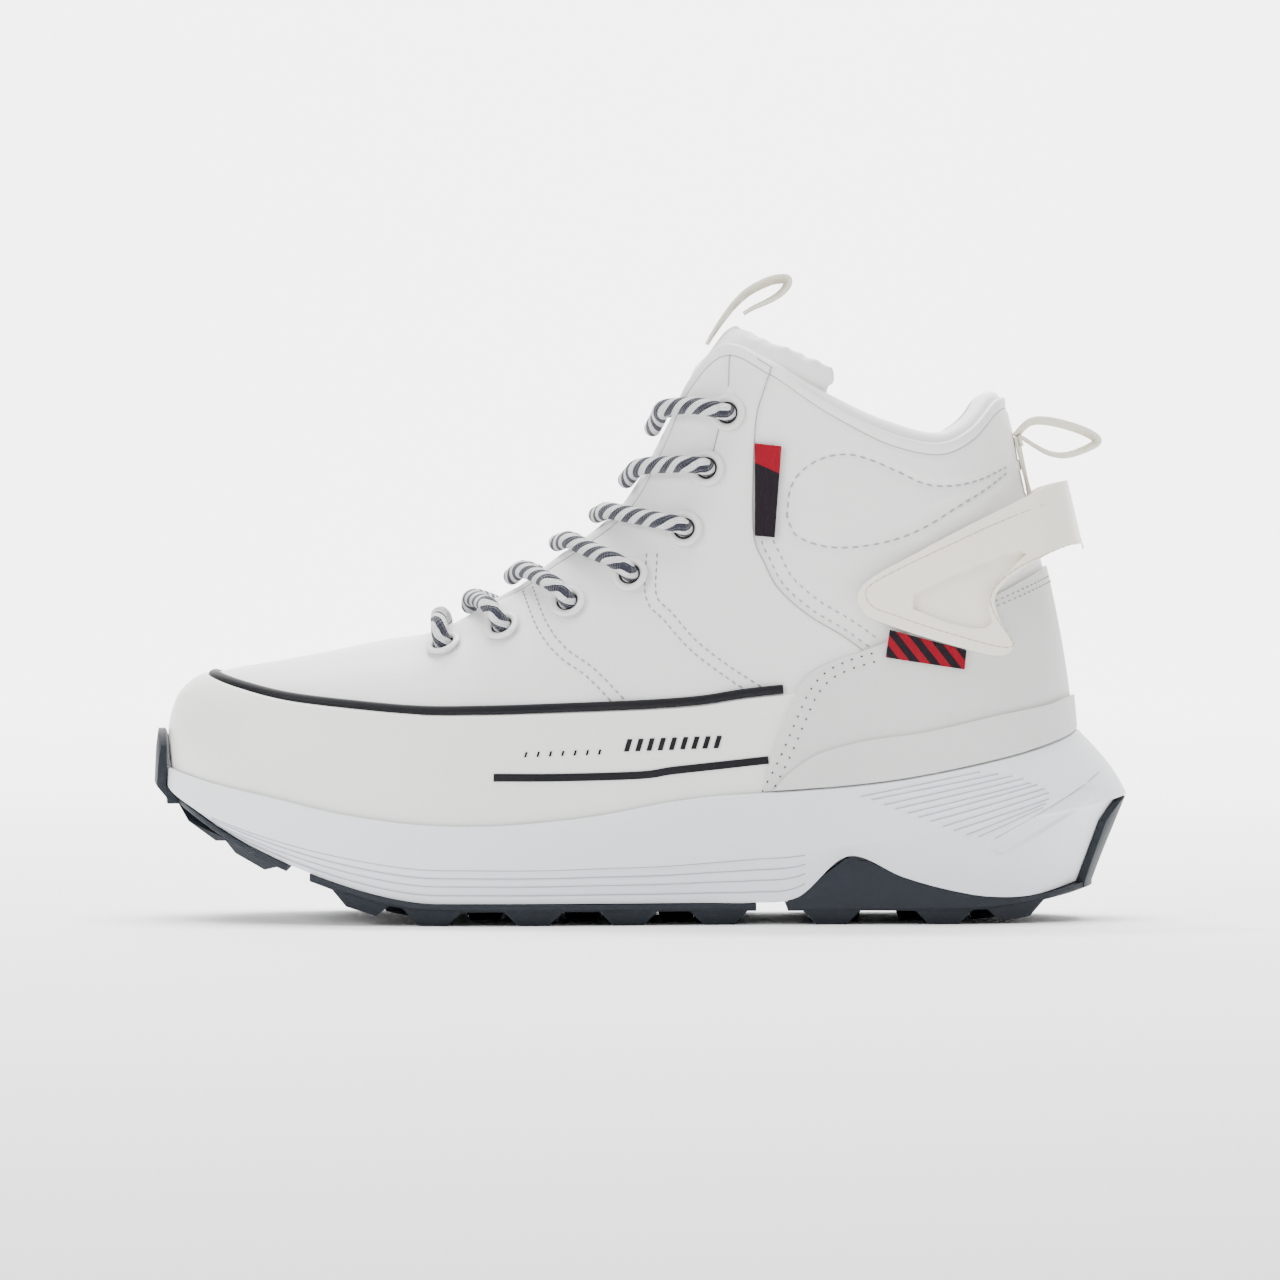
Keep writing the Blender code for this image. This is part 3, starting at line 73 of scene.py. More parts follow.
def photo_xz(column_px, row_px):
    """Place along the boot and height that a pixel of the photograph shows."""
    return (column_px - TOE_TO_HEEL_MIDDLE) * PIXEL, (FLOOR_LINE - row_px) * PIXEL


def make_camera():
    x, z = photo_xz(FRAME_PIXELS / 2, FRAME_PIXELS / 2)
    lens = bpy.data.cameras.new("camera")
    lens.sensor_width = SENSOR
    lens.lens = SENSOR * CAMERA_DISTANCE / (FRAME_PIXELS * PIXEL)
    lens.clip_start, lens.clip_end = 0.1, 20
    camera = bpy.data.objects.new("camera", lens)
    back = Vector((0, -math.cos(CAMERA_ELEVATION), math.sin(CAMERA_ELEVATION)))
    camera.location = Vector((x, 0, z)) + back * CAMERA_DISTANCE
    camera.rotation_euler = (-back).to_track_quat("-Z", "Y").to_euler()
    bpy.context.scene.collection.objects.link(camera)
    bpy.context.scene.camera = camera
    return camera


camera = make_camera()
print("lens", round(camera.data.lens, 1), "mm")

# %% Floor and lights
BACKDROP_COLOUR = (0.96, 0.96, 0.96)
BackdropRow = namedtuple("BackdropRow", "y z")


def make_backdrop():
    """A sheet that lies under the boot and curves up behind it."""
    half, depth, bend, height = 6.0, 2.5, 1.5, 5.0
    rows = [BackdropRow(-6.0, 0.0), BackdropRow(depth, 0.0)]
    for turn in np.linspace(0, math.pi / 2, 13)[1:]:
        rows.append(BackdropRow(depth + bend * math.sin(turn), bend * (1 - math.cos(turn))))
    rows.append(BackdropRow(depth + bend, height))
    points = [(x, row.y, row.z) for row in rows for x in (-half, half)]
    faces = [(2 * i, 2 * i + 1, 2 * i + 3, 2 * i + 2) for i in range(len(rows) - 1)]
    mesh = bpy.data.meshes.new("backdrop")
    mesh.from_pydata(points, [], faces)
    mesh.shade_smooth()
    paper = bpy.data.materials.new("backdrop_paper")
    paper.use_nodes = True
    shader = paper.node_tree.nodes["Principled BSDF"]
    shader.inputs["Base Color"].default_value = (*BACKDROP_COLOUR, 1)
    shader.inputs["Roughness"].default_value = 0.9
    mesh.materials.append(paper)
    backdrop = bpy.data.objects.new("backdrop", mesh)
    bpy.context.scene.collection.objects.link(backdrop)


def area_light(name, place, aim, size, power):
    lamp = bpy.data.lights.new(name, "AREA")
    lamp.shape = "RECTANGLE"
    lamp.size, lamp.size_y = size
    lamp.energy = power
    thing = bpy.data.objects.new(name, lamp)
    thing.location = place
    thing.rotation_euler = (Vector(aim) - Vector(place)).to_track_quat("-Z", "Y").to_euler()
    bpy.context.scene.collection.objects.link(thing)


make_backdrop()
area_light("overhead", (0, -0.2, 1.5), (0, 0, 0.05), (1.6, 1.0), 27)
area_light("front_left", (-1.2, -1.1, 0.9), (0, 0, 0.08), (0.6, 0.6), 17)
area_light("front_right", (1.4, -1.0, 0.5), (0, 0, 0.08), (0.9, 0.9), 4)
area_light("rim", (0.3, 1.3, 0.7), (0, 0, 0.1), (1.2, 0.6), 5)
area_light("backdrop_wash", (0, 1.6, 3.4), (0, 4.0, 0.6), (3.5, 1.0), 620)
world = bpy.data.worlds.new("studio")
bpy.context.scene.world = world
world.use_nodes = True
world.node_tree.nodes["Background"].inputs["Color"].default_value = (1, 1, 1, 1)
world.node_tree.nodes["Background"].inputs["Strength"].default_value = 0.62

# %% [markdown]
# ## Shared effects
#
# Several finishes need the same effect at another scale: a pebble grain, a weave, a slow change of colour.
# Each effect is a shader node group with named inputs, built once and placed in each material. A group puts
# out only heights, masks and colours; the Principled shader and its bump stay in the material itself.

# %% Helpers for node trees


def add_node(tree, kind, **settings):
    made = tree.nodes.new(kind)
    for name, value in settings.items():
        setattr(made, name, value)
    return made


def new_group(name, inputs, outputs):
    """An empty shader node group with its sockets: (name, kind, value) rows."""
    tree = bpy.data.node_groups.new(name, "ShaderNodeTree")
    for label, kind, value in inputs:
        socket = tree.interface.new_socket(name=label, in_out="INPUT", socket_type="NodeSocket" + kind)
        if value is not None:
            socket.default_value = value
    for label, kind in outputs:
        tree.interface.new_socket(name=label, in_out="OUTPUT", socket_type="NodeSocket" + kind)
    return tree, add_node(tree, "NodeGroupInput"), add_node(tree, "NodeGroupOutput")


def wire(tree, *pairs):
    for source, target in pairs:
        tree.links.new(source, target)


def arithmetic(tree, operation, first, second=None):
    """A Math node; an input is a socket or a number."""
    made = add_node(tree, "ShaderNodeMath", operation=operation)
    for slot, value in ((0, first), (1, second)):
        if value is None:
            continue
        if isinstance(value, (int, float)):
            made.inputs[slot].default_value = value
        else:
            tree.links.new(value, made.inputs[slot])
    return made.outputs[0]


# %% Pebble grain, weave and soft variation


def build_grain_group():
    """Small cushions with creases between them, as on coated leather."""
    tree, source, target = new_group(
        "pebble_grain", [("Vector", "Vector", None), ("Scale", "Float", 900.0)], [("Height", "Float")]
    )
    cells = add_node(tree, "ShaderNodeTexVoronoi", feature="SMOOTH_F1")
    cloud = add_node(tree, "ShaderNodeTexNoise")
    cloud.inputs["Detail"].default_value = 3
    wire(tree, (source.outputs["Vector"], cells.inputs["Vector"]), (source.outputs["Scale"], cells.inputs["Scale"]))
    wire(tree, (source.outputs["Vector"], cloud.inputs["Vector"]), (source.outputs["Scale"], cloud.inputs["Scale"]))
    height = arithmetic(tree, "SUBTRACT", 1.0, cells.outputs["Distance"])
    mixed = arithmetic(tree, "ADD", height, arithmetic(tree, "MULTIPLY", cloud.outputs[0], 0.5))
    wire(tree, (mixed, target.inputs["Height"]))
    return tree


def build_weave_group():
    """Warp and weft that pass over and under each other. Height is the threads, Mask the warp on top."""
    tree, source, target = new_group(
        "plain_weave",
        [("Vector", "Vector", None), ("Threads", "Float", 1500.0)],
        [("Height", "Float"), ("Mask", "Float")],
    )
    scaled = add_node(tree, "ShaderNodeVectorMath", operation="SCALE")
    wire(tree, (source.outputs["Vector"], scaled.inputs[0]), (source.outputs["Threads"], scaled.inputs["Scale"]))
    parts = add_node(tree, "ShaderNodeSeparateXYZ")
    wire(tree, (scaled.outputs[0], parts.inputs[0]))
    along = arithmetic(tree, "SINE", arithmetic(tree, "MULTIPLY", parts.outputs[0], math.pi))
    across = arithmetic(tree, "SINE", arithmetic(tree, "MULTIPLY", parts.outputs[1], math.pi))
    woven = arithmetic(tree, "MULTIPLY", along, across)
    height = arithmetic(tree, "ADD", arithmetic(tree, "ABSOLUTE", along), arithmetic(tree, "ABSOLUTE", across))
    wire(tree, (height, target.inputs["Height"]), (arithmetic(tree, "GREATER_THAN", woven, 0.0), target.inputs["Mask"]))
    return tree


def build_variation_group():
    """One colour that drifts a little towards another, in soft clouds."""
    tree, source, target = new_group(
        "soft_variation",
        [
            ("Vector", "Vector", None),
            ("Color", "Color", (1, 1, 1, 1)),
            ("Shade", "Color", (0.8, 0.8, 0.8, 1)),
            ("Scale", "Float", 30.0),
            ("Amount", "Float", 0.5),
        ],
        [("Color", "Color"), ("Mask", "Float")],
    )
    cloud = add_node(tree, "ShaderNodeTexNoise")
    cloud.inputs["Detail"].default_value = 4
    wire(tree, (source.outputs["Vector"], cloud.inputs["Vector"]), (source.outputs["Scale"], cloud.inputs["Scale"]))
    spread = add_node(tree, "ShaderNodeMapRange")
    spread.inputs["From Min"].default_value = 0.35
    spread.inputs["From Max"].default_value = 0.7
    wire(tree, (cloud.outputs[0], spread.inputs["Value"]))
    share = arithmetic(tree, "MULTIPLY", spread.outputs[0], source.outputs["Amount"])
    mixed = add_node(tree, "ShaderNodeMix", data_type="RGBA")
    wire(tree, (share, mixed.inputs["Factor"]))
    wire(tree, (source.outputs["Color"], mixed.inputs["A"]), (source.outputs["Shade"], mixed.inputs["B"]))
    wire(tree, (mixed.outputs["Result"], target.inputs["Color"]), (spread.outputs[0], target.inputs["Mask"]))
    return tree


GRAIN = build_grain_group()
WEAVE = build_weave_group()
VARIATION = build_variation_group()
print("shared effects:", GRAIN.name, WEAVE.name, VARIATION.name)

# %% [markdown]
# ## Finishes
#
# Each real material has its own build: coated leather is pebbled and a little glossy, foam is matt with a
# fine moulded stipple, rubber is darker and rougher, webbing shows its threads. The function below puts a
# drifting colour and a bump from one of the shared effects on a Principled shader.

# %% One function for the finishes
Finish = namedtuple("Finish", "colour shade roughness effect scale depth coat sheen")


def make_finish(name, finish, coordinates="Object", ramp=None):
    """A procedural material. ramp, if given, is a function that recolours it from the tree."""
    made = bpy.data.materials.new(name)
    made.use_nodes = True
    tree = made.node_tree
    shader = tree.nodes["Principled BSDF"]
    place = add_node(tree, "ShaderNodeTexCoord").outputs[coordinates]
    colour = add_node(tree, "ShaderNodeGroup")
    colour.node_tree = VARIATION
    colour.inputs["Color"].default_value = (*finish.colour, 1)
    colour.inputs["Shade"].default_value = (*finish.shade, 1)
    wire(tree, (place, colour.inputs["Vector"]), (colour.outputs["Color"], shader.inputs["Base Color"]))
    relief = add_node(tree, "ShaderNodeGroup")
    relief.node_tree = finish.effect
    relief.inputs[1].default_value = finish.scale
    wire(tree, (place, relief.inputs["Vector"]))
    bump = add_node(tree, "ShaderNodeBump")
    bump.inputs["Distance"].default_value = finish.depth
    bump.inputs["Strength"].default_value = 0.6
    wire(tree, (relief.outputs["Height"], bump.inputs["Height"]), (bump.outputs["Normal"], shader.inputs["Normal"]))
    rough = arithmetic(tree, "ADD", arithmetic(tree, "MULTIPLY", colour.outputs["Mask"], 0.08), finish.roughness)
    wire(tree, (rough, shader.inputs["Roughness"]))
    shader.inputs["Coat Weight"].default_value = finish.coat
    shader.inputs["Coat Roughness"].default_value = 0.35
    shader.inputs["Sheen Weight"].default_value = finish.sheen
    if ramp:
        ramp(tree, shader, colour, relief)
    return made


def dull(made, level=0.15):
    """Takes the mirror light off a dark finish, so that it stays dark in a white room."""
    made.node_tree.nodes["Principled BSDF"].inputs["Specular IOR Level"].default_value = level
    return made


WHITE_LEATHER = make_finish(
    "white_leather", Finish((0.80, 0.80, 0.79), (0.755, 0.755, 0.75), 0.42, GRAIN, 1400, 0.00008, 0.06, 0.0)
)
BUMPER_LEATHER = make_finish(
    "bumper_leather", Finish((0.83, 0.825, 0.80), (0.79, 0.785, 0.765), 0.38, GRAIN, 1100, 0.00008, 0.08, 0.0)
)
GREY_LEATHER = make_finish(
    "grey_leather", Finish((0.64, 0.64, 0.63), (0.60, 0.60, 0.595), 0.5, GRAIN, 1600, 0.00008, 0.0, 0.0)
)
FOAM = make_finish(
    "midsole_foam", Finish((0.77, 0.79, 0.82), (0.74, 0.76, 0.79), 0.55, GRAIN, 2600, 0.00005, 0.0, 0.0)
)
RUBBER_FINISH = dull(make_finish(
    "outsole_rubber", Finish((0.010, 0.014, 0.020), (0.018, 0.022, 0.03), 0.55, GRAIN, 2000, 0.0001, 0.0, 0.0)
), 0.3)
CLIP_PLASTIC = make_finish(
    "clip_plastic", Finish((0.86, 0.82, 0.72), (0.83, 0.79, 0.69), 0.36, GRAIN, 3000, 0.00003, 0.1, 0.0)
)
CREAM_WEBBING = make_finish(
    "cream_webbing", Finish((0.78, 0.74, 0.62), (0.72, 0.68, 0.57), 0.8, WEAVE, 1500, 0.0002, 0.0, 0.3)
)
LINING_KNIT = make_finish(
    "lining_knit", Finish((0.74, 0.74, 0.73), (0.69, 0.69, 0.68), 0.85, WEAVE, 900, 0.0002, 0.0, 0.4)
)
BLACK_COATING = dull(make_finish(
    "black_coating", Finish((0.008, 0.008, 0.010), (0.014, 0.014, 0.016), 0.45, GRAIN, 1800, 0.00005, 0.0, 0.0)
))
EYELET_PLASTIC = make_finish(
    "eyelet_plastic", Finish((0.74, 0.74, 0.73), (0.70, 0.70, 0.69), 0.3, GRAIN, 2500, 0.00002, 0.2, 0.0)
)
TAN_THREAD = make_finish(
    "tan_thread", Finish((0.50, 0.42, 0.30), (0.44, 0.37, 0.27), 0.7, GRAIN, 5000, 0.00003, 0.0, 0.2)
)
GREY_THREAD = make_finish(
    "grey_thread", Finish((0.33, 0.33, 0.335), (0.29, 0.29, 0.295), 0.7, GRAIN, 5000, 0.00003, 0.0, 0.2)
)
print("finishes:", len([m for m in bpy.data.materials if m.use_nodes]))

# %% [markdown]
# ## The last
#
# A shoe takes its shape from a last, a solid foot form. Here the last is a short table: nineteen sections
# from toe to heel, each a curve from the footbed up to the rim. One function gives the point of the upper at
# a station round the boot and a share v up the section, and every leather panel, stitch and label below
# takes its place from it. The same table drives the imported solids, so the two agree.

# %% Sizes of the boot
LENGTH = 297.0 * MM  # over the rubber at toe and heel
UPPER_WIDTH = 99.0 * MM  # across the ball of the foot, outside the wall
SHAFT_HEIGHT = 174.0 * MM  # floor to the front corner of the shaft
SOLE_HEIGHT = 58.0 * MM  # floor to the midsole's edge at the heel
HEEL_STACK = 42.0 * MM  # floor to the footbed under the heel

GAP = 0.3 * MM  # between neighbouring pieces
WALL = 2.6 * MM
COLLAR_PAD = 5.5 * MM
BUMPER_STEP = 0.8 * MM
TONGUE_THICKNESS = 6.0 * MM
TONGUE_ROOM = 0.6 * MM
LIP = 2.4 * MM  # the midsole's edge outside the upper
HEEL_FLARE = 14.0 * MM  # the midsole's ridge outside its top edge, behind the heel
WRAP = 2.8 * MM  # thickness of the rubber that wraps up toe and heel
STEP_DEPTH = 0.7 * MM  # the two steps along the forefoot's side wall
RUBBER = 2.5 * MM  # outsole between its lugs
RUBBER_RIM = 6.0 * MM  # width of the outsole's raised edge beside the arch
LUG_DEPTH = 4.2 * MM
TOE_SPRING = 32.4 * MM
HEEL_LIFT = 5.5 * MM
ROLL_POWER = 1.6

# Trim
STRIPE_WIDTH = 2.8 * MM
STRIPE_THICKNESS = 0.9 * MM
COUNTER_THICKNESS = 1.0 * MM
RAND_THICKNESS = 1.4 * MM
CLIP_THICKNESS = 2.8 * MM
CLIP_STANDOFF = 9.0 * MM  # free space between the heel and the clip's loop
LABEL_THICKNESS = 0.8 * MM
EYELET_FLANGE_R = 5.5 * MM
EYELET_HOLE_R = 3.3 * MM
EYELET_FLANGE = 1.0 * MM
EYELET_SEAT = 0.6 * MM  # from the upper's face to the flange
LACE_R = 2.6 * MM
LACE_ROOM = 1.3 * MM  # between the lace and what it lies on
WEBBING = 1.3 * MM
LOOP_WIDTH = 11.0 * MM

# %% Sections of the upper
# The upper's sections from toe to heel. "at" is the place along the boot from the toe, a share of LENGTH;
# centre and half widths are shares of UPPER_WIDTH; "up" is the height over the floor, a share of
# SHAFT_HEIGHT. Each rib is a cubic with its ends at foot and rim and its handles at low and high.
Section = namedtuple(
    "Section",
    "name foot_at low_at high_at rim_at centre foot low high rim low_up high_up rim_up stripe_up",
)
UPPER = [
    Section("toe", 0.022, 0.003, 0.026, 0.099, 0.051, 0, 0, 0, 0, 0.368, 0.444, 0.434, 0.427),
    Section("toe_corner", 0.035, 0.020, 0.044, 0.123, 0.051, 0.162, 0.182, 0.121, 0, 0.368, 0.452, 0.444, 0.421),
    Section("toe_side", 0.072, 0.064, 0.089, 0.153, 0.043, 0.308, 0.333, 0.242, 0, 0.362, 0.461, 0.455, 0.404),
    Section("toe_box", 0.130, 0.126, 0.143, 0.192, 0.032, 0.399, 0.429, 0.323, 0, 0.356, 0.474, 0.470, 0.384),
    Section("toe_joint", 0.197, 0.197, 0.207, 0.239, 0.015, 0.449, 0.480, 0.364, 0, 0.351, 0.486, 0.489, 0.371),
    Section("ball", 0.271, 0.274, 0.278, 0.293, -0.005, 0.470, 0.500, 0.379, 0, 0.351, 0.500, 0.509, 0.361),
    Section("throat_foot", 0.338, 0.338, 0.340, 0.342, -0.020, 0.465, 0.500, 0.364, 0.086, 0.356, 0.523, 0.553, 0.361),
    Section("lower_throat", 0.399, 0.399, 0.402, 0.409, -0.030, 0.449, 0.485, 0.343, 0.126, 0.368, 0.557, 0.626, 0.364),
    Section("waist", 0.460, 0.463, 0.470, 0.483, -0.035, 0.424, 0.455, 0.318, 0.146, 0.385, 0.592, 0.721, 0.368),
    Section("instep", 0.517, 0.517, 0.517, 0.519, -0.035, 0.404, 0.429, 0.288, 0.162, 0.402, 0.632, 0.830, 0.372),
    Section("upper_throat", 0.567, 0.561, 0.551, 0.547, -0.030, 0.389, 0.414, 0.268, 0.187, 0.420, 0.672, 0.937, 0.378),
    Section("shaft_front", 0.611, 0.601, 0.588, 0.584, -0.025, 0.379, 0.404, 0.258, 0.232, 0.431, 0.695, 1.000, 0.389),
    Section("shaft_corner", 0.658, 0.645, 0.635, 0.628, -0.020, 0.374, 0.399, 0.253, 0.293, 0.437, 0.695, 0.967, 0.397),
    Section("ankle_front", 0.709, 0.695, 0.689, 0.685, -0.015, 0.369, 0.399, 0.258, 0.338, 0.437, 0.672, 0.901, 0.402),
    Section("ankle", 0.766, 0.753, 0.749, 0.746, -0.010, 0.367, 0.399, 0.273, 0.359, 0.431, 0.649, 0.847, 0.408),
    Section("ankle_back", 0.823, 0.813, 0.806, 0.800, -0.007, 0.354, 0.389, 0.278, 0.343, 0.425, 0.644, 0.827, 0.414),
    Section("heel_side", 0.880, 0.877, 0.857, 0.835, -0.003, 0.293, 0.328, 0.242, 0.258, 0.425, 0.649, 0.852, 0.420),
    Section("heel_corner", 0.923, 0.926, 0.888, 0.861, 0, 0.167, 0.192, 0.146, 0.136, 0.437, 0.678, 0.900, 0.425),
    Section("heel", 0.939, 0.946, 0.896, 0.873, 0, 0, 0, 0, 0, 0.448, 0.701, 0.911, 0.425),
]
HEEL = len(UPPER) - 1  # station of the heel; stations count from the toe along the outer side
ROUND = 2 * HEEL  # stations once round the boot, back along the inner side
SHAFT_FRONT = 11  # station of the shaft's front corner
BUMPER_END = 12  # station where the heel counter covers the bumper's end

# %% Sections of the midsole
# The midsole's wall at the same stations. Heights are shares of SOLE_HEIGHT, lip is a share of LIP, and
# ridge_out and foot_out are shares of HEEL_FLARE, outside the top edge. shelf is a share of WRAP, and wing
# is how far the outsole climbs the wall, a share of SOLE_HEIGHT.
SoleSection = namedtuple("SoleSection", "name top_up lip ridge_up ridge_out shelf foot_out wing steps")
SOLE = [
    SoleSection("toe", 0.800, 0.5, 0.724, 0.01, 0.0, -0.25, 0, 0.0),
    SoleSection("toe_corner", 0.776, 0.6, 0.655, 0.03, 0.0, -0.18, 0, 0.3),
    SoleSection("toe_side", 0.721, 0.8, 0.552, 0.06, 0.0, -0.09, 0, 0.8),
    SoleSection("toe_box", 0.655, 0.9, 0.448, 0.10, 0.0, -0.01, 0, 1.0),
    SoleSection("toe_joint", 0.576, 1.0, 0.362, 0.13, 0.0, 0.03, 0, 1.0),
    SoleSection("ball", 0.524, 1.0, 0.302, 0.16, 0.0, 0.06, 0, 1.0),
    SoleSection("throat_foot", 0.514, 1.0, 0.293, 0.16, 0.0, 0.06, 0, 1.0),
    SoleSection("lower_throat", 0.534, 1.0, 0.293, 0.14, 0.0, 0.04, 0, 1.0),
    SoleSection("waist", 0.572, 1.0, 0.302, 0.11, 0.0, 0.01, 0, 1.0),
    SoleSection("instep", 0.628, 1.0, 0.310, 0.07, 0.0, -0.03, 0, 1.0),
    SoleSection("upper_throat", 0.664, 1.0, 0.328, 0.06, 0.0, -0.06, 0, 0.8),
    SoleSection("shaft_front", 0.679, 1.0, 0.345, 0.07, 0.0, -0.04, 0, 0.4),
    SoleSection("shaft_corner", 0.695, 1.0, 0.362, 0.11, 0.0, 0.00, 0.03, 0.0),
    SoleSection("ankle_front", 0.714, 1.0, 0.407, 0.19, 0.0, 0.04, 0.24, 0.0),
    SoleSection("ankle", 0.750, 1.0, 0.448, 0.30, 0.0, 0.09, 0.13, 0.0),
    SoleSection("ankle_back", 0.805, 1.0, 0.500, 0.43, 0.0, 0.11, 0.05, 0.0),
    SoleSection("heel_side", 0.874, 1.1, 0.560, 0.58, 0.1, 0.15, 0, 0.0),
    SoleSection("heel_corner", 0.947, 1.2, 0.621, 0.85, 0.9, 0.22, 0, 0.0),
    SoleSection("heel", 0.995, 1.4, 0.659, 1.00, 1.0, 0.25, 0, 0.0),
]

# Footbed: place along the boot and height, as shares of LENGTH and HEEL_STACK
FOOTBED = [
    (0.00, 1.03), (0.03, 0.95), (0.08, 0.80), (0.13, 0.70), (0.20, 0.62), (0.28, 0.58), (0.35, 0.61),
    (0.43, 0.68), (0.53, 0.79), (0.62, 0.88), (0.71, 0.94), (0.80, 0.98), (1.00, 1.02),
]
ROLL_FRONT = 0.291  # the sole leaves the floor ahead of this share of LENGTH
ROLL_BACK = 0.830  # and behind this one
SPRING_REACH = 0.266  # TOE_SPRING is reached this far ahead of ROLL_FRONT
LIFT_REACH = 0.118  # HEEL_LIFT is reached this far behind ROLL_BACK

# %% Points of the last

def column(rows, name, size=1.0):
    return np.array([getattr(row, name) for row in rows], float) * size


def around(values, at, odd=False):
    """A column's value at stations `at`, smooth through toe and heel. An odd column changes sign between
    the outer side and the inner side."""
    at = np.asarray(at, float)
    first = np.floor(at).astype(int)
    t = at - first
    near = []
    for step in (-1, 0, 1, 2):
        i = (first + step) % ROUND
        value = values[np.where(i > HEEL, ROUND - i, i)]
        near.append(np.where(i > HEEL, value, -value) if odd else value)
    a, b, c, d = near
    return 0.5 * (2 * b + (c - a) * t + (2 * a - 5 * b + 4 * c - d) * t**2 + (3 * b - 3 * c + d - a) * t**3)


def along(share):
    """X at a share of LENGTH from the toe."""
    return (np.asarray(share, float) - 0.5) * LENGTH


def share_of(x):
    return np.asarray(x, float) / LENGTH + 0.5


def footbed(x):
    """Height of the footbed over the floor."""
    places, heights = np.array(FOOTBED).T
    return np.interp(share_of(x), places, heights) * HEEL_STACK


def rocker(x):
    """Height of the tread over the floor: flat in the middle, rising at toe and heel."""
    ahead = np.clip((ROLL_FRONT - share_of(x)) / SPRING_REACH, 0, None)
    behind = np.clip((share_of(x) - ROLL_BACK) / LIFT_REACH, 0, None)
    return TOE_SPRING * ahead**ROLL_POWER + HEEL_LIFT * behind**ROLL_POWER


def tread_depth(x):
    """Depth of the lugs, less at the ends of the sole."""
    return LUG_DEPTH * (1 - 0.5 * np.clip(rocker(x) / (0.6 * TOE_SPRING), 0, 1))


def rib(at):
    """The four control points of the upper's rib at stations `at`."""
    at = np.asarray(at, float)
    centre = around(column(UPPER, "centre", UPPER_WIDTH), at)
    rim_half = around(column(UPPER, "rim", UPPER_WIDTH), at, odd=True)
    outer = at % ROUND <= HEEL
    rim_half = np.where(outer, np.minimum(rim_half, 0), np.maximum(rim_half, 0))
    points = []
    for name in ("foot", "low", "high", "rim"):
        x = along(around(column(UPPER, name + "_at"), at))
        half = rim_half if name == "rim" else around(column(UPPER, name, UPPER_WIDTH), at, odd=True)
        z = footbed(x) + GAP if name == "foot" else around(column(UPPER, name + "_up", SHAFT_HEIGHT), at)
        points.append(np.stack([x, centre * (0.6 if name in ("high", "rim") else 1) + half, z], -1))
    return points


def upper_point(at, v):
    """Point of the upper's outer face: v is 0 at the footbed and 1 at the rim."""
    v = np.asarray(v, float)[..., None]
    foot, low, high, rim = rib(at)
    w = 1 - v
    return foot * w**3 + 3 * low * w**2 * v + 3 * high * w * v**2 + rim * v**3


def upper_normal(at, v):
    """Outward unit normal of the upper's outer face."""
    at, v = np.asarray(at, float), np.asarray(v, float)
    step = 1e-3
    high = np.minimum(v + step, 1.0)
    low = np.maximum(v - step, 0.0)
    across = upper_point(at + step, v) - upper_point(at - step, v)
    up = upper_point(at, high) - upper_point(at, low)
    normal = np.cross(across, up)
    return normal / np.linalg.norm(normal, axis=-1, keepdims=True)


def rib_at_height(at, height):
    """v where the rib at station `at` reaches a height."""
    foot, first, last, rim = (point[..., 2] for point in rib(at))
    low = np.zeros(np.shape(at))
    high = np.full(np.shape(at), 0.9)
    for _ in range(24):
        v = (low + high) / 2
        w = 1 - v
        under = foot * w**3 + 3 * first * w**2 * v + 3 * last * w * v**2 + rim * v**3 < height
        low, high = np.where(under, v, low), np.where(under, high, v)
    return (low + high) / 2


def collar_share(at):
    """0 along the throat and 1 behind the ankle, where the collar is padded."""
    folded = np.where(np.asarray(at) % ROUND > HEEL, ROUND - np.asarray(at) % ROUND, np.asarray(at) % ROUND)
    t = np.clip((folded - SHAFT_FRONT) / 3.5, 0, 1)
    return t * t * (3 - 2 * t)


def wall(at, v):
    """Thickness of the upper's wall, with the collar's foam near the rim."""
    t = np.clip((np.asarray(v, float) - 0.62) / 0.3, 0, 1)
    return WALL + COLLAR_PAD * collar_share(at) * t * t * (3 - 2 * t)

# %% Meshes from grids of points

def quads(rows, columns, closed=False):
    """Faces of a grid of points numbered row by row."""
    wrap = columns if closed else columns - 1
    return [
        (r * columns + c, r * columns + (c + 1) % columns, (r + 1) * columns + (c + 1) % columns, (r + 1) * columns + c)
        for r in range(rows - 1)
        for c in range(wrap)
    ]


def add(name, points, faces, finish, smooth=40):
    """A closed mesh object, its doubles merged and its faces pointing out."""
    mesh = bpy.data.meshes.new(name)
    mesh.from_pydata([tuple(p) for p in points], [], [tuple(f) for f in faces])
    tidy = bmesh.new()
    tidy.from_mesh(mesh)
    bmesh.ops.remove_doubles(tidy, verts=tidy.verts, dist=1e-6)
    bmesh.ops.dissolve_degenerate(tidy, edges=tidy.edges, dist=1e-7)
    bmesh.ops.recalc_face_normals(tidy, faces=tidy.faces)
    if tidy.calc_volume(signed=True) < 0:
        bmesh.ops.reverse_faces(tidy, faces=tidy.faces)
    tidy.to_mesh(mesh)
    tidy.free()
    mesh.shade_smooth()
    mesh.set_sharp_from_angle(angle=math.radians(smooth))
    mesh.materials.append(finish)
    thing = bpy.data.objects.new(name, mesh)
    bpy.context.scene.collection.objects.link(thing)
    return thing


def slab(name, outer, inner, finish):
    """Closed solid between two grids of points of the same shape (rows, columns, 3)."""
    rows, columns = outer.shape[:2]
    count = rows * columns
    faces = quads(rows, columns)
    faces += [tuple(reversed([i + count for i in f])) for f in quads(rows, columns)]
    edge = [c for c in range(columns)]
    edge += [r * columns + columns - 1 for r in range(1, rows)]
    edge += [(rows - 1) * columns + c for c in range(columns - 2, -1, -1)]
    edge += [r * columns for r in range(rows - 2, 0, -1)]
    for a, b in zip(edge, edge[1:] + edge[:1]):
        faces.append((a, a + count, b + count, b))
    return add(name, np.concatenate([outer.reshape(-1, 3), inner.reshape(-1, 3)]), faces, finish)


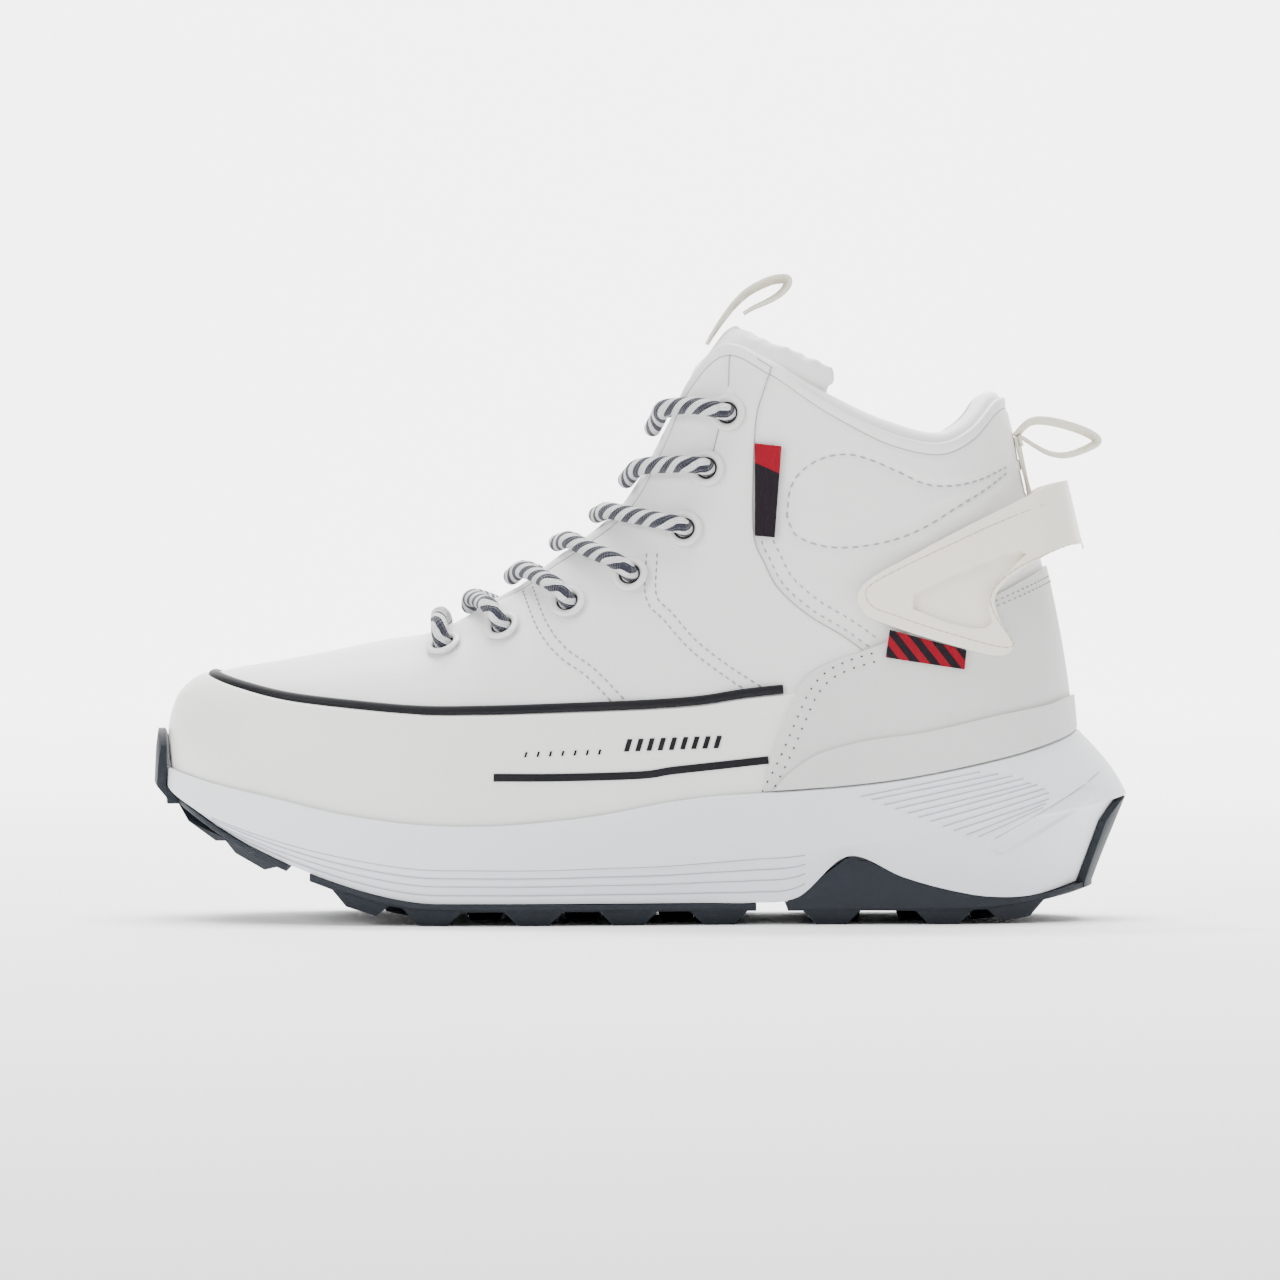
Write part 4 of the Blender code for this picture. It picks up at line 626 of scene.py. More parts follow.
def rounded(outline, times=2):
    """A closed outline with its corners cut into short arcs."""
    points = np.array(outline, float)
    for _ in range(times):
        following = np.roll(points, -1, axis=0)
        points = np.stack([points * 0.75 + following * 0.25, points * 0.25 + following * 0.75], 1).reshape(-1, 2)
    return points


def place(thing, slot, *nodes, padded=None):
    """Attaches a finished piece to the root and hides the nodes it stands for; slot, what it is made of, is not used.
    """
    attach(thing, "root")
    if nodes:
        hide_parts(*nodes)
    print(thing.name, len(thing.data.polygons), "faces")
    return thing


def baked(thing):
    """The object with its modifiers applied to a plain mesh."""
    graph = bpy.context.evaluated_depsgraph_get()
    mesh = bpy.data.meshes.new_from_object(thing.evaluated_get(graph))
    thing.modifiers.clear()
    old, thing.data = thing.data, mesh
    mesh.name = thing.name
    if old.users == 0:
        bpy.data.meshes.remove(old)
    return thing


def combine(thing, other, operation):
    """Boolean of two objects; the other one is used up."""
    cut = thing.modifiers.new(operation.lower(), "BOOLEAN")
    cut.operation = operation
    cut.solver = "EXACT"
    cut.object = other
    bpy.context.view_layer.update()
    baked(thing)
    bpy.data.objects.remove(other)
    return thing


def side_prism(outline, sides=(-1, 1)):
    """Cutter: an outline in the side view, shares of LENGTH and SHAFT_HEIGHT, pushed through the boot."""
    flat = [(float(along(a)), b * SHAFT_HEIGHT) for a, b in outline]
    low = -UPPER_WIDTH if min(sides) < 0 else 0.0
    high = UPPER_WIDTH if max(sides) > 0 else 0.0
    count = len(flat)
    points = [(x, low, z) for x, z in flat] + [(x, high, z) for x, z in flat]
    faces = [tuple(range(count)), tuple(reversed(range(count, 2 * count)))]
    faces += [(i, i + count, (i + 1) % count + count, (i + 1) % count) for i in range(count)]
    return add("prism", points, faces, FOAM)


def smooth_path(points, count):
    """A smooth curve through a few points, at even parameter steps."""
    points = np.asarray(points, float)
    padded = np.concatenate([[2 * points[0] - points[1]], points, [2 * points[-1] - points[-2]]])
    result = []
    for s in np.linspace(0, len(points) - 1, count):
        k = min(int(s), len(points) - 2)
        t = s - k
        a, b, c, d = padded[k : k + 4]
        result.append(
            0.5 * (2 * b + (c - a) * t + (2 * a - 5 * b + 4 * c - d) * t**2 + (3 * b - 3 * c + d - a) * t**3)
        )
    return np.array(result)


# %% Lines drawn in the photograph, found on the leather


def bumper_step(at):
    """How far the toe bumper stands proud, none behind its end under the counter."""
    folded = np.where(at % ROUND > HEEL, ROUND - at % ROUND, at % ROUND)
    return BUMPER_STEP * np.clip(BUMPER_END + 1 - folded, 0, 1)


def stripe_line(at):
    """v of the bumper's top edge."""
    return rib_at_height(at, around(column(UPPER, "stripe_up", SHAFT_HEIGHT), at))


def line_of(pixels, count=None):
    """A line given in pixels of the photograph, as x and z on the boot, at even steps if counted."""
    flat = np.array([photo_xz(*p) for p in pixels])
    if count is None:
        return flat
    reach = np.concatenate([[0], np.cumsum(np.linalg.norm(np.diff(flat, axis=0), axis=1))])
    steps = np.linspace(0, reach[-1], count)
    return np.stack([np.interp(steps, reach, flat[:, i]) for i in (0, 1)], 1)


def smooth_line(pixels, count):
    """The same as one smooth curve."""
    flat = line_of(pixels)
    curve = smooth_path(np.column_stack([flat[:, 0], 0 * flat[:, 0], flat[:, 1]]), 4 * count)[:, [0, 2]]
    reach = np.concatenate([[0], np.cumsum(np.linalg.norm(np.diff(curve, axis=0), axis=1))])
    steps = np.linspace(0, reach[-1], count)
    return np.stack([np.interp(steps, reach, curve[:, i]) for i in (0, 1)], 1)


def make_lookup():
    at, v = np.meshgrid(np.linspace(0.3, HEEL - 0.03, 260), np.linspace(0.02, 1, 90), indexing="ij")
    points = upper_point(at, v)
    return at.ravel(), v.ravel(), points[..., 0].ravel(), points[..., 2].ravel()


LOOKUP = make_lookup()


def on_leather(flat, inner=False):
    """Stations and v where the side view shows points of the upper, given as x and z."""
    flat = np.asarray(flat, float)
    ats, vs, xs, zs = LOOKUP
    best = np.argmin((flat[:, :1] - xs) ** 2 + (flat[:, 1:] - zs) ** 2, axis=1)
    at, v = ats[best], vs[best]
    step = 1e-4
    for _ in range(5):
        here = upper_point(at, v)[:, [0, 2]]
        da = (upper_point(at + step, v)[:, [0, 2]] - here) / step
        dv = (here - upper_point(at, v - step)[:, [0, 2]]) / step
        rest = flat - here
        det = da[:, 0] * dv[:, 1] - da[:, 1] * dv[:, 0]
        det = np.where(np.abs(det) < 1e-9, 1e-9, det)
        at = np.clip(at + np.clip((rest[:, 0] * dv[:, 1] - rest[:, 1] * dv[:, 0]) / det, -0.4, 0.4), 0.02, HEEL - 0.02)
        v = np.clip(v + np.clip((da[:, 0] * rest[:, 1] - da[:, 1] * rest[:, 0]) / det, -0.06, 0.06), 0.01, 1)
    return (ROUND - at if inner else at), v


def away_from(x, z, line):
    """Distance of points from a line of the side view, and which side they lie on: + is left of its run."""
    best = np.full(np.shape(x), 1e9)
    side = np.zeros(np.shape(x))
    for (ax, az), (bx, bz) in zip(line[:-1], line[1:]):
        dx, dz = bx - ax, bz - az
        t = np.clip(((x - ax) * dx + (z - az) * dz) / (dx * dx + dz * dz), 0, 1)
        ox, oz = x - ax - t * dx, z - az - t * dz
        distance = np.hypot(ox, oz)
        closer = distance < best
        best = np.where(closer, distance, best)
        side = np.where(closer, np.sign(dx * (z - az) - dz * (x - ax)), side)
    return best, side


def soft(x):
    """0 below 0, 1 above 1, smooth between."""
    t = np.clip(x, 0, 1)
    return t * t * (3 - 2 * t)


print("last: toe to heel", round((along(UPPER[HEEL].foot_at) - along(UPPER[0].low_at)) * 1000), "mm")

# %% [markdown]
# ## The leather shell
#
# The real upper is cut from soft coated leather, padded with thin foam and sewn in panels, so it swells
# between its seams. It could be modelled by hand, but a rule is at hand: the last's own function gives a
# fine grid, and each seam, drawn as a line in the side view, presses a trough into it. A step of half a
# millimetre marks where the front panel lies over the ankle panel.

# %% Seams of the outer side, in pixels of the photograph
SEAM_TOE_SIDE = [(527.6, 587), (543, 623), (563, 648.5), (591, 669), (619, 697)]
SEAM_MIDDLE = [(651, 554), (651, 595), (668, 615), (693, 643), (726.5, 669), (754.6, 686.7)]
SEAM_ANKLE = [
    (770.7, 366), (762, 393), (754.8, 420), (751.6, 473), (752, 533.8), (762.8, 562.5), (777, 588),
    (805.8, 613.5), (837.7, 632.7), (860, 648.6),
]
SEAM_TOP_SHORT = [(728, 356), (727, 388)]
SEAM_EYELET_SHORT = [(719, 424), (712, 452)]
COLLAR_SEAM_DROP = 2.9 * MM  # from the rim to the seam under the collar's band
PAD_UPPER = [
    (785, 514.7), (788, 489), (799.4, 471.6), (818.6, 459.8), (844, 455.7), (869.6, 462), (895, 473),
    (920.6, 484.4), (946, 486.6), (974.8, 481), (1004, 468),
]
PAD_LOWER = [
    (785, 514.7), (793, 533.8), (818.6, 545), (850.5, 546.6), (888.7, 540), (920.6, 527.4), (952.5, 508.3),
    (984.4, 489), (1004, 474),
]
SOFT_CREASES = [
    [(431, 640), (436, 668), (440, 690)],
    [(486, 640), (497, 664), (505, 690)],
    [(583, 600), (600, 628), (628, 655), (655, 676)],
    [(690, 548), (703, 585), (726, 615), (760, 640)],
]
CREASE_DEPTHS = [0.5, 0.7, 0.5, 0.4]  # in millimetres
CREASE_WIDTH = 9.0 * MM
print("seams:", 5, "creases:", len(SOFT_CREASES))

# %% Relief of the leather


def trough(x, z, line, width, depth):
    """A soft trough along a line."""
    distance, _ = away_from(x, z, line)
    return -depth * np.exp(-((distance / width) ** 2))


def leather_relief(at, v, points):
    """How far the leather stands from the last: seams press it in, foam swells it out."""
    x, z = points[..., 0], points[..., 2]
    height = np.zeros(x.shape)
    for pixels in (SEAM_TOE_SIDE, SEAM_MIDDLE):
        line = smooth_line(pixels, 24)
        height += trough(x, z, line, 6.5 * MM, 0.9 * MM)
    for pixels, depth in zip(SOFT_CREASES, CREASE_DEPTHS):
        height += trough(x, z, smooth_line(pixels, 16), CREASE_WIDTH, depth * MM)
    distance, side = away_from(x, z, smooth_line(SEAM_ANKLE, 40))
    behind = (x > photo_xz(751, 0)[0]) & (side > 0)
    height -= 0.7 * MM * np.where(behind, soft(distance / (1.1 * MM)) * soft((42 * MM - distance) / (14 * MM)), 0)
    pad = np.concatenate([smooth_line(PAD_UPPER, 30)[::-1], smooth_line(PAD_LOWER, 30)[1:]])
    distance, side = away_from(x, z, pad)
    inside = (side > 0) & (x > photo_xz(780, 0)[0])
    height += np.where(inside, 1.5 * MM * soft(distance / (11 * MM)), 0)
    height += trough(x, z, pad, 1.6 * MM, 0.7 * MM)
    for pixels in (SEAM_TOP_SHORT, SEAM_EYELET_SHORT):
        height += trough(x, z, line_of(pixels, 6), 1.4 * MM, 0.5 * MM)
    folded = np.where(at > HEEL, ROUND - at, at)
    rim = upper_point(at, np.ones(at.shape))
    below = np.linalg.norm(points - rim, axis=-1)
    open_rim = soft((folded - 5.3) / 0.5)
    height -= 0.45 * MM * open_rim * np.exp(-(((below - COLLAR_SEAM_DROP) / (0.9 * MM)) ** 2))
    height += 0.35 * MM * np.exp(-(((below - 11 * MM) / (7 * MM)) ** 2)) * soft((folded - 12) / 2)
    return height


# %% Shells that follow the last


def centre_joined(at, normal):
    """Normals made equal on the last row where the two sides meet over the toes."""
    folded = np.where(at > HEEL, ROUND - at, at)
    joined = normal[-1] + np.roll(normal[-1, ::-1], 1, axis=0)
    joined /= np.linalg.norm(joined, axis=-1, keepdims=True)
    equal = normal.copy()
    equal[-1] = np.where((folded < 5.0)[:, None], joined, normal[-1])
    return equal


def last_shell(name, columns, v, outside, inside, finish, every=8, roll=5, crown=0.45):
    """Closed shell over the last. v, outside and inside have a row for each line round the boot; the inner
    face keeps one row in `every`, and the free rim is rolled."""
    at = np.arange(columns) * ROUND / columns
    ats = np.broadcast_to(at, v.shape)
    face, normal = upper_point(ats, v), centre_joined(at, upper_normal(ats, v))
    outer = face + normal * outside[..., None]
    keep = sorted({*range(0, len(v), every), len(v) - 1})
    inner = (face + normal * inside[..., None])[keep]
    apart = np.abs(outer[-1, :, 1] - np.roll(outer[-1, ::-1, 1], 1)) > 2e-6
    up = face[-1] - face[-3]
    up /= np.linalg.norm(up, axis=-1, keepdims=True)
    rows = [outer]
    for turn in np.linspace(0, math.pi, roll + 2)[1:-1]:
        middle, half = (outer[-1] + inner[-1]) / 2, (outer[-1] - inner[-1]) / 2
        reach = np.linalg.norm(half, axis=-1, keepdims=True) * 2 * crown
        rows.append((middle + half * math.cos(turn) + up * reach * math.sin(turn))[None])
    rows.append(inner[::-1])
    rings = np.concatenate(rows)
    total = len(rings)
    faces = []
    rim_rows = range(len(outer) - 1, len(outer) + roll)
    for r in range(total):
        following = (r + 1) % total
        for c in range(columns):
            d = (c + 1) % columns
            if r in rim_rows and not (apart[c] or apart[d]):
                continue
            faces.append((r * columns + c, r * columns + d, following * columns + d, following * columns + c))
    return add(name, rings.reshape(-1, 3), faces, finish, smooth=60)


# %% Build the leather shell
SHELL_COLUMNS = 620
SHELL_ROWS = 124


def build_leather_shell():
    at = np.arange(SHELL_COLUMNS) * ROUND / SHELL_COLUMNS
    edge = stripe_line(at) - 0.03
    v = edge + (1 - edge) * np.linspace(0, 1, SHELL_ROWS)[:, None]
    ats = np.broadcast_to(at, v.shape)
    points = upper_point(ats, v)
    outside = leather_relief(ats, v, points)
    over_toes = np.where(at > HEEL, ROUND - at, at) < 5.0
    outside[-1] = np.where(over_toes, outside[-2], outside[-1])
    shell = last_shell("leather_shell", SHELL_COLUMNS, v, outside, 0 * v - 1.5 * MM, WHITE_LEATHER)
    return shell


shell = build_leather_shell()
place(shell, "white_upper", "upper")

# %% [markdown]
# ## Toe bumper
#
# A second piece of leather runs round the boot between the sole and the black stripe, heat-pressed so that
# it stands a little proud. It is another shell over the same last, with a soft ridge below the stripe.

# %% Build the bumper
BUMPER_ROWS = 56
BUMPER_RIDGE = [
    (170, 706), (192.6, 697), (216.5, 706.7), (251.6, 716.9), (283.5, 723), (331, 729), (376, 732), (492, 728),
    (640, 724), (786, 708),
]


def build_bumper():
    at = np.arange(SHELL_COLUMNS) * ROUND / SHELL_COLUMNS
    edge = stripe_line(at)
    v = edge * np.linspace(0.08, 1, BUMPER_ROWS)[:, None]
    ats = np.broadcast_to(at, v.shape)
    points = upper_point(ats, v)
    distance, side = away_from(points[..., 0], points[..., 2], smooth_line(BUMPER_RIDGE, 60))
    top_edge = np.linalg.norm(points - points[-1], axis=-1)
    step = bumper_step(ats)
    lifted = step + 0.28 * MM * soft(side * distance / (0.9 * MM) * 0.5 + 0.5) * (step > 0)
    outside = lifted * soft((top_edge + 0.5 * MM) / (1.1 * MM)) + 0.02 * MM
    flat = np.full(v.shape, -0.25 * MM)
    rows = last_shell("toe_bumper", SHELL_COLUMNS, v, outside, flat, BUMPER_LEATHER, every=14, roll=1, crown=0.1)
    return rows


place(build_bumper(), "white_upper")

# %% [markdown]
# ## Lining and padded collar
#
# Inside, the boot is lined with brushed knit. Round the ankle the lining holds foam, which makes the soft,
# rolled edge that the leg touches. The roll is thick, so it is a shell of its own whose rim is a half
# ellipse, with shallow dimples where the cover is drawn in.

# %% Build the lining and the collar


def build_lining():
    columns = 300
    at = np.arange(columns) * ROUND / columns
    v = np.linspace(0.06, 0.985, 46)[:, None] + 0 * at
    ats = np.broadcast_to(at, v.shape)
    return last_shell("knit_lining", columns, v, 0 * v - 1.6 * MM, -wall(ats, v), LINING_KNIT, every=1, roll=1, crown=0.2)


def build_collar():
    """Padded roll round the ankle, from one side of the throat to the other."""
    first = 10.9
    columns, rows = 260, 40
    at = np.linspace(first, ROUND - first, columns)
    share = np.linspace(0, 1, rows)[:, None]
    ends = soft((at - first) / 0.8) * soft((ROUND - first - at) / 0.8)
    depth = 0.22 + 0 * at
    v = 1 - depth * (1 - share)
    ats = np.broadcast_to(at, v.shape)
    face, normal = upper_point(ats, v), upper_normal(ats, v)
    up = face[-1] - face[-3]
    up /= np.linalg.norm(up, axis=-1, keepdims=True)
    swell = np.sin(math.pi * np.clip(share, 0, 1)) ** 0.5
    dimples = 0.25 * MM * np.sin(ats * 4.1) * np.sin(ats * 2.3 + 1.0)
    inner = face - normal * (wall(ats, v) + ends * (1.8 * MM * swell + dimples))[..., None]
    outer = face - normal * (1.45 * MM)
    top = []
    for turn in np.linspace(0, math.pi, 12)[1:-1]:
        middle, half = (outer[-1] + inner[-1]) / 2, (outer[-1] - inner[-1]) / 2
        reach = np.linalg.norm(half, axis=-1, keepdims=True)
        top.append(middle + half * math.cos(turn) + up * reach * 0.95 * math.sin(turn))
    rings = np.concatenate([outer[::3], outer[-1:], np.array(top), inner[::-1]])
    total = len(rings)
    faces = [
        (r * columns + c, r * columns + c + 1, (r + 1) % total * columns + c + 1, (r + 1) % total * columns + c)
        for r in range(total)
        for c in range(columns - 1)
    ]
    faces += [tuple(r * columns + c for r in range(total)) for c in (0, columns - 1)]
    return add("collar_padding", rings.reshape(-1, 3), faces, WHITE_LEATHER, smooth=60)


place(build_lining(), "lining")
place(build_collar(), "white_upper", padded=0.7)

# %% [markdown]
# ## Midsole
#
# The midsole is one block of white foam from a mould. The mould cut long steps along the forefoot, fine
# slanting ribs over the heel and a bar across its flare. The ribs repeat, so the wall is a fine grid and a
# short formula presses them in.

# %% The cup that holds the upper


def sole(name, at, size=1.0):
    return around(column(SOLE, name, size), at)


def measured_cup_line():
    """The cup's edge along the upper at close stations, and the level outward direction there."""
    at = np.linspace(0, ROUND, 20 * ROUND + 1)
    edge = upper_point(at, rib_at_height(at, sole("top_up", at, SOLE_HEIGHT)))
    ahead = np.roll(edge[:-1], -1, axis=0) - np.roll(edge[:-1], 1, axis=0)
    ahead = np.concatenate([ahead, ahead[:1]])
    out = np.stack([ahead[:, 1], -ahead[:, 0], 0 * at], -1)
    out /= np.linalg.norm(out, axis=-1, keepdims=True)
    return at, edge + out * (GAP + bumper_step(at))[:, None], out


CUP_AT, CUP_EDGE, CUP_OUT = measured_cup_line()

def cup_line(at):
    """Where the cup's edge meets the upper, and the level outward direction there."""
    at = np.asarray(at, float) % ROUND
    line = np.stack([np.interp(at, CUP_AT, CUP_EDGE[:, i]) for i in range(3)], -1)
    out = np.stack([np.interp(at, CUP_AT, CUP_OUT[:, i]) for i in range(3)], -1)
    return line, out / np.linalg.norm(out, axis=-1, keepdims=True)


def wall_profile(at):
    """Heights and distances outside the cup line of the midsole's wall, from its top edge to its foot."""
    line, out = cup_line(at)
    lip = sole("lip", at, LIP)
    foot_out = lip + sole("foot_out", at, HEEL_FLARE)
    x = line[..., 0] + out[..., 0] * foot_out
    split = rocker(x) + tread_depth(x) + RUBBER + sole("wing", at, SOLE_HEIGHT)
    top = sole("top_up", at, SOLE_HEIGHT)
    ridge = np.maximum(sole("ridge_up", at, SOLE_HEIGHT), split + 1.5 * MM)
    ridge_out = lip + sole("ridge_out", at, HEEL_FLARE)
    return top, ridge, split, lip, ridge_out, foot_out


def wall_out(at, height):
    """Distance outside the cup line of the midsole's wall at a height."""
    top, ridge, split, lip, ridge_out, foot_out = wall_profile(at)
    upper_part = np.clip((height - ridge) / (top - ridge), 0, 1)
    lower_part = np.clip((height - split) / (ridge - split), 0, 1)
    return np.where(height > ridge, ridge_out + (lip - ridge_out) * upper_part, foot_out + (ridge_out - foot_out) * lower_part)


def ring(at, out, height):
    """Ring of points a distance outside the cup line."""
    line, direction = cup_line(at)
    points = line + direction * np.asarray(out)[..., None]
    points[..., 2] = height
    return points


def cup_ring(at, share):
    """Ring on the cup's inner wall, just outside the upper."""
    v = rib_at_height(at, sole("top_up", at, SOLE_HEIGHT)) * share
    face, normal = upper_point(at, v), upper_normal(at, v)
    points = face + normal * (GAP + bumper_step(at))[..., None]
    if share == 0:
        points[..., 2] = footbed(face[..., 0])
    return points


# %% Ribs, steps and the bar
HEEL_RIB_STARTS = [
    (857, 792), (868, 795), (880, 800), (891, 804), (903.6, 808), (914, 812), (925.7, 816), (937.5, 821),
    (948, 825), (961, 829), (973, 831),
]
HEEL_RIB_ENDS = [
    (975, 768), (993, 770), (1007, 772), (1018, 775), (1025, 779), (1032, 781), (1039, 785), (1043, 789),
    (1043, 795), (1040, 799), (1037, 803),
]
HEEL_BAR = [(989, 833), (1035, 808), (1072, 787), (1096, 770)]
RIB_WIDTH = 0.75 * MM
RIB_DEPTH = 0.75 * MM


def midsole_relief(x, z, share):
    """Depth of the ribs and the bar at points of the wall; share is not used."""
    depth = np.zeros(x.shape)
    for start, end in zip(HEEL_RIB_STARTS, HEEL_RIB_ENDS):
        line = np.array([photo_xz(*start), photo_xz(*end)])
        distance, _ = away_from(x, z, line)
        depth = np.maximum(depth, RIB_DEPTH * np.exp(-((distance / RIB_WIDTH) ** 2)))
    bar = np.array([photo_xz(996, 840), photo_xz(1082, 790)])
    distance, _ = away_from(x, z, bar)
    depth = np.maximum(depth, 0.8 * MM * soft((3.0 * MM - distance) / (0.8 * MM)))
    return depth


def build_midsole():
    columns = 640
    at = np.arange(columns) * ROUND / columns
    top, ridge, split, lip, ridge_out, foot_out = wall_profile(at)
    shelf = sole("shelf", at, WRAP)
    step = sole("steps", at, STEP_DEPTH)
    wing = sole("wing", at, SOLE_HEIGHT)
    inset = foot_out - shelf - RUBBER_RIM
    rings = [cup_ring(at, share) for share in (0.0, 0.34, 0.67)]
    rings.append(ring(at, 0 * at + 0.1 * MM, top - 0.6 * MM))
    rings += [ring(at, lip * 0.25, top), ring(at, lip * 0.7, top), ring(at, lip * 0.92, top - 0.3 * MM)]
    rings.append(ring(at, lip, top - 0.9 * MM))
    for t in np.linspace(0, 1, 44)[1:]:
        height = top - 0.9 * MM + (ridge - top + 0.9 * MM) * t
        out = lip + (ridge_out - lip) * (t + 0.10 * math.sin(math.pi * t))
        points = ring(at, out, height)
        cut = midsole_relief(points[:, 0], points[:, 2], 0)
        rings.append(ring(at, out - cut, height))
    lower = ridge - split
    for t in np.linspace(0, 1, 60)[1:]:
        height = ridge - lower * t
        out = ridge_out + (foot_out - ridge_out) * t - shelf * soft(t * lower / (1.0 * MM))
        x = ring(at, out, height)[:, 0]
        cut = midsole_relief(x, height, t)
        edge = step * soft(t * lower / (0.7 * MM)) + step * soft((t - 0.5) * lower / (0.7 * MM))
        for line in (0.26, 0.5, 0.76):
            edge = edge + step * 0.7 * np.exp(-(((t - line) * lower / (0.42 * MM)) ** 2))
        rings.append(ring(at, out - np.maximum(cut, 0) - edge, height))
    rings += [ring(at, inset, split), ring(at, inset - 0.4 * MM, split - wing)]
    faces = quads(len(rings), columns, closed=True)
    for base in (0, (len(rings) - 1) * columns):
        for c in range(columns // 2):
            faces.append((base + c, base + c + 1, base + (columns - c - 1) % columns, base + (columns - c) % columns))
    faces = [tuple(dict.fromkeys(f)) for f in faces]
    return add("foam_midsole", np.concatenate(rings), [f for f in faces if len(f) > 2], FOAM, smooth=35)


place(build_midsole(), "white_foam", "midsole")

# %% [markdown]
# ## Overlays
#
# Stripe, counter and rand are cut from sheet and glued over the upper. Each is a band between two lines of
# the last. Counter and rand are cut to their outlines in the side view as a knife would cut them, and then
# bevelled, because a cut edge of coated sheet is never perfectly sharp; the stripe gets a rounded face.

# %% Bands over the last


def up_rib(at, v, distance):
    """v a distance further up the rib."""
    step = 1e-3
    speed = np.linalg.norm(upper_point(at, v + step) - upper_point(at, v), axis=-1) / step
    return v + distance / speed


def band(name, first, last, columns, rows, low, high, inside, outside, finish):
    """Closed solid over the upper between two lines given as v at each station."""
    at = np.linspace(first, last, columns)
    bottom, top = low(at % ROUND), high(at % ROUND)
    v = bottom + (top - bottom) * np.linspace(0, 1, rows)[:, None]
    ats = np.broadcast_to(at, v.shape)
    face, normal = upper_point(ats, v), upper_normal(ats, v)
    near, far = inside(ats % ROUND), outside(ats % ROUND)
    return slab(name, face + normal * far[..., None], face + normal * near[..., None], finish)


def at_height(share):
    """The line round the boot at a share of SHAFT_HEIGHT, as v."""
    return lambda at: rib_at_height(at, share * SHAFT_HEIGHT + 0 * at)


def raised(distance):
    """The same distance from the leather at every station."""
    return lambda at: 0 * at + distance


def above_sole(at):
    return rib_at_height(at, sole("top_up", at, SOLE_HEIGHT) + 2 * GAP)


def soften(thing, width, segments=2, angle=50):
    """Rounds the sharp edges of a cut piece."""
    bevel = thing.modifiers.new("cut edge", "BEVEL")
    bevel.width = width
    bevel.segments = segments
    bevel.limit_method = "ANGLE"
    bevel.angle_limit = math.radians(angle)
    bevel.harden_normals = False
    bpy.context.view_layer.update()
    baked(thing)
    thing.data.shade_smooth()
    thing.data.set_sharp_from_angle(angle=math.radians(40))
    return thing


# %% Black stripe over the bumper
STRIPE_REACH = 11.9


def build_stripe():
    """A rubbery line with a flat back and a rounded face."""
    at = np.linspace(-STRIPE_REACH, STRIPE_REACH, 420)
    edge = stripe_line(at % ROUND)
    rows = []
    for turn in np.linspace(0, math.pi, 9):
        width = GAP + STRIPE_WIDTH * (0.5 - 0.5 * math.cos(turn))
        v = up_rib(at % ROUND, edge, width)
        height = 0.2 * MM + (GAP + STRIPE_THICKNESS - 0.2 * MM) * math.sin(turn) ** 0.5
        rows.append(upper_point(at % ROUND, v) + upper_normal(at % ROUND, v) * height)
    rings = np.array(rows)
    faces = quads(len(rings), len(at))
    faces += [(8 * len(at) + c, 8 * len(at) + c + 1, c + 1, c) for c in range(len(at) - 1)]
    faces += [tuple(r * len(at) + c for r in range(9)) for c in (0, len(at) - 1)]
    return add("black_stripe", rings.reshape(-1, 3), faces, BLACK_COATING)


place(build_stripe(), "black_trim", "toe_stripe")

# %% Counter and rand
COUNTER_EDGE = [
    (0.622, 0.215), (0.632, 0.299), (0.652, 0.383), (0.662, 0.417), (0.682, 0.445), (0.725, 0.473),
    (0.743, 0.484), (0.859, 0.568), (0.913, 0.616), (1.05, 0.735), (1.05, 0.10), (0.63, 0.10),
]
RAND_EDGE = [
    (0.632, 0.230), (0.650, 0.262), (0.677, 0.293), (0.707, 0.309), (0.733, 0.319), (0.788, 0.332),
    (0.861, 0.360), (0.916, 0.378), (0.940, 0.391), (1.05, 0.430), (1.05, 0.10), (0.635, 0.10),
]


def rounded_part(outline, count):
    """Outline whose first points are one smooth curve and whose last ones, out of sight, stay corners."""
    curve = smooth_path([(a, 0, b) for a, b in outline[:count]], 4 * count)[:, [0, 2]]
    return [tuple(p) for p in curve] + outline[count:]


def build_counter():
    counter = band(
        "grey_counter", 10.5, ROUND - 10.5, 240, 40, above_sole, at_height(0.70),
        lambda at: 0.1 * MM + bumper_step(at), lambda at: GAP + bumper_step(at) + COUNTER_THICKNESS, GREY_LEATHER,
    )
    combine(counter, side_prism(rounded_part(COUNTER_EDGE, 10)), "INTERSECT")
    return soften(counter, 0.35 * MM)


def build_rand():
    base = GAP + COUNTER_THICKNESS
    rand = band(
        "grey_rand", 10.8, ROUND - 10.8, 240, 24, above_sole, at_height(0.46),
        lambda at: base - 0.1 * MM + bumper_step(at),
        lambda at: base + GAP + RAND_THICKNESS * 0.75 + bumper_step(at), GREY_LEATHER,
    )
    combine(rand, side_prism(rounded_part(RAND_EDGE, 10)), "INTERSECT")
    return soften(rand, 0.4 * MM)


place(build_counter(), "grey_panel", "heel_counter")
place(build_rand(), "grey_panel", "heel_rand")

# %% [markdown]
# ## Heel clip
#
# The clip is one moulded part of cream plastic. It lies on the ankle at its front, leaves the boot towards
# the heel and passes behind it as a loop. Its middle is sunk, and a sewn tan line follows the border. The
# band function takes a distance from the leather that grows towards the heel, so the clip is cut like the
# other overlays.

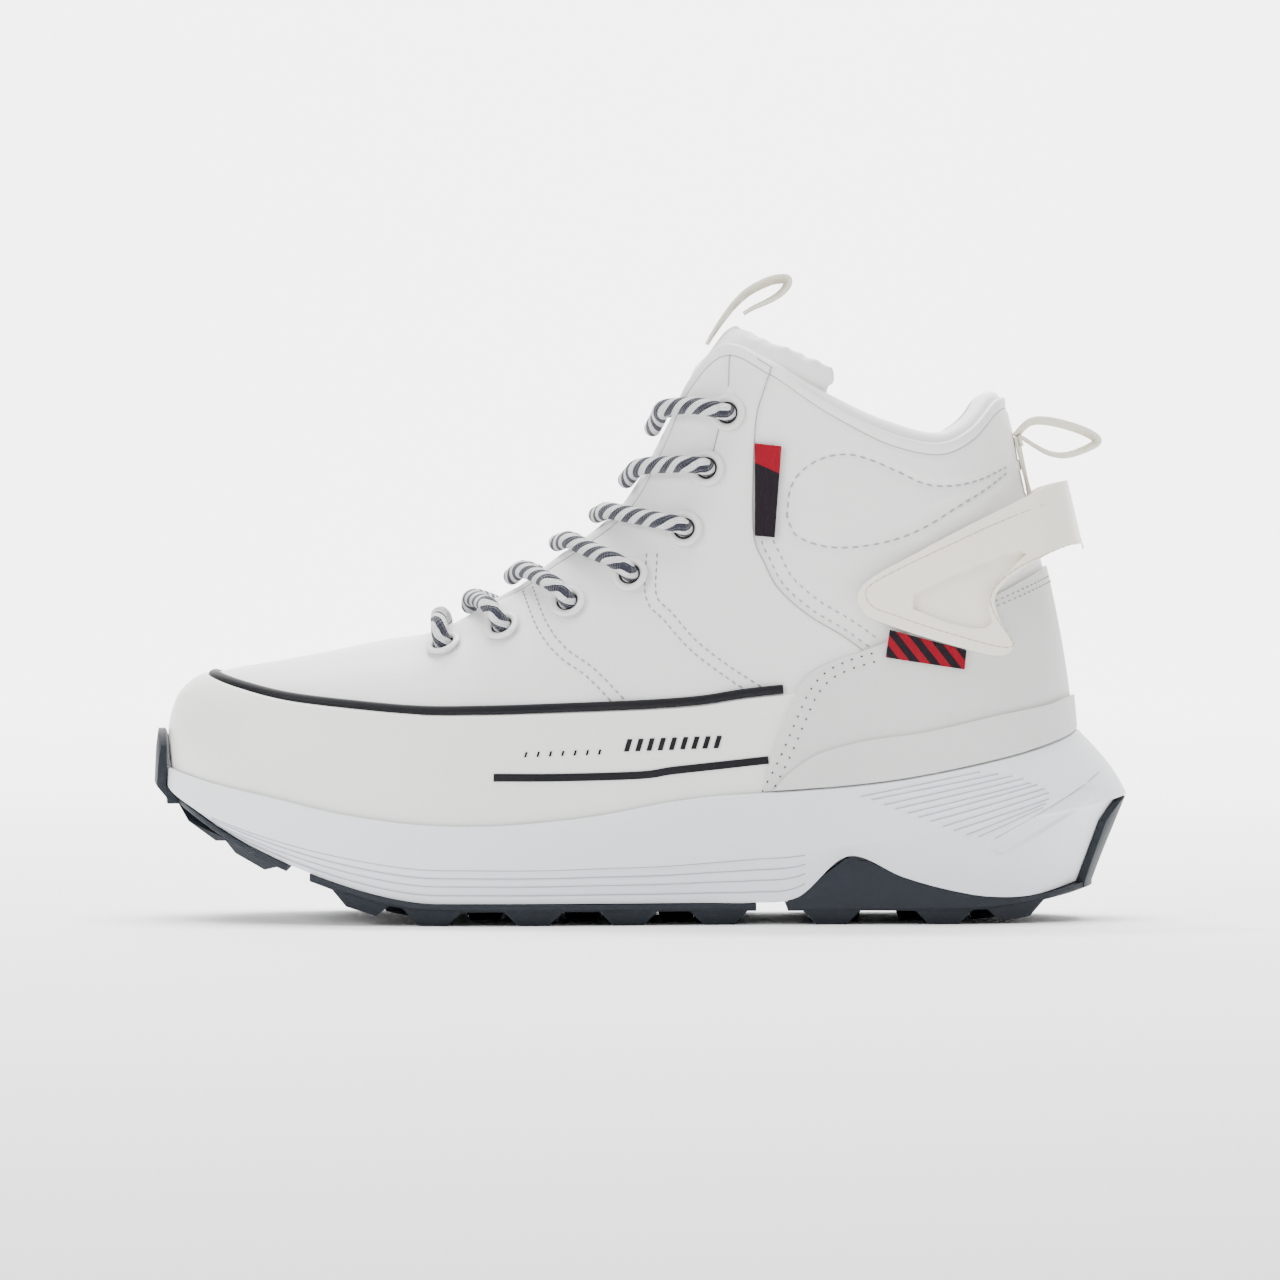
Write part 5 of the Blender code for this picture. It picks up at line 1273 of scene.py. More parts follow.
# %% Build the clip
CLIP_EDGE = [
    (0.716, 0.565), (0.728, 0.596), (0.777, 0.640), (0.826, 0.685), (0.888, 0.735), (0.924, 0.769),
    (1.05, 0.790), (1.05, 0.655), (0.938, 0.660), (0.908, 0.635), (0.875, 0.601), (0.859, 0.573),
    (0.857, 0.551), (0.865, 0.517), (0.875, 0.489), (0.877, 0.475), (0.869, 0.463), (0.852, 0.464),
    (0.793, 0.492), (0.744, 0.520), (0.725, 0.534),
]
CLIP_PANEL = [(0.757, 0.556), (0.830, 0.622), (0.900, 0.655), (0.862, 0.592), (0.850, 0.551), (0.857, 0.512), (0.826, 0.510)]
CLIP_GROOVE = [
    (0.9, 0.728), (0.83, 0.672), (0.78, 0.629), (0.736, 0.589), (0.727, 0.567), (0.735, 0.545), (0.755, 0.532),
    (0.800, 0.505), (0.852, 0.478), (0.866, 0.476), (0.867, 0.486), (0.856, 0.518), (0.848, 0.552),
    (0.852, 0.580), (0.870, 0.611), (0.905, 0.646), (0.925, 0.662),
]


PANEL_DEPTH = 1.8 * MM  # how far the clip's middle is sunk


def standoff(at):
    """Distance of the clip's inner face from the upper: it leaves the boot towards the heel."""
    folded = np.where(at % ROUND > HEEL, ROUND - at % ROUND, at % ROUND)
    return 2 * GAP + COUNTER_THICKNESS + CLIP_STANDOFF * soft((folded - 15.6) / 1.9)


def above_clip(flat, inner, height):
    at, v = on_leather(flat, inner)
    return upper_point(at, v) + upper_normal(at, v) * (standoff(at) + CLIP_THICKNESS + height)[:, None]


def build_clip():
    clip = band(
        "cream_clip", 12.0, ROUND - 12.0, 200, 40, at_height(0.44), at_height(0.80),
        standoff, lambda at: standoff(at) + CLIP_THICKNESS, CLIP_PLASTIC,
    )
    combine(clip, side_prism(rounded(CLIP_EDGE, 2)), "INTERSECT")
    panel = band(
        "panel", 12.2, ROUND - 12.2, 120, 20, at_height(0.46), at_height(0.76),
        lambda at: standoff(at) + CLIP_THICKNESS - PANEL_DEPTH, lambda at: standoff(at) + CLIP_THICKNESS + 4 * MM,
        CLIP_PLASTIC,
    )
    combine(panel, side_prism(rounded(CLIP_PANEL, 1)), "INTERSECT")
    combine(clip, panel, "DIFFERENCE")
    soften(clip, 0.3 * MM)
    return clip


place(build_clip(), "cream", "heel_clip")

# %% [markdown]
# ## Woven label and striped tab
#
# Two small woven ribbons are sewn in at the ankle: a black one with a red end, whose words are left out, and
# a short one with slanting red and black stripes. Cutting them like the overlays gives their shape. The
# pattern is a material that reads the place on the boot, so the stripes stay where they are.

# %% Striped ribbon
RED = (0.24, 0.003, 0.014, 1)
NEAR_BLACK = (0.012, 0.008, 0.012, 1)
TAB_PITCH = 4.4 * MM
TAB_SLANT = math.radians(52)


def red_stripes(tree, shader, colour, relief):
    """Slanting stripes in the side view."""
    parts = add_node(tree, "ShaderNodeSeparateXYZ")
    wire(tree, (tree.nodes["Texture Coordinate"].outputs["Object"], parts.inputs[0]))
    across = arithmetic(tree, "MULTIPLY", parts.outputs[0], math.sin(TAB_SLANT) / TAB_PITCH)
    up = arithmetic(tree, "MULTIPLY", parts.outputs[2], math.cos(TAB_SLANT) / TAB_PITCH)
    share = arithmetic(tree, "FRACT", arithmetic(tree, "ADD", arithmetic(tree, "ADD", across, up), 20.0))
    mixed = add_node(tree, "ShaderNodeMix", data_type="RGBA")
    mixed.inputs["A"].default_value = RED
    mixed.inputs["B"].default_value = NEAR_BLACK
    wire(tree, (arithmetic(tree, "GREATER_THAN", share, 0.5), mixed.inputs["Factor"]))
    wire(tree, (mixed.outputs["Result"], shader.inputs["Base Color"]))


def red_end(tree, shader, colour, relief):
    """Black ribbon whose upper end is red."""
    parts = add_node(tree, "ShaderNodeSeparateXYZ")
    wire(tree, (tree.nodes["Texture Coordinate"].outputs["Object"], parts.inputs[0]))
    line = arithmetic(tree, "ADD", parts.outputs[2], arithmetic(tree, "MULTIPLY", parts.outputs[0], 0.45))
    mixed = add_node(tree, "ShaderNodeMix", data_type="RGBA")
    mixed.inputs["A"].default_value = NEAR_BLACK
    mixed.inputs["B"].default_value = RED
    red_from = photo_xz(753, 463)
    level = red_from[1] + red_from[0] * 0.45
    wire(tree, (arithmetic(tree, "GREATER_THAN", line, level), mixed.inputs["Factor"]))
    wire(tree, (mixed.outputs["Result"], shader.inputs["Base Color"]))


RIBBON = Finish(RED[:3], RED[:3], 0.75, WEAVE, 2200, 0.00015, 0.0, 0.0)
STRIPED_RIBBON = dull(make_finish("striped_ribbon", RIBBON, ramp=red_stripes))
BLACK_RIBBON = dull(make_finish("black_ribbon", RIBBON, ramp=red_end))
TAB_EDGE = [(0.751, 0.509), (0.829, 0.473), (0.827, 0.440), (0.747, 0.461)]
LABEL_EDGE = [(0.615, 0.831), (0.642, 0.826), (0.635, 0.668), (0.615, 0.671)]


def build_tab():
    base = GAP + COUNTER_THICKNESS
    tab = band(
        "striped_tab", 13.0, 17.0, 60, 20, at_height(0.42), at_height(0.52),
        raised(base + 0.1 * MM), raised(base + GAP + LABEL_THICKNESS), STRIPED_RIBBON,
    )
    combine(tab, side_prism(TAB_EDGE, (-1,)), "INTERSECT")
    return soften(tab, 0.2 * MM)


def build_label():
    label = band(
        "woven_label", 10.5, 13.5, 60, 40, at_height(0.62), at_height(0.86),
        raised(0.05 * MM), raised(GAP + LABEL_THICKNESS), BLACK_RIBBON,
    )
    combine(label, side_prism(LABEL_EDGE, (-1,)), "INTERSECT")
    return soften(label, 0.2 * MM)


place(build_tab(), "red_woven", "clip_tab")
place(build_label(), "black_trim", "side_label")

# %% [markdown]
# ## Stitches
#
# A sewing machine repeats one stitch along a line, which is what Geometry Nodes do well: the line becomes a
# curve, the curve is resampled at the stitch's pitch, and a small rounded stitch is set at each point, turned
# along the seam and square to the leather. Pinholes are the same tree with a short, dark bead: painted shade
# inside each hole.

# %% The sewing tree


def build_sewing_tree():
    tree = bpy.data.node_groups.new("sewing", "GeometryNodeTree")
    for name, kind in (
        ("Geometry", "Geometry"), ("Pitch", "Float"), ("Length", "Float"), ("Width", "Float"), ("Finish", "Material"),
    ):
        tree.interface.new_socket(name=name, in_out="INPUT", socket_type="NodeSocket" + kind)
    tree.interface.new_socket(name="Geometry", in_out="OUTPUT", socket_type="NodeSocketGeometry")
    source, target = add_node(tree, "NodeGroupInput"), add_node(tree, "NodeGroupOutput")
    to_curve = add_node(tree, "GeometryNodeMeshToCurve")
    resample = add_node(tree, "GeometryNodeResampleCurve", mode="LENGTH")
    bead = add_node(tree, "GeometryNodeMeshUVSphere")
    bead.inputs["Segments"].default_value = 8
    bead.inputs["Rings"].default_value = 5
    bead.inputs["Radius"].default_value = 0.5
    scale = add_node(tree, "ShaderNodeCombineXYZ")
    tangent = add_node(tree, "GeometryNodeInputTangent")
    facing = add_node(tree, "GeometryNodeInputNamedAttribute", data_type="FLOAT_VECTOR")
    facing.inputs["Name"].default_value = "facing"
    ahead = add_node(tree, "FunctionNodeAlignRotationToVector", axis="X")
    upright = add_node(tree, "FunctionNodeAlignRotationToVector", axis="Z", pivot_axis="X")
    beads = add_node(tree, "GeometryNodeInstanceOnPoints")
    realize = add_node(tree, "GeometryNodeRealizeInstances")
    paint = add_node(tree, "GeometryNodeSetMaterial")
    smooth = add_node(tree, "GeometryNodeSetShadeSmooth")
    wire(
        tree,
        (source.outputs["Geometry"], to_curve.inputs["Mesh"]),
        (to_curve.outputs["Curve"], resample.inputs["Curve"]),
        (source.outputs["Pitch"], resample.inputs["Length"]),
        (source.outputs["Length"], scale.inputs["X"]),
        (source.outputs["Width"], scale.inputs["Y"]),
        (source.outputs["Width"], scale.inputs["Z"]),
        (tangent.outputs["Tangent"], ahead.inputs["Vector"]),
        (ahead.outputs["Rotation"], upright.inputs["Rotation"]),
        (facing.outputs["Attribute"], upright.inputs["Vector"]),
        (resample.outputs["Curve"], beads.inputs["Points"]),
        (bead.outputs["Mesh"], beads.inputs["Instance"]),
        (upright.outputs["Rotation"], beads.inputs["Rotation"]),
        (scale.outputs["Vector"], beads.inputs["Scale"]),
        (beads.outputs["Instances"], realize.inputs["Geometry"]),
        (realize.outputs["Geometry"], smooth.inputs["Geometry"]),
        (smooth.outputs["Geometry"], paint.inputs["Geometry"]),
        (source.outputs["Finish"], paint.inputs["Material"]),
        (paint.outputs["Geometry"], target.inputs["Geometry"]),
    )
    return tree


def socket_id(tree, name):
    """Identifier of a tree's input, which is what a modifier's value is set by."""
    return next(s.identifier for s in tree.interface.items_tree if s.in_out == "INPUT" and s.name == name)


def grown(name, points, tree, values, edges=(), attributes=()):
    """Mesh that a node tree makes from points or lines. attributes: (name, kind, values) rows."""
    mesh = bpy.data.meshes.new(name)
    mesh.from_pydata([tuple(p) for p in points], list(edges), [])
    for label, kind, rows in attributes:
        layer = mesh.attributes.new(label, kind, "POINT")
        rows = np.asarray(rows, float)
        if kind == "FLOAT_VECTOR":
            layer.data.foreach_set("vector", rows.ravel())
        else:
            layer.data.foreach_set("value", rows.ravel())
    thing = bpy.data.objects.new(name, mesh)
    bpy.context.scene.collection.objects.link(thing)
    modifier = thing.modifiers.new("grow", "NODES")
    modifier.node_group = tree
    for key, value in values.items():
        modifier[socket_id(tree, key)] = value
    bpy.context.view_layer.update()
    return baked(thing)


SEWING = build_sewing_tree()


def sew(name, lines, pitch, length, width, finish):
    """Stitches along lines given as (points, facing directions)."""
    points, facing, edges = [], [], []
    for line, normals in lines:
        edges += [(len(points) + i, len(points) + i + 1) for i in range(len(line) - 1)]
        points += list(line)
        facing += list(normals)
    values = {"Pitch": pitch, "Length": length, "Width": width, "Finish": finish}
    return grown(name, points, SEWING, values, edges, [("facing", "FLOAT_VECTOR", facing)])


print("sewing tree nodes:", len(SEWING.nodes))

# %% Where the seams run


def beside(flat, distance):
    """A line moved sideways in the side view."""
    ahead = np.gradient(flat, axis=0)
    ahead /= np.linalg.norm(ahead, axis=1, keepdims=True)
    return flat + np.stack([-ahead[:, 1], ahead[:, 0]], 1) * distance


def both_sides(flat, height=None):
    """A line of the side view laid on the outer and on the inner side of the leather."""
    lines = []
    for inner in (False, True):
        at, v = on_leather(flat, inner)
        points, normal = upper_point(at, v), upper_normal(at, v)
        lift = leather_relief(at, v, points) if height is None else height(at)
        lines.append((points + normal * (lift + 0.12 * MM)[:, None], normal))
    return lines


def on_counter(at):
    return GAP + bumper_step(at) + COUNTER_THICKNESS


white_rows = []
for pixels in (SEAM_TOE_SIDE, SEAM_MIDDLE):
    line = smooth_line(pixels, 60)
    for distance in (-1.6 * MM, 1.6 * MM):
        white_rows += both_sides(beside(line, distance))
ankle_rows = []
for distance in (-2.0 * MM, -5.4 * MM):
    ankle_rows += both_sides(beside(smooth_line(SEAM_ANKLE, 90), -distance)[22:])
pad_rows = both_sides(smooth_line(PAD_UPPER, 60)) + both_sides(smooth_line(PAD_LOWER, 60))
place(sew("panel_stitches", white_rows, 2.3 * MM, 1.6 * MM, 0.55 * MM, GREY_THREAD), "white_upper")
place(sew("ankle_stitches", ankle_rows, 2.6 * MM, 1.5 * MM, 0.5 * MM, GREY_THREAD), "white_upper")
place(sew("pad_stitches", pad_rows, 3.1 * MM, 2.2 * MM, 0.55 * MM, GREY_THREAD), "white_upper")

# %% Pinholes of the counter and stitches of the clip
PINHOLE_ROW = [
    (868, 652), (845, 659), (822, 671), (806, 690), (793, 718), (778, 752), (760, 786),
]
# Painted shade: the near-black beads in the counter's pinholes and the plugs in the eyelet holes stand for the shade
# inside the holes.
HOLE_SHADE = make_finish(
    "pinhole_shadow", Finish((0.05, 0.05, 0.05), (0.03, 0.03, 0.03), 0.9, GRAIN, 3000, 0.00002, 0.0, 0.0)
)
hole_rows = []
for distance in (0.0, 2.6 * MM):
    hole_rows += both_sides(beside(smooth_line(PINHOLE_ROW, 60), distance), on_counter)
holes = sew("counter_pinholes", hole_rows, 3.0 * MM, 0.75 * MM, 0.55 * MM, HOLE_SHADE)
place(holes, "grey_panel")
heel_row = [(990, 600), (1012, 591), (1030, 583), (1043, 577)]
heel_rows = []
for distance in (0.0, 1.6 * MM):
    heel_rows += both_sides(beside(smooth_line(heel_row, 20), -distance), on_counter)
place(sew("heel_stitches", heel_rows, 2.2 * MM, 1.2 * MM, 0.5 * MM, GREY_THREAD), "grey_panel")
clip_rows = []
groove = smooth_path([(float(along(a)), 0, b * SHAFT_HEIGHT) for a, b in CLIP_GROOVE], 120)[:, [0, 2]]
for inner in (False, True):
    at, v = on_leather(groove, inner)
    clip_rows.append((above_clip(groove, inner, -0.05 * MM), upper_normal(at, v)))
place(sew("clip_stitches", clip_rows, 2.4 * MM, 1.8 * MM, 0.4 * MM, TAN_THREAD), "cream")

# %% [markdown]
# ## Panel edges and printed lines
#
# Where one panel ends on another, its raw edge shows as a hair-thin grey line. A narrow tube along the seam,
# half sunk in the leather, draws it crisply at any distance, which a texture can't. The black print on the
# bumper is a film a fraction of a millimetre thick: flat ribbons that follow the leather. Where the real
# boot carries words, a row of plain slanting bars stands in.

# %% Panel edges


def edge_cords(name, lines, radius, finish):
    """Thin tubes along several lines, joined into one piece."""
    points, faces = [], []
    sides = 6
    for line, normals in lines:
        ahead = np.gradient(line, axis=0)
        ahead /= np.linalg.norm(ahead, axis=1, keepdims=True)
        side = np.cross(ahead, normals)
        side /= np.linalg.norm(side, axis=1, keepdims=True)
        base = len(points)
        for i in range(len(line)):
            for turn in np.linspace(0, 2 * math.pi, sides, endpoint=False):
                points.append(line[i] + radius * (math.cos(turn) * side[i] + math.sin(turn) * normals[i]))
        faces += [tuple(base + i for i in f) for f in quads(len(line), sides, closed=True)]
        faces += [tuple(base + i for i in range(sides))]
        faces += [tuple(base + (len(line) - 1) * sides + i for i in range(sides))]
    return add(name, points, faces, finish)


def rim_line(first, last, drop, count):
    """A line a distance below the rim."""
    at = np.linspace(first, last, count)
    v = 1 - (up_rib(at, 0 * at + 0.97, drop) - 0.97)
    points, normal = upper_point(at, v), upper_normal(at, v)
    return points + normal * (leather_relief(at, v, points) + 0.02 * MM)[:, None], normal


edge_lines = both_sides(smooth_line(SEAM_ANKLE, 120))
edge_lines += both_sides(line_of(SEAM_TOP_SHORT, 12)) + both_sides(line_of(SEAM_EYELET_SHORT, 12))
edge_lines += both_sides(smooth_line([(755, 345), (769, 368)], 10))
edge_lines += [(p, n) for p, n in (rim_line(5.9, 17.9, COLLAR_SEAM_DROP, 260), rim_line(18.1, 30.1, COLLAR_SEAM_DROP, 260))]
place(edge_cords("panel_edges", edge_lines, 0.17 * MM, GREY_THREAD), "white_upper")
place(edge_cords("clip_lines", clip_rows, 0.13 * MM, TAN_THREAD), "cream")

# %% Printed lines on the bumper


def film(name, strips, finish, height=0.12 * MM):
    """Flat ribbons on the bumper; each strip is a grid of points in the side view."""
    points, faces = [], []
    for grid, inner in strips:
        rows, columns = grid.shape[:2]
        at, v = on_leather(grid.reshape(-1, 2), inner)
        face, normal = upper_point(at, v), upper_normal(at, v)
        lift = (bumper_step(at) + 0.28 * MM)[:, None]
        base = len(points)
        count = rows * columns
        points += list(face + normal * (lift + height)) + list(face + normal * (lift - 0.3 * MM))
        one = quads(rows, columns)
        faces += [tuple(base + i for i in f) for f in one]
        faces += [tuple(base + count + i for i in reversed(f)) for f in one]
        edge = [c for c in range(columns)] + [r * columns + columns - 1 for r in range(1, rows)]
        edge += [(rows - 1) * columns + c for c in range(columns - 2, -1, -1)]
        edge += [r * columns for r in range(rows - 2, 0, -1)]
        faces += [(base + a, base + a + count, base + b + count, base + b) for a, b in zip(edge, edge[1:] + edge[:1])]
    return add(name, points, faces, finish, smooth=30)


def wide_line(flat, width):
    return np.stack([beside(flat, -width / 2), beside(flat, width / 2)], 0)


LOWER_LINE = [(496.5, 772.7), (560, 772.6), (640, 770.4), (671, 766.2), (720, 761), (766, 756)]
BAR_ROWS = [(528, 600, 7, 746.5, 5.0), (628, 716, 9, 741, 12.0)]  # first and last column, bars, row, height
BAR_SLANT = 0.3


def print_strips():
    strips = []
    for inner in (False, True):
        strips.append((wide_line(smooth_line(LOWER_LINE, 90), 2.3 * MM), inner))
        for first, last, count, row, tall in BAR_ROWS:
            for place_px in np.linspace(first, last, count):
                slope = (place_px - 640) * -0.035
                corners = []
                for across in (-1, 1):
                    low = photo_xz(place_px + across * tall * 0.2 - tall * BAR_SLANT / 2, row + slope + tall / 2)
                    high = photo_xz(place_px + across * tall * 0.2 + tall * BAR_SLANT / 2, row + slope - tall / 2)
                    corners.append([low, high])
                strips.append((np.array(corners), inner))
    return strips


place(film("bumper_print", print_strips(), BLACK_COATING), "black_trim")

# %% [markdown]
# ## Eyelets
#
# Fourteen pressed rings, all alike, sit in two rows. One ring is made inside a node tree, a flattened torus
# for the flange and a tall one for the barrel, and the tree sets it at fourteen points, each turned to face
# away from the leather.

# %% Eyelet places
EyeletPlace = namedtuple("EyeletPlace", "station v")
EYELETS = [
    EyeletPlace(5.27, 0.74),
    EyeletPlace(6.30, 0.73),
    EyeletPlace(7.30, 0.715),
    EyeletPlace(8.30, 0.70),
    EyeletPlace(9.75, 0.69),
    EyeletPlace(10.45, 0.78),
    EyeletPlace(11.04, 0.87),
]


def on(place, inner=False):
    """Station and v of a place, on the outer side or mirrored to the inner side."""
    return (ROUND - place.station if inner else place.station), place.v


def ring_frame(normal):
    """Two directions square to a normal."""
    side = np.cross(normal, (0.0, 0.0, 1.0))
    side /= np.linalg.norm(side)
    return side, np.cross(normal, side)


# %% Eyelet tree


def build_eyelet_tree():
    tree = bpy.data.node_groups.new("eyelets", "GeometryNodeTree")
    rows = (("Geometry", "Geometry"), ("Hole Radius", "Float"), ("Flange Radius", "Float"), ("Finish", "Material"))
    for name, kind in rows:
        tree.interface.new_socket(name=name, in_out="INPUT", socket_type="NodeSocket" + kind)
    tree.interface.new_socket(name="Geometry", in_out="OUTPUT", socket_type="NodeSocketGeometry")
    source, target = add_node(tree, "NodeGroupInput"), add_node(tree, "NodeGroupOutput")
    hole, flange = source.outputs["Hole Radius"], source.outputs["Flange Radius"]
    join = add_node(tree, "GeometryNodeJoinGeometry")

    def hoop(middle, thickness, squash, up):
        """Torus of a middle radius and thickness, squashed along its axis and lifted."""
        circle = add_node(tree, "GeometryNodeCurvePrimitiveCircle")
        circle.inputs["Resolution"].default_value = 40
        section = add_node(tree, "GeometryNodeCurvePrimitiveCircle")
        section.inputs["Resolution"].default_value = 12
        sweep = add_node(tree, "GeometryNodeCurveToMesh")
        shape = add_node(tree, "GeometryNodeTransform")
        shape.inputs["Scale"].default_value = (1, 1, squash)
        shape.inputs["Translation"].default_value = (0, 0, up)
        wire(
            tree,
            (middle, circle.inputs["Radius"]),
            (thickness, section.inputs["Radius"]),
            (circle.outputs["Curve"], sweep.inputs["Curve"]),
            (section.outputs["Curve"], sweep.inputs["Profile Curve"]),
            (sweep.outputs["Mesh"], shape.inputs["Geometry"]),
            (shape.outputs["Geometry"], join.inputs["Geometry"]),
        )

    middle = arithmetic(tree, "MULTIPLY", arithmetic(tree, "ADD", hole, flange), 0.5)
    half = arithmetic(tree, "MULTIPLY", arithmetic(tree, "SUBTRACT", flange, hole), 0.5)
    hoop(middle, half, 0.62, EYELET_SEAT + EYELET_FLANGE * 0.3)
    wall_half = arithmetic(tree, "MULTIPLY", half, 0.35)
    hoop(arithmetic(tree, "ADD", hole, wall_half), wall_half, 5.0, -0.8 * MM)
    facing = add_node(tree, "GeometryNodeInputNamedAttribute", data_type="FLOAT_VECTOR")
    facing.inputs["Name"].default_value = "facing"
    turn = add_node(tree, "FunctionNodeAlignRotationToVector", axis="Z")
    rings = add_node(tree, "GeometryNodeInstanceOnPoints")
    realize = add_node(tree, "GeometryNodeRealizeInstances")
    smooth = add_node(tree, "GeometryNodeSetShadeSmooth")
    paint = add_node(tree, "GeometryNodeSetMaterial")
    wire(
        tree,
        (source.outputs["Geometry"], rings.inputs["Points"]),
        (join.outputs["Geometry"], rings.inputs["Instance"]),
        (facing.outputs["Attribute"], turn.inputs["Vector"]),
        (turn.outputs["Rotation"], rings.inputs["Rotation"]),
        (rings.outputs["Instances"], realize.inputs["Geometry"]),
        (realize.outputs["Geometry"], smooth.inputs["Geometry"]),
        (smooth.outputs["Geometry"], paint.inputs["Geometry"]),
        (source.outputs["Finish"], paint.inputs["Material"]),
        (paint.outputs["Geometry"], target.inputs["Geometry"]),
    )
    return tree


def build_eyelets():
    points, facing, nodes = [], [], []
    for inner in (False, True):
        for number, eyelet in enumerate(EYELETS, 1):
            at, v = on(eyelet, inner)
            points.append(upper_point(at, v))
            facing.append(upper_normal(at, v))
            nodes.append(f"eyelet_{'inner' if inner else 'outer'}_{number}")
    values = {"Hole Radius": EYELET_HOLE_R, "Flange Radius": EYELET_FLANGE_R, "Finish": EYELET_PLASTIC}
    rings = grown("eyelet_rings", points, build_eyelet_tree(), values, (), [("facing", "FLOAT_VECTOR", facing)])
    place(rings, "eyelet", *nodes)


def build_eyelet_holes():
    """Painted shade in the holes: dark plugs that fill their mouths, a little below the flanges."""
    points, faces = [], []
    for inner in (False, True):
        for eyelet in EYELETS:
            at, v = on(eyelet, inner)
            centre, normal = upper_point(at, v), upper_normal(at, v)
            side, other = ring_frame(normal)
            base = len(points)
            for drop in (0.35 * MM, -0.9 * MM):
                for turn in np.linspace(0, 2 * math.pi, 24, endpoint=False):
                    spoke = math.cos(turn) * side + math.sin(turn) * other
                    points.append(centre + normal * drop + spoke * (EYELET_HOLE_R + 0.2 * MM))
            faces += [tuple(base + i for i in f) for f in quads(2, 24, closed=True)]
            faces += [tuple(base + i for i in range(24)), tuple(base + 47 - i for i in range(24))]
    return add("eyelet_mouths", points, faces, HOLE_SHADE)


build_eyelets()
place(build_eyelet_holes(), "eyelet")

# %% [markdown]
# ## Padded tongue
#
# The tongue is foam sewn into soft leather. It bends over the instep and wraps a little round the ankle, and
# its top swells above the laces. A table of sections gives the folded form, and the cloth solver blows it up
# like a cushion: the mesh is rebuilt in small cells, pressed out from inside for twenty frames, and each
# point's move is capped, less under the laces than at the free top. Its outer face stays in the throat.

# %% Sections of the tongue
TongueSection = namedtuple("TongueSection", "at up lean half depth")
TONGUE = [
    TongueSection(0.291, 0.471, 25.0, 0.182, 0.061),
    TongueSection(0.332, 0.517, 30.0, 0.202, 0.081),
    TongueSection(0.372, 0.583, 37.0, 0.222, 0.121),
    TongueSection(0.426, 0.646, 43.0, 0.242, 0.182),
    TongueSection(0.480, 0.718, 53.0, 0.263, 0.253),
    TongueSection(0.513, 0.816, 67.0, 0.278, 0.333),
    TongueSection(0.544, 0.922, 75.5, 0.293, 0.404),
    TongueSection(0.567, 0.991, 72.5, 0.308, 0.404),
    TongueSection(0.591, 1.046, 64.0, 0.313, 0.364),
]


def tongue_value(name, t):
    """A tongue column at section number t."""
    values = column(TONGUE, name)
    t = np.clip(np.asarray(t, float), 0, len(TONGUE) - 1)
    k = np.minimum(t.astype(int), len(TONGUE) - 2)
    f = t - k
    padded = np.concatenate([[2 * values[0] - values[1]], values, [2 * values[-1] - values[-2]]])
    a, b, c, d = (padded[k + i] for i in range(4))
    return 0.5 * (2 * b + (c - a) * f + (2 * a - 5 * b + 4 * c - d) * f**2 + (3 * b - 3 * c + d - a) * f**3)


def inside_samples():
    at, v = np.meshgrid(np.linspace(0, ROUND, 289), np.linspace(0.3, 1, 41), indexing="ij")
    at, v = at.reshape(-1), v.reshape(-1)
    return upper_point(at, v), upper_normal(at, v), wall(at, v)


def keep_inside(points, room):
    """Points moved in until they clear the upper's inner face by `room`."""
    faces, normals, walls = inside_samples()
    flat = points.reshape(-1, 3).copy()
    for _ in range(3):
        for i, point in enumerate(flat):
            distance = np.linalg.norm(faces - point, axis=1)
            for best in np.argsort(distance)[:4]:
                over = (flat[i] - faces[best]) @ normals[best] + walls[best] + room
                if over > 0 and distance[best] < 30 * MM:
                    flat[i] = flat[i] - normals[best] * over
    return flat.reshape(points.shape)


def tongue_grid(rows=17, columns=13):
    """Outer face of the tongue: rows up the front, columns across from the outer side."""
    t, u = np.meshgrid(np.linspace(0, len(TONGUE) - 1, rows), np.linspace(-1, 1, columns), indexing="ij")
    lean = np.radians(tongue_value("lean", t))
    turn = u * math.pi / 2
    deep = tongue_value("depth", t) * UPPER_WIDTH * (1 - np.cos(turn))
    x = along(tongue_value("at", t)) + np.sin(lean) * deep
    z = tongue_value("up", t) * SHAFT_HEIGHT - np.cos(lean) * deep
    y = tongue_value("half", t) * UPPER_WIDTH * np.sin(turn) + middle_y(t)
    return keep_inside(np.stack([x, y, z], -1), TONGUE_ROOM)


def middle_y(t):
    """The throat's middle, a little towards the outer side like the foot."""
    places = column(UPPER, "rim_at")
    return 0.6 * np.interp(tongue_value("at", t), places, column(UPPER, "centre", UPPER_WIDTH))


def grid_normals(grid):
    across = np.gradient(grid, axis=1)
    up = np.gradient(grid, axis=0)
    normal = np.cross(across, up)
    return normal / np.linalg.norm(normal, axis=-1, keepdims=True)


# %% Fill the tongue
SIMULATION_SCALE = 10.0  # the solver's stiffness suits pieces of about a metre
TONGUE_VOXEL = 2.2 * MM
TONGUE_CAP = 4.2 * MM
LACED_CAP = 0.7 * MM
SWELL_SMOOTHING = 6


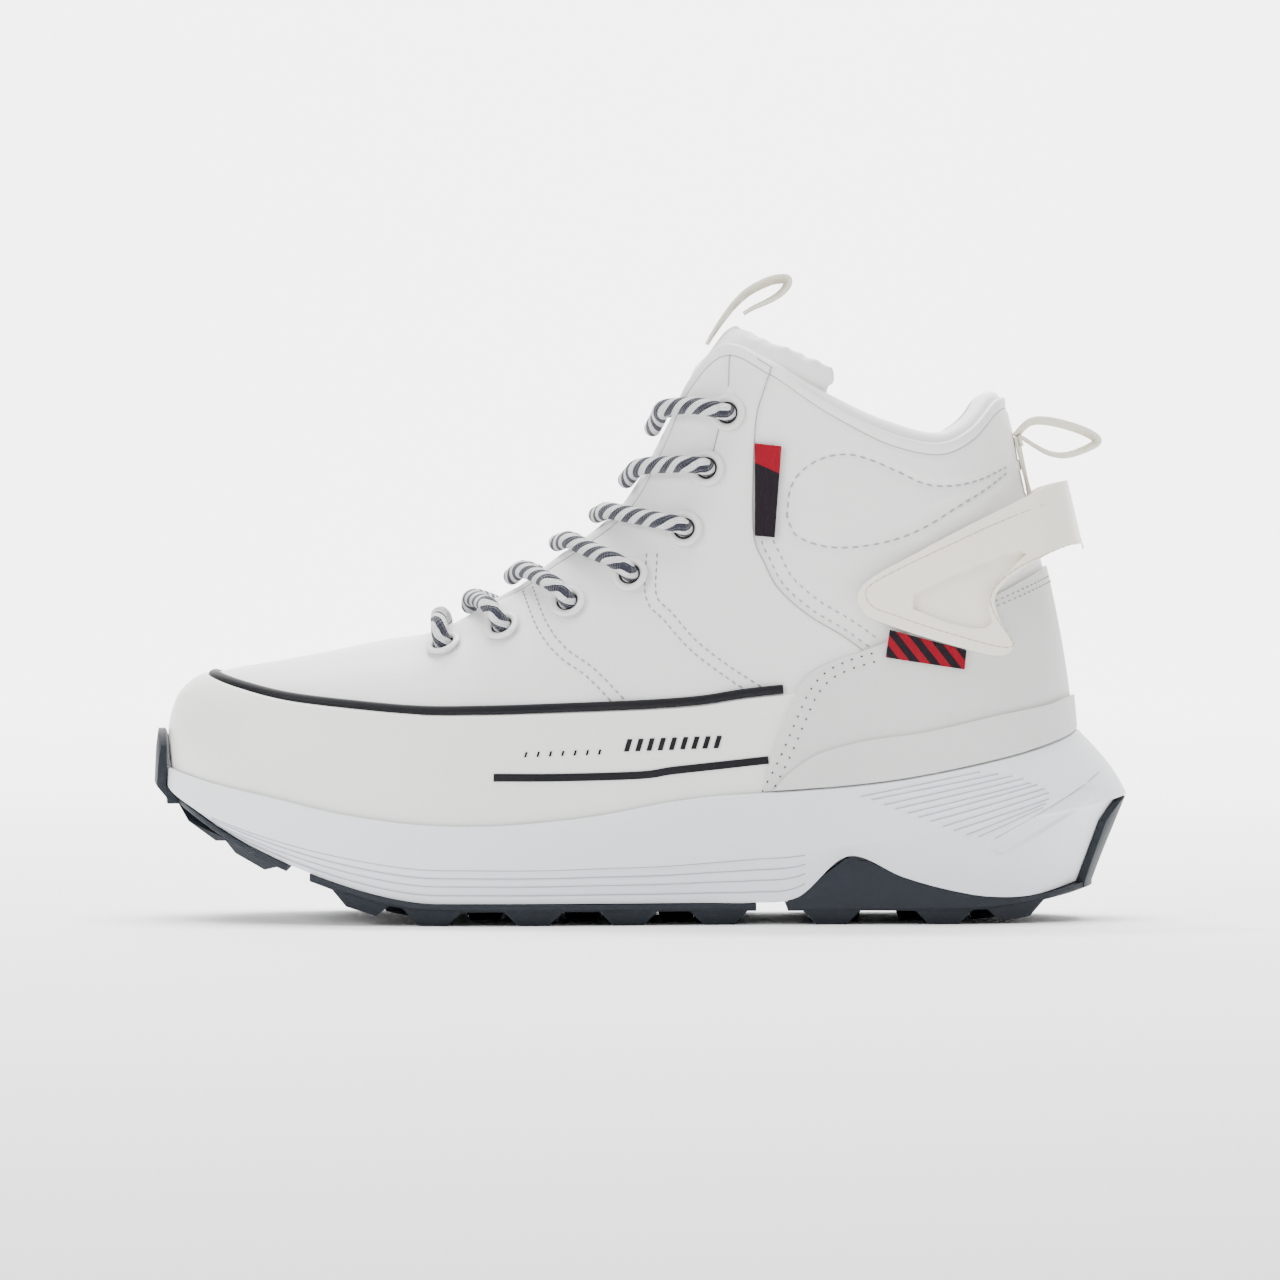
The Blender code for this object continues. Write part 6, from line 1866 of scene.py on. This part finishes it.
def filled(thing, voxel, pressure, cap):
    """The piece rebuilt in cells and blown up; cap gives how far each point may move outwards."""
    cells = thing.modifiers.new("cells", "REMESH")
    cells.mode = "VOXEL"
    cells.voxel_size = voxel
    bpy.context.view_layer.update()
    baked(thing)
    count = len(thing.data.vertices)
    start, normals, ends = np.empty(count * 3), np.empty(count * 3), np.empty(len(thing.data.edges) * 2, int)
    thing.data.vertices.foreach_get("co", start)
    thing.data.vertices.foreach_get("normal", normals)
    thing.data.edges.foreach_get("vertices", ends)
    thing.data.vertices.foreach_set("co", start * SIMULATION_SCALE)
    cloth = thing.modifiers.new("fill", "CLOTH")
    cloth.settings.use_pressure = True
    cloth.settings.uniform_pressure_force = pressure
    cloth.settings.effector_weights.gravity = 0
    cloth.settings.quality = 5
    cloth.settings.tension_stiffness = 12
    cloth.settings.bending_stiffness = 0.4
    scene = bpy.context.scene
    for step in range(1, 21):
        scene.frame_set(step)
    baked(thing)
    scene.frame_set(1)
    end = np.empty(count * 3)
    thing.data.vertices.foreach_get("co", end)
    start, normals, end = start.reshape(-1, 3), normals.reshape(-1, 3), end.reshape(-1, 3) / SIMULATION_SCALE
    swell = np.clip(((end - start) * normals).sum(1), 0, cap(start))
    one, other = ends.reshape(-1, 2).T
    joined = np.bincount(one, minlength=count) + np.bincount(other, minlength=count)
    for _ in range(SWELL_SMOOTHING):
        near = np.bincount(one, swell[other], count) + np.bincount(other, swell[one], count)
        swell = 0.5 * swell + 0.5 * near / np.maximum(joined, 1)
    thing.data.vertices.foreach_set("co", (start + normals * swell[:, None]).ravel())
    print(thing.name, "swelled by mm:", round(float(swell.max()) * 1000, 2))
    return thing


def tongue_cap(points):
    """Little under the laces, more at the top."""
    up = soft((points[:, 2] - 0.93 * SHAFT_HEIGHT) / (0.08 * SHAFT_HEIGHT))
    return LACED_CAP + (TONGUE_CAP - LACED_CAP) * up


def build_tongue(grid, normal):
    columns = grid.shape[1]
    rows = grid.shape[0]
    edge = np.minimum(np.arange(columns), np.arange(columns)[::-1]) / (columns // 2)
    thick = TONGUE_THICKNESS * np.clip(0.35 + 0.75 * np.sqrt(edge), 0, 1)
    top = 1 - 0.35 * np.clip(np.arange(rows) - (rows - 2), 0, 1)
    inner = grid - normal * (thick[None, :] * top[:, None])[..., None]
    tongue = slab("padded_tongue", grid, inner, WHITE_LEATHER)
    smooth = tongue.modifiers.new("smooth", "SUBSURF")
    smooth.levels = smooth.render_levels = 2
    bpy.context.view_layer.update()
    baked(tongue)
    filled(tongue, TONGUE_VOXEL, 5.0, tongue_cap)
    tongue.data.materials.clear()
    tongue.data.materials.append(WHITE_LEATHER)
    smooth = tongue.modifiers.new("smooth", "SUBSURF")
    smooth.levels = smooth.render_levels = 1
    bpy.context.view_layer.update()
    baked(tongue)
    tongue.data.shade_smooth()
    return tongue


TONGUE_GRID = tongue_grid()
TONGUE_NORMAL = grid_normals(TONGUE_GRID)
if TONGUE_NORMAL[4, 6, 2] < 0:
    TONGUE_NORMAL = -TONGUE_NORMAL
place(build_tongue(TONGUE_GRID, TONGUE_NORMAL), "white_upper", "tongue", padded=0.7)

# %% [markdown]
# ## Laces
#
# A round lace with a braided cover of black and white bands. Each strand comes out of an eyelet, crosses the
# tongue's ridge and goes down into the eyelet across. Its path is pushed off everything that it lies on, so
# it rests on the leather without touching it. The bands belong to the lace, so the tube has its own UV map,
# length one way and turn the other, and the pattern winds along it like a thread on a screw.

# %% Banded braid
LACE_PITCH = 5.4 * MM
LACE_STARTS = 3.0  # bands side by side round the lace


def build_lace_finish():
    made = bpy.data.materials.new("banded_braid")
    made.use_nodes = True
    tree = made.node_tree
    shader = tree.nodes["Principled BSDF"]
    place_uv = add_node(tree, "ShaderNodeTexCoord").outputs["UV"]
    parts = add_node(tree, "ShaderNodeSeparateXYZ")
    wire(tree, (place_uv, parts.inputs[0]))
    turned_by = arithmetic(tree, "MULTIPLY", parts.outputs[1], LACE_STARTS)
    share = arithmetic(tree, "FRACT", arithmetic(tree, "ADD", parts.outputs[0], turned_by))
    band_mask = arithmetic(tree, "GREATER_THAN", share, 0.5)
    mixed = add_node(tree, "ShaderNodeMix", data_type="RGBA")
    mixed.inputs["A"].default_value = (0.80, 0.80, 0.82, 1)
    mixed.inputs["B"].default_value = (0.012, 0.014, 0.03, 1)
    wire(tree, (band_mask, mixed.inputs["Factor"]), (mixed.outputs["Result"], shader.inputs["Base Color"]))
    braid = add_node(tree, "ShaderNodeGroup")
    braid.node_tree = WEAVE
    braid.inputs["Threads"].default_value = 10.0
    stretch = add_node(tree, "ShaderNodeMapping")
    stretch.inputs["Scale"].default_value = (0.8, 1.6, 1)
    stretch.inputs["Rotation"].default_value = (0, 0, math.radians(35))
    bump = add_node(tree, "ShaderNodeBump")
    bump.inputs["Distance"].default_value = 0.00035
    wire(
        tree,
        (place_uv, stretch.inputs["Vector"]),
        (stretch.outputs["Vector"], braid.inputs["Vector"]),
        (braid.outputs["Height"], bump.inputs["Height"]),
        (bump.outputs["Normal"], shader.inputs["Normal"]),
    )
    shader.inputs["Roughness"].default_value = 0.75
    shader.inputs["Sheen Weight"].default_value = 0.2
    return made


BRAID = build_lace_finish()
print("braid nodes:", len(BRAID.node_tree.nodes))

# %% Where the laces run
Crossing = namedtuple("Crossing", "edge ridge")  # station on the throat's edge, section of the tongue
CROSSINGS = [
    Crossing(5.90, 0.95),
    Crossing(6.65, 1.95),
    Crossing(7.25, 2.85),
    Crossing(7.75, 3.60),
    Crossing(8.60, 4.30),
    Crossing(9.65, 5.15),
]


def grid_at(grid, t, u):
    """Point of a grid at section number t and share u across."""
    rows, columns = grid.shape[:2]
    r = np.clip(t / (len(TONGUE) - 1) * (rows - 1), 0, rows - 1.001)
    c = np.clip((u + 1) / 2 * (columns - 1), 0, columns - 1.001)
    i, j, f, g = int(r), int(c), r % 1, c % 1
    low = grid[i, j] * (1 - g) + grid[i, j + 1] * g
    high = grid[i + 1, j] * (1 - g) + grid[i + 1, j + 1] * g
    return low * (1 - f) + high * f


def mouth(place, inner, toward):
    """Path of a lace out of an eyelet and over its flange."""
    at, v = on(place, inner)
    centre, normal = upper_point(at, v), upper_normal(at, v)
    ahead = toward - centre
    ahead = ahead - normal * (ahead @ normal)
    ahead /= np.linalg.norm(ahead)
    over = EYELET_SEAT + EYELET_FLANGE + LACE_R + LACE_ROOM
    return [
        centre - normal * 1.0 * MM,
        centre + normal * 1.6 * MM,
        centre + normal * over * 0.95 + ahead * 1.0 * MM,
        centre + normal * (over + 0.6 * MM) + ahead * 4.0 * MM,
    ]


def over_edge(station, clearance):
    at = np.array([station])
    return (upper_point(at, 1.0 + 0 * at) + upper_normal(at, 1.0 + 0 * at) * clearance)[0]


def finer(grid, times=4):
    """A grid with points added between its own."""
    for axis in (0, 1):
        count = grid.shape[axis]
        places = np.linspace(0, count - 1, (count - 1) * times + 1)
        low = np.minimum(places.astype(int), count - 2)
        share = places - low
        share = share[:, None, None] if axis == 0 else share[None, :, None]
        grid = np.take(grid, low, axis) * (1 - share) + np.take(grid, low + 1, axis) * share
    return grid


def lay(path, faces, normals, clearance, fixed):
    """Points of a lace lifted off a surface, apart from the first ones, in the eyelet."""
    path = path.copy()
    for turn in range(12):
        for i in range(fixed, len(path)):
            away = path[i] - faces
            distance = np.linalg.norm(away, axis=1)
            best = int(np.argmin(distance))
            if distance[best] < clearance:
                push = away[best] if distance[best] > WALL / 2 else normals[best]
                path[i] = faces[best] + push / np.linalg.norm(push) * clearance
        if turn < 11:
            path[fixed:-1] = path[fixed:-1] * 0.6 + (path[fixed - 1 : -2] + path[fixed + 1 :]) * 0.2
    return path


def lace_bed(grid, normal):
    """Points and directions of everything that the lace lies on: wall, rim, eyelet flanges and tongue."""
    faces, normals, _ = inside_samples()
    at = np.linspace(0, ROUND, 289)
    full = np.ones(len(at))
    rim, out = upper_point(at, full), upper_normal(at, full)
    up = rim - upper_point(at, full * 0.97)
    up /= np.linalg.norm(up, axis=1, keepdims=True) + 1e-9
    beds = [(faces, normals), (rim - out * WALL / 2 + up * WALL * 0.45, up + out), (rim - out * WALL, up - out)]
    beds.append((finer(grid).reshape(-1, 3), finer(normal).reshape(-1, 3)))
    for inner in (False, True):
        for place in EYELETS:
            at, v = on(place, inner)
            centre, axis = upper_point(at, v), upper_normal(at, v)
            side, other = ring_frame(axis)
            for r in (EYELET_HOLE_R, EYELET_FLANGE_R):
                turn = np.linspace(0, 2 * math.pi, 16, endpoint=False)[:, None]
                flange = centre + r * (np.cos(turn) * side + np.sin(turn) * other)
                beds.append((flange + axis * (EYELET_SEAT + EYELET_FLANGE), np.tile(axis, (16, 1))))
    points = np.concatenate([a for a, _ in beds])
    away = np.concatenate([b for _, b in beds])
    return points, away / np.linalg.norm(away, axis=1, keepdims=True)


# %% Lace tubes


def lace_tube(name, path, radius, sides=18):
    """A tube whose UV map runs with the lace: turns of the pattern along, one turn round."""
    path = np.asarray(path, float)
    tangent = np.gradient(path, axis=0)
    tangent /= np.linalg.norm(tangent, axis=1, keepdims=True)
    reach = np.concatenate([[0], np.cumsum(np.linalg.norm(np.diff(path, axis=0), axis=1))]) / LACE_PITCH
    side = np.cross(tangent[0], (0.31, 0.17, 0.94))
    points = []
    for point, ahead in zip(path, tangent):
        side = side - ahead * (side @ ahead)
        side /= np.linalg.norm(side)
        other = np.cross(ahead, side)
        turn = np.linspace(0, 2 * math.pi, sides, endpoint=False)
        points.append(point + radius * (np.cos(turn)[:, None] * side + np.sin(turn)[:, None] * other))
    faces = [tuple(reversed(f)) for f in quads(len(points), sides, closed=True)]
    mesh = bpy.data.meshes.new(name)
    caps = [tuple(range(sides)), tuple(reversed(range((len(points) - 1) * sides, len(points) * sides)))]
    mesh.from_pydata([tuple(p) for p in np.concatenate(points)], [], faces + caps)
    layer = mesh.uv_layers.new(name="lace")
    for polygon in mesh.polygons:
        rows = [mesh.loops[i].vertex_index for i in polygon.loop_indices]
        turns = [r % sides for r in rows]
        wraps = max(turns) - min(turns) > sides / 2 and len(rows) == 4
        for loop, vertex in zip(polygon.loop_indices, rows):
            turn = vertex % sides + (sides if wraps and vertex % sides == 0 else 0)
            layer.data[loop].uv = (reach[vertex // sides], turn / sides)
    check = bmesh.new()
    check.from_mesh(mesh)
    if check.calc_volume(signed=True) < 0:
        bmesh.ops.reverse_faces(check, faces=check.faces)
        check.to_mesh(mesh)
    check.free()
    mesh.shade_smooth()
    mesh.materials.append(BRAID)
    thing = bpy.data.objects.new(name, mesh)
    bpy.context.scene.collection.objects.link(thing)
    return thing


def build_laces(grid, normal):
    """A bar over the lowest eyelets and, above it, a strand from each pair of eyelets to the tongue's ridge."""
    faces, normals = lace_bed(grid, normal)
    clearance = LACE_R + LACE_ROOM
    for number, eyelet in enumerate(EYELETS):
        if number:
            t, station = CROSSINGS[number - 1].ridge, CROSSINGS[number - 1].edge
            peak = grid_at(grid, t, 0.0) + grid_at(normal, t, 0.0) * clearance
        else:
            peak = upper_point(5.0, 1.0) + np.array([0, 0, clearance])
            station = eyelet.station + 0.35
        ends = []
        for inner in (False, True):
            edge = over_edge(ROUND - station if inner else station, clearance + 0.6 * MM)
            ends.append(mouth(eyelet, inner, edge) + ([edge] if number else []))
        line = smooth_path(ends[0] + [peak] + ends[1][::-1], 33)
        line[:17] = lay(line[:17], faces, normals, clearance, 7)
        line[16:] = lay(line[:15:-1], faces, normals, clearance, 7)[::-1]
        line[16] = (line[15] + line[17]) / 2
        for end, inner in ((0, False), (-1, True)):
            at, v = on(eyelet, inner)
            line[end] = upper_point(at, v) - upper_normal(at, v) * 2.6 * MM
        name = f"lace_crossing_{number}" if number else "lace_bar"
        place(lace_tube("braided_" + name, smooth_path(line, 165), LACE_R), "lace", name)


build_laces(TONGUE_GRID, TONGUE_NORMAL)

# %% [markdown]
# ## Pull loops
#
# Both loops are folded from flat woven tape with thick edges. A path in the side view and a flattened oval
# section make the tape; a small lean turns its face a little towards the eye, as soft tape always does.

# %% Tape paths
TONGUE_LOOP = [
    (0.567, 1.006), (0.574, 1.026), (0.584, 1.051), (0.595, 1.075), (0.608, 1.096), (0.622, 1.110),
    (0.636, 1.119), (0.649, 1.120), (0.649, 1.108), (0.641, 1.093), (0.628, 1.080), (0.615, 1.070),
    (0.605, 1.060),
]
HEEL_LOOP = [
    (0.898, 0.869), (0.915, 0.872), (0.939, 0.863), (0.959, 0.850), (0.968, 0.837), (0.959, 0.825),
    (0.937, 0.812), (0.919, 0.815), (0.903, 0.829),
]


def side_path(table, count):
    flat = [(float(along(a)), 0.0, b * SHAFT_HEIGHT) for a, b in table]
    return smooth_path(flat, count)[:, [0, 2]]


# %% Build the tape loops


def tape(name, path, width, finish, lean=0.0, sides=16):
    """Flat tape with rounded edges along a path in the side view."""
    path = np.asarray(path, float)
    ahead = np.gradient(path, axis=0)
    ahead /= np.linalg.norm(ahead, axis=1, keepdims=True)
    rings = []
    share = np.linspace(0, 1, len(path))
    for (x, z), (dx, dz), t in zip(path, ahead, share):
        turn = lean * math.sin(math.pi * t)
        across = np.array([dz * math.sin(turn), math.cos(turn), -dx * math.sin(turn)])
        out = np.array([dz * math.cos(turn), -math.sin(turn), -dx * math.cos(turn)])
        for angle in np.linspace(0, 2 * math.pi, sides, endpoint=False):
            c, s = math.cos(angle), math.sin(angle)
            wide = math.copysign(abs(c) ** 0.35, c) * width / 2
            deep = math.copysign(abs(s) ** 0.6, s) * WEBBING / 2
            rings.append(np.array([x, 0, z]) + across * wide + out * deep)
    faces = quads(len(path), sides, closed=True)
    faces += [tuple(range(sides)), tuple(range((len(path) - 1) * sides, len(path) * sides))]
    return add(name, rings, faces, finish, smooth=60)


def build_heel_tape():
    heights = np.linspace(0.74, 0.862, 8) * SHAFT_HEIGHT
    v = rib_at_height(np.full(8, float(HEEL)), heights)
    back = upper_point(np.full(8, float(HEEL)), v)[:, [0, 2]]
    strip = back + [GAP + WEBBING / 2 + 0.3 * MM, 0]
    table = [(float(along(a)), b * SHAFT_HEIGHT) for a, b in HEEL_LOOP]
    table = [*strip[::1], *table, strip[-2] + [WEBBING * 0.6, 0], strip[-3] + [WEBBING * 0.6, 0]]
    path = smooth_path([(x, 0, z) for x, z in table], 110)[:, [0, 2]]
    return tape("heel_tape", path, LOOP_WIDTH, CREAM_WEBBING, lean=math.radians(9))


tongue_tape = tape("tongue_tape", side_path(TONGUE_LOOP, 90), LOOP_WIDTH, CREAM_WEBBING, lean=math.radians(10))
place(tongue_tape, "cream", "tongue_loop")
place(build_heel_tape(), "cream", "heel_loop")

# %% [markdown]
# ## Outsole
#
# The three rubber pieces have the right form already in the frame: plates, lugs and the tabs that climb toe
# and heel. Each is copied, its loose triangles are welded, and every edge gets a small round, because rubber
# leaves its mould with soft edges that catch the light. A fine ridge follows the border of the heel's wing.

# %% Soften the rubber


def rubber_copy(name, node_name, width):
    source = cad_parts[node_name]
    mesh = source.data.copy()
    mesh.name = name
    weld = bmesh.new()
    weld.from_mesh(mesh)
    bmesh.ops.remove_doubles(weld, verts=weld.verts, dist=2e-6)
    bmesh.ops.dissolve_limit(weld, angle_limit=math.radians(1.5), verts=weld.verts, edges=weld.edges)
    weld.to_mesh(mesh)
    weld.free()
    mesh.materials.clear()
    mesh.materials.append(RUBBER_FINISH)
    thing = bpy.data.objects.new(name, mesh)
    bpy.context.scene.collection.objects.link(thing)
    return soften(thing, width, segments=3, angle=28)


for label, node_name in (("toe", "outsole_toe"), ("forefoot", "outsole_forefoot"), ("heel", "outsole_heel")):
    place(rubber_copy("rubber_" + label, node_name, 0.55 * MM), "black_rubber", node_name)

# %% Ridge on the heel's wing and painted groove shade on the foam
WING_RIDGE = [(800, 897), (812, 883), (827, 869), (836, 866), (868, 877), (903, 888), (940, 896), (985, 903)]
FOAM_LINES = (0.02, 0.26, 0.50, 0.76)  # from the cup's ridge down to the rubber
FOAM_LINE_ENDS = (photo_xz(215, 0)[0], photo_xz(805, 0)[0])
GROOVE_SHADOW = make_finish(
    "groove_shadow", Finish((0.40, 0.43, 0.48), (0.36, 0.39, 0.44), 0.8, GRAIN, 3000, 0.00002, 0.0, 0.0)
)
foam = bpy.data.objects["foam_midsole"].data
FOAM_SIDES = BVHTree.FromPolygons([v.co for v in foam.vertices], [tuple(p.vertices) for p in foam.polygons])


def on_foam(flat, lift):
    """A line of the side view laid on the midsole, on the outer and on the inner side."""
    lines = []
    for side in (-1, 1):
        hits = [FOAM_SIDES.ray_cast((x, side * 0.2, z), (0, -side, 0)) for x, z in flat]
        hits = [hit for hit in hits if hit[0] is not None]
        lines.append((np.array([hit[0] + hit[1] * lift for hit in hits]), np.array([hit[1] for hit in hits])))
    return lines


def foam_line(share):
    """Side view of a line at a share of the way from the cup's ridge to the rubber."""
    at = np.linspace(0.4, 14.0, 220)
    _, ridge, split, *_ = wall_profile(at)
    height = ridge + (split - ridge) * share
    x = ring(at, wall_out(at, height), height)[:, 0]
    seen = (x > FOAM_LINE_ENDS[0]) & (x < FOAM_LINE_ENDS[1])
    return np.column_stack([x, height])[seen]


# Painted shade: thin blue-grey cords along the midsole's steps, its heel ribs and the bar's top edge stand for the
# shade in those grooves.
groove_shade_lines = [line for share in FOAM_LINES for line in on_foam(foam_line(share), 0.0)]
for start, end in zip(HEEL_RIB_STARTS, HEEL_RIB_ENDS):
    groove_shade_lines += on_foam(line_of([start, end], 30), 0.0)
groove_shade_lines += on_foam(smooth_line(HEEL_BAR, 40), 0.0)
place(edge_cords("foam_groove_shade", groove_shade_lines, 0.2 * MM, GROOVE_SHADOW), "white_foam")
place(edge_cords("wing_ridge", on_foam(smooth_line(WING_RIDGE, 40), 0.15 * MM), 0.4 * MM, RUBBER_FINISH), "black_rubber")

# %% Insole in its own knit
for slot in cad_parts["insole"].material_slots:
    slot.material = LINING_KNIT
print("insole in", LINING_KNIT.name)
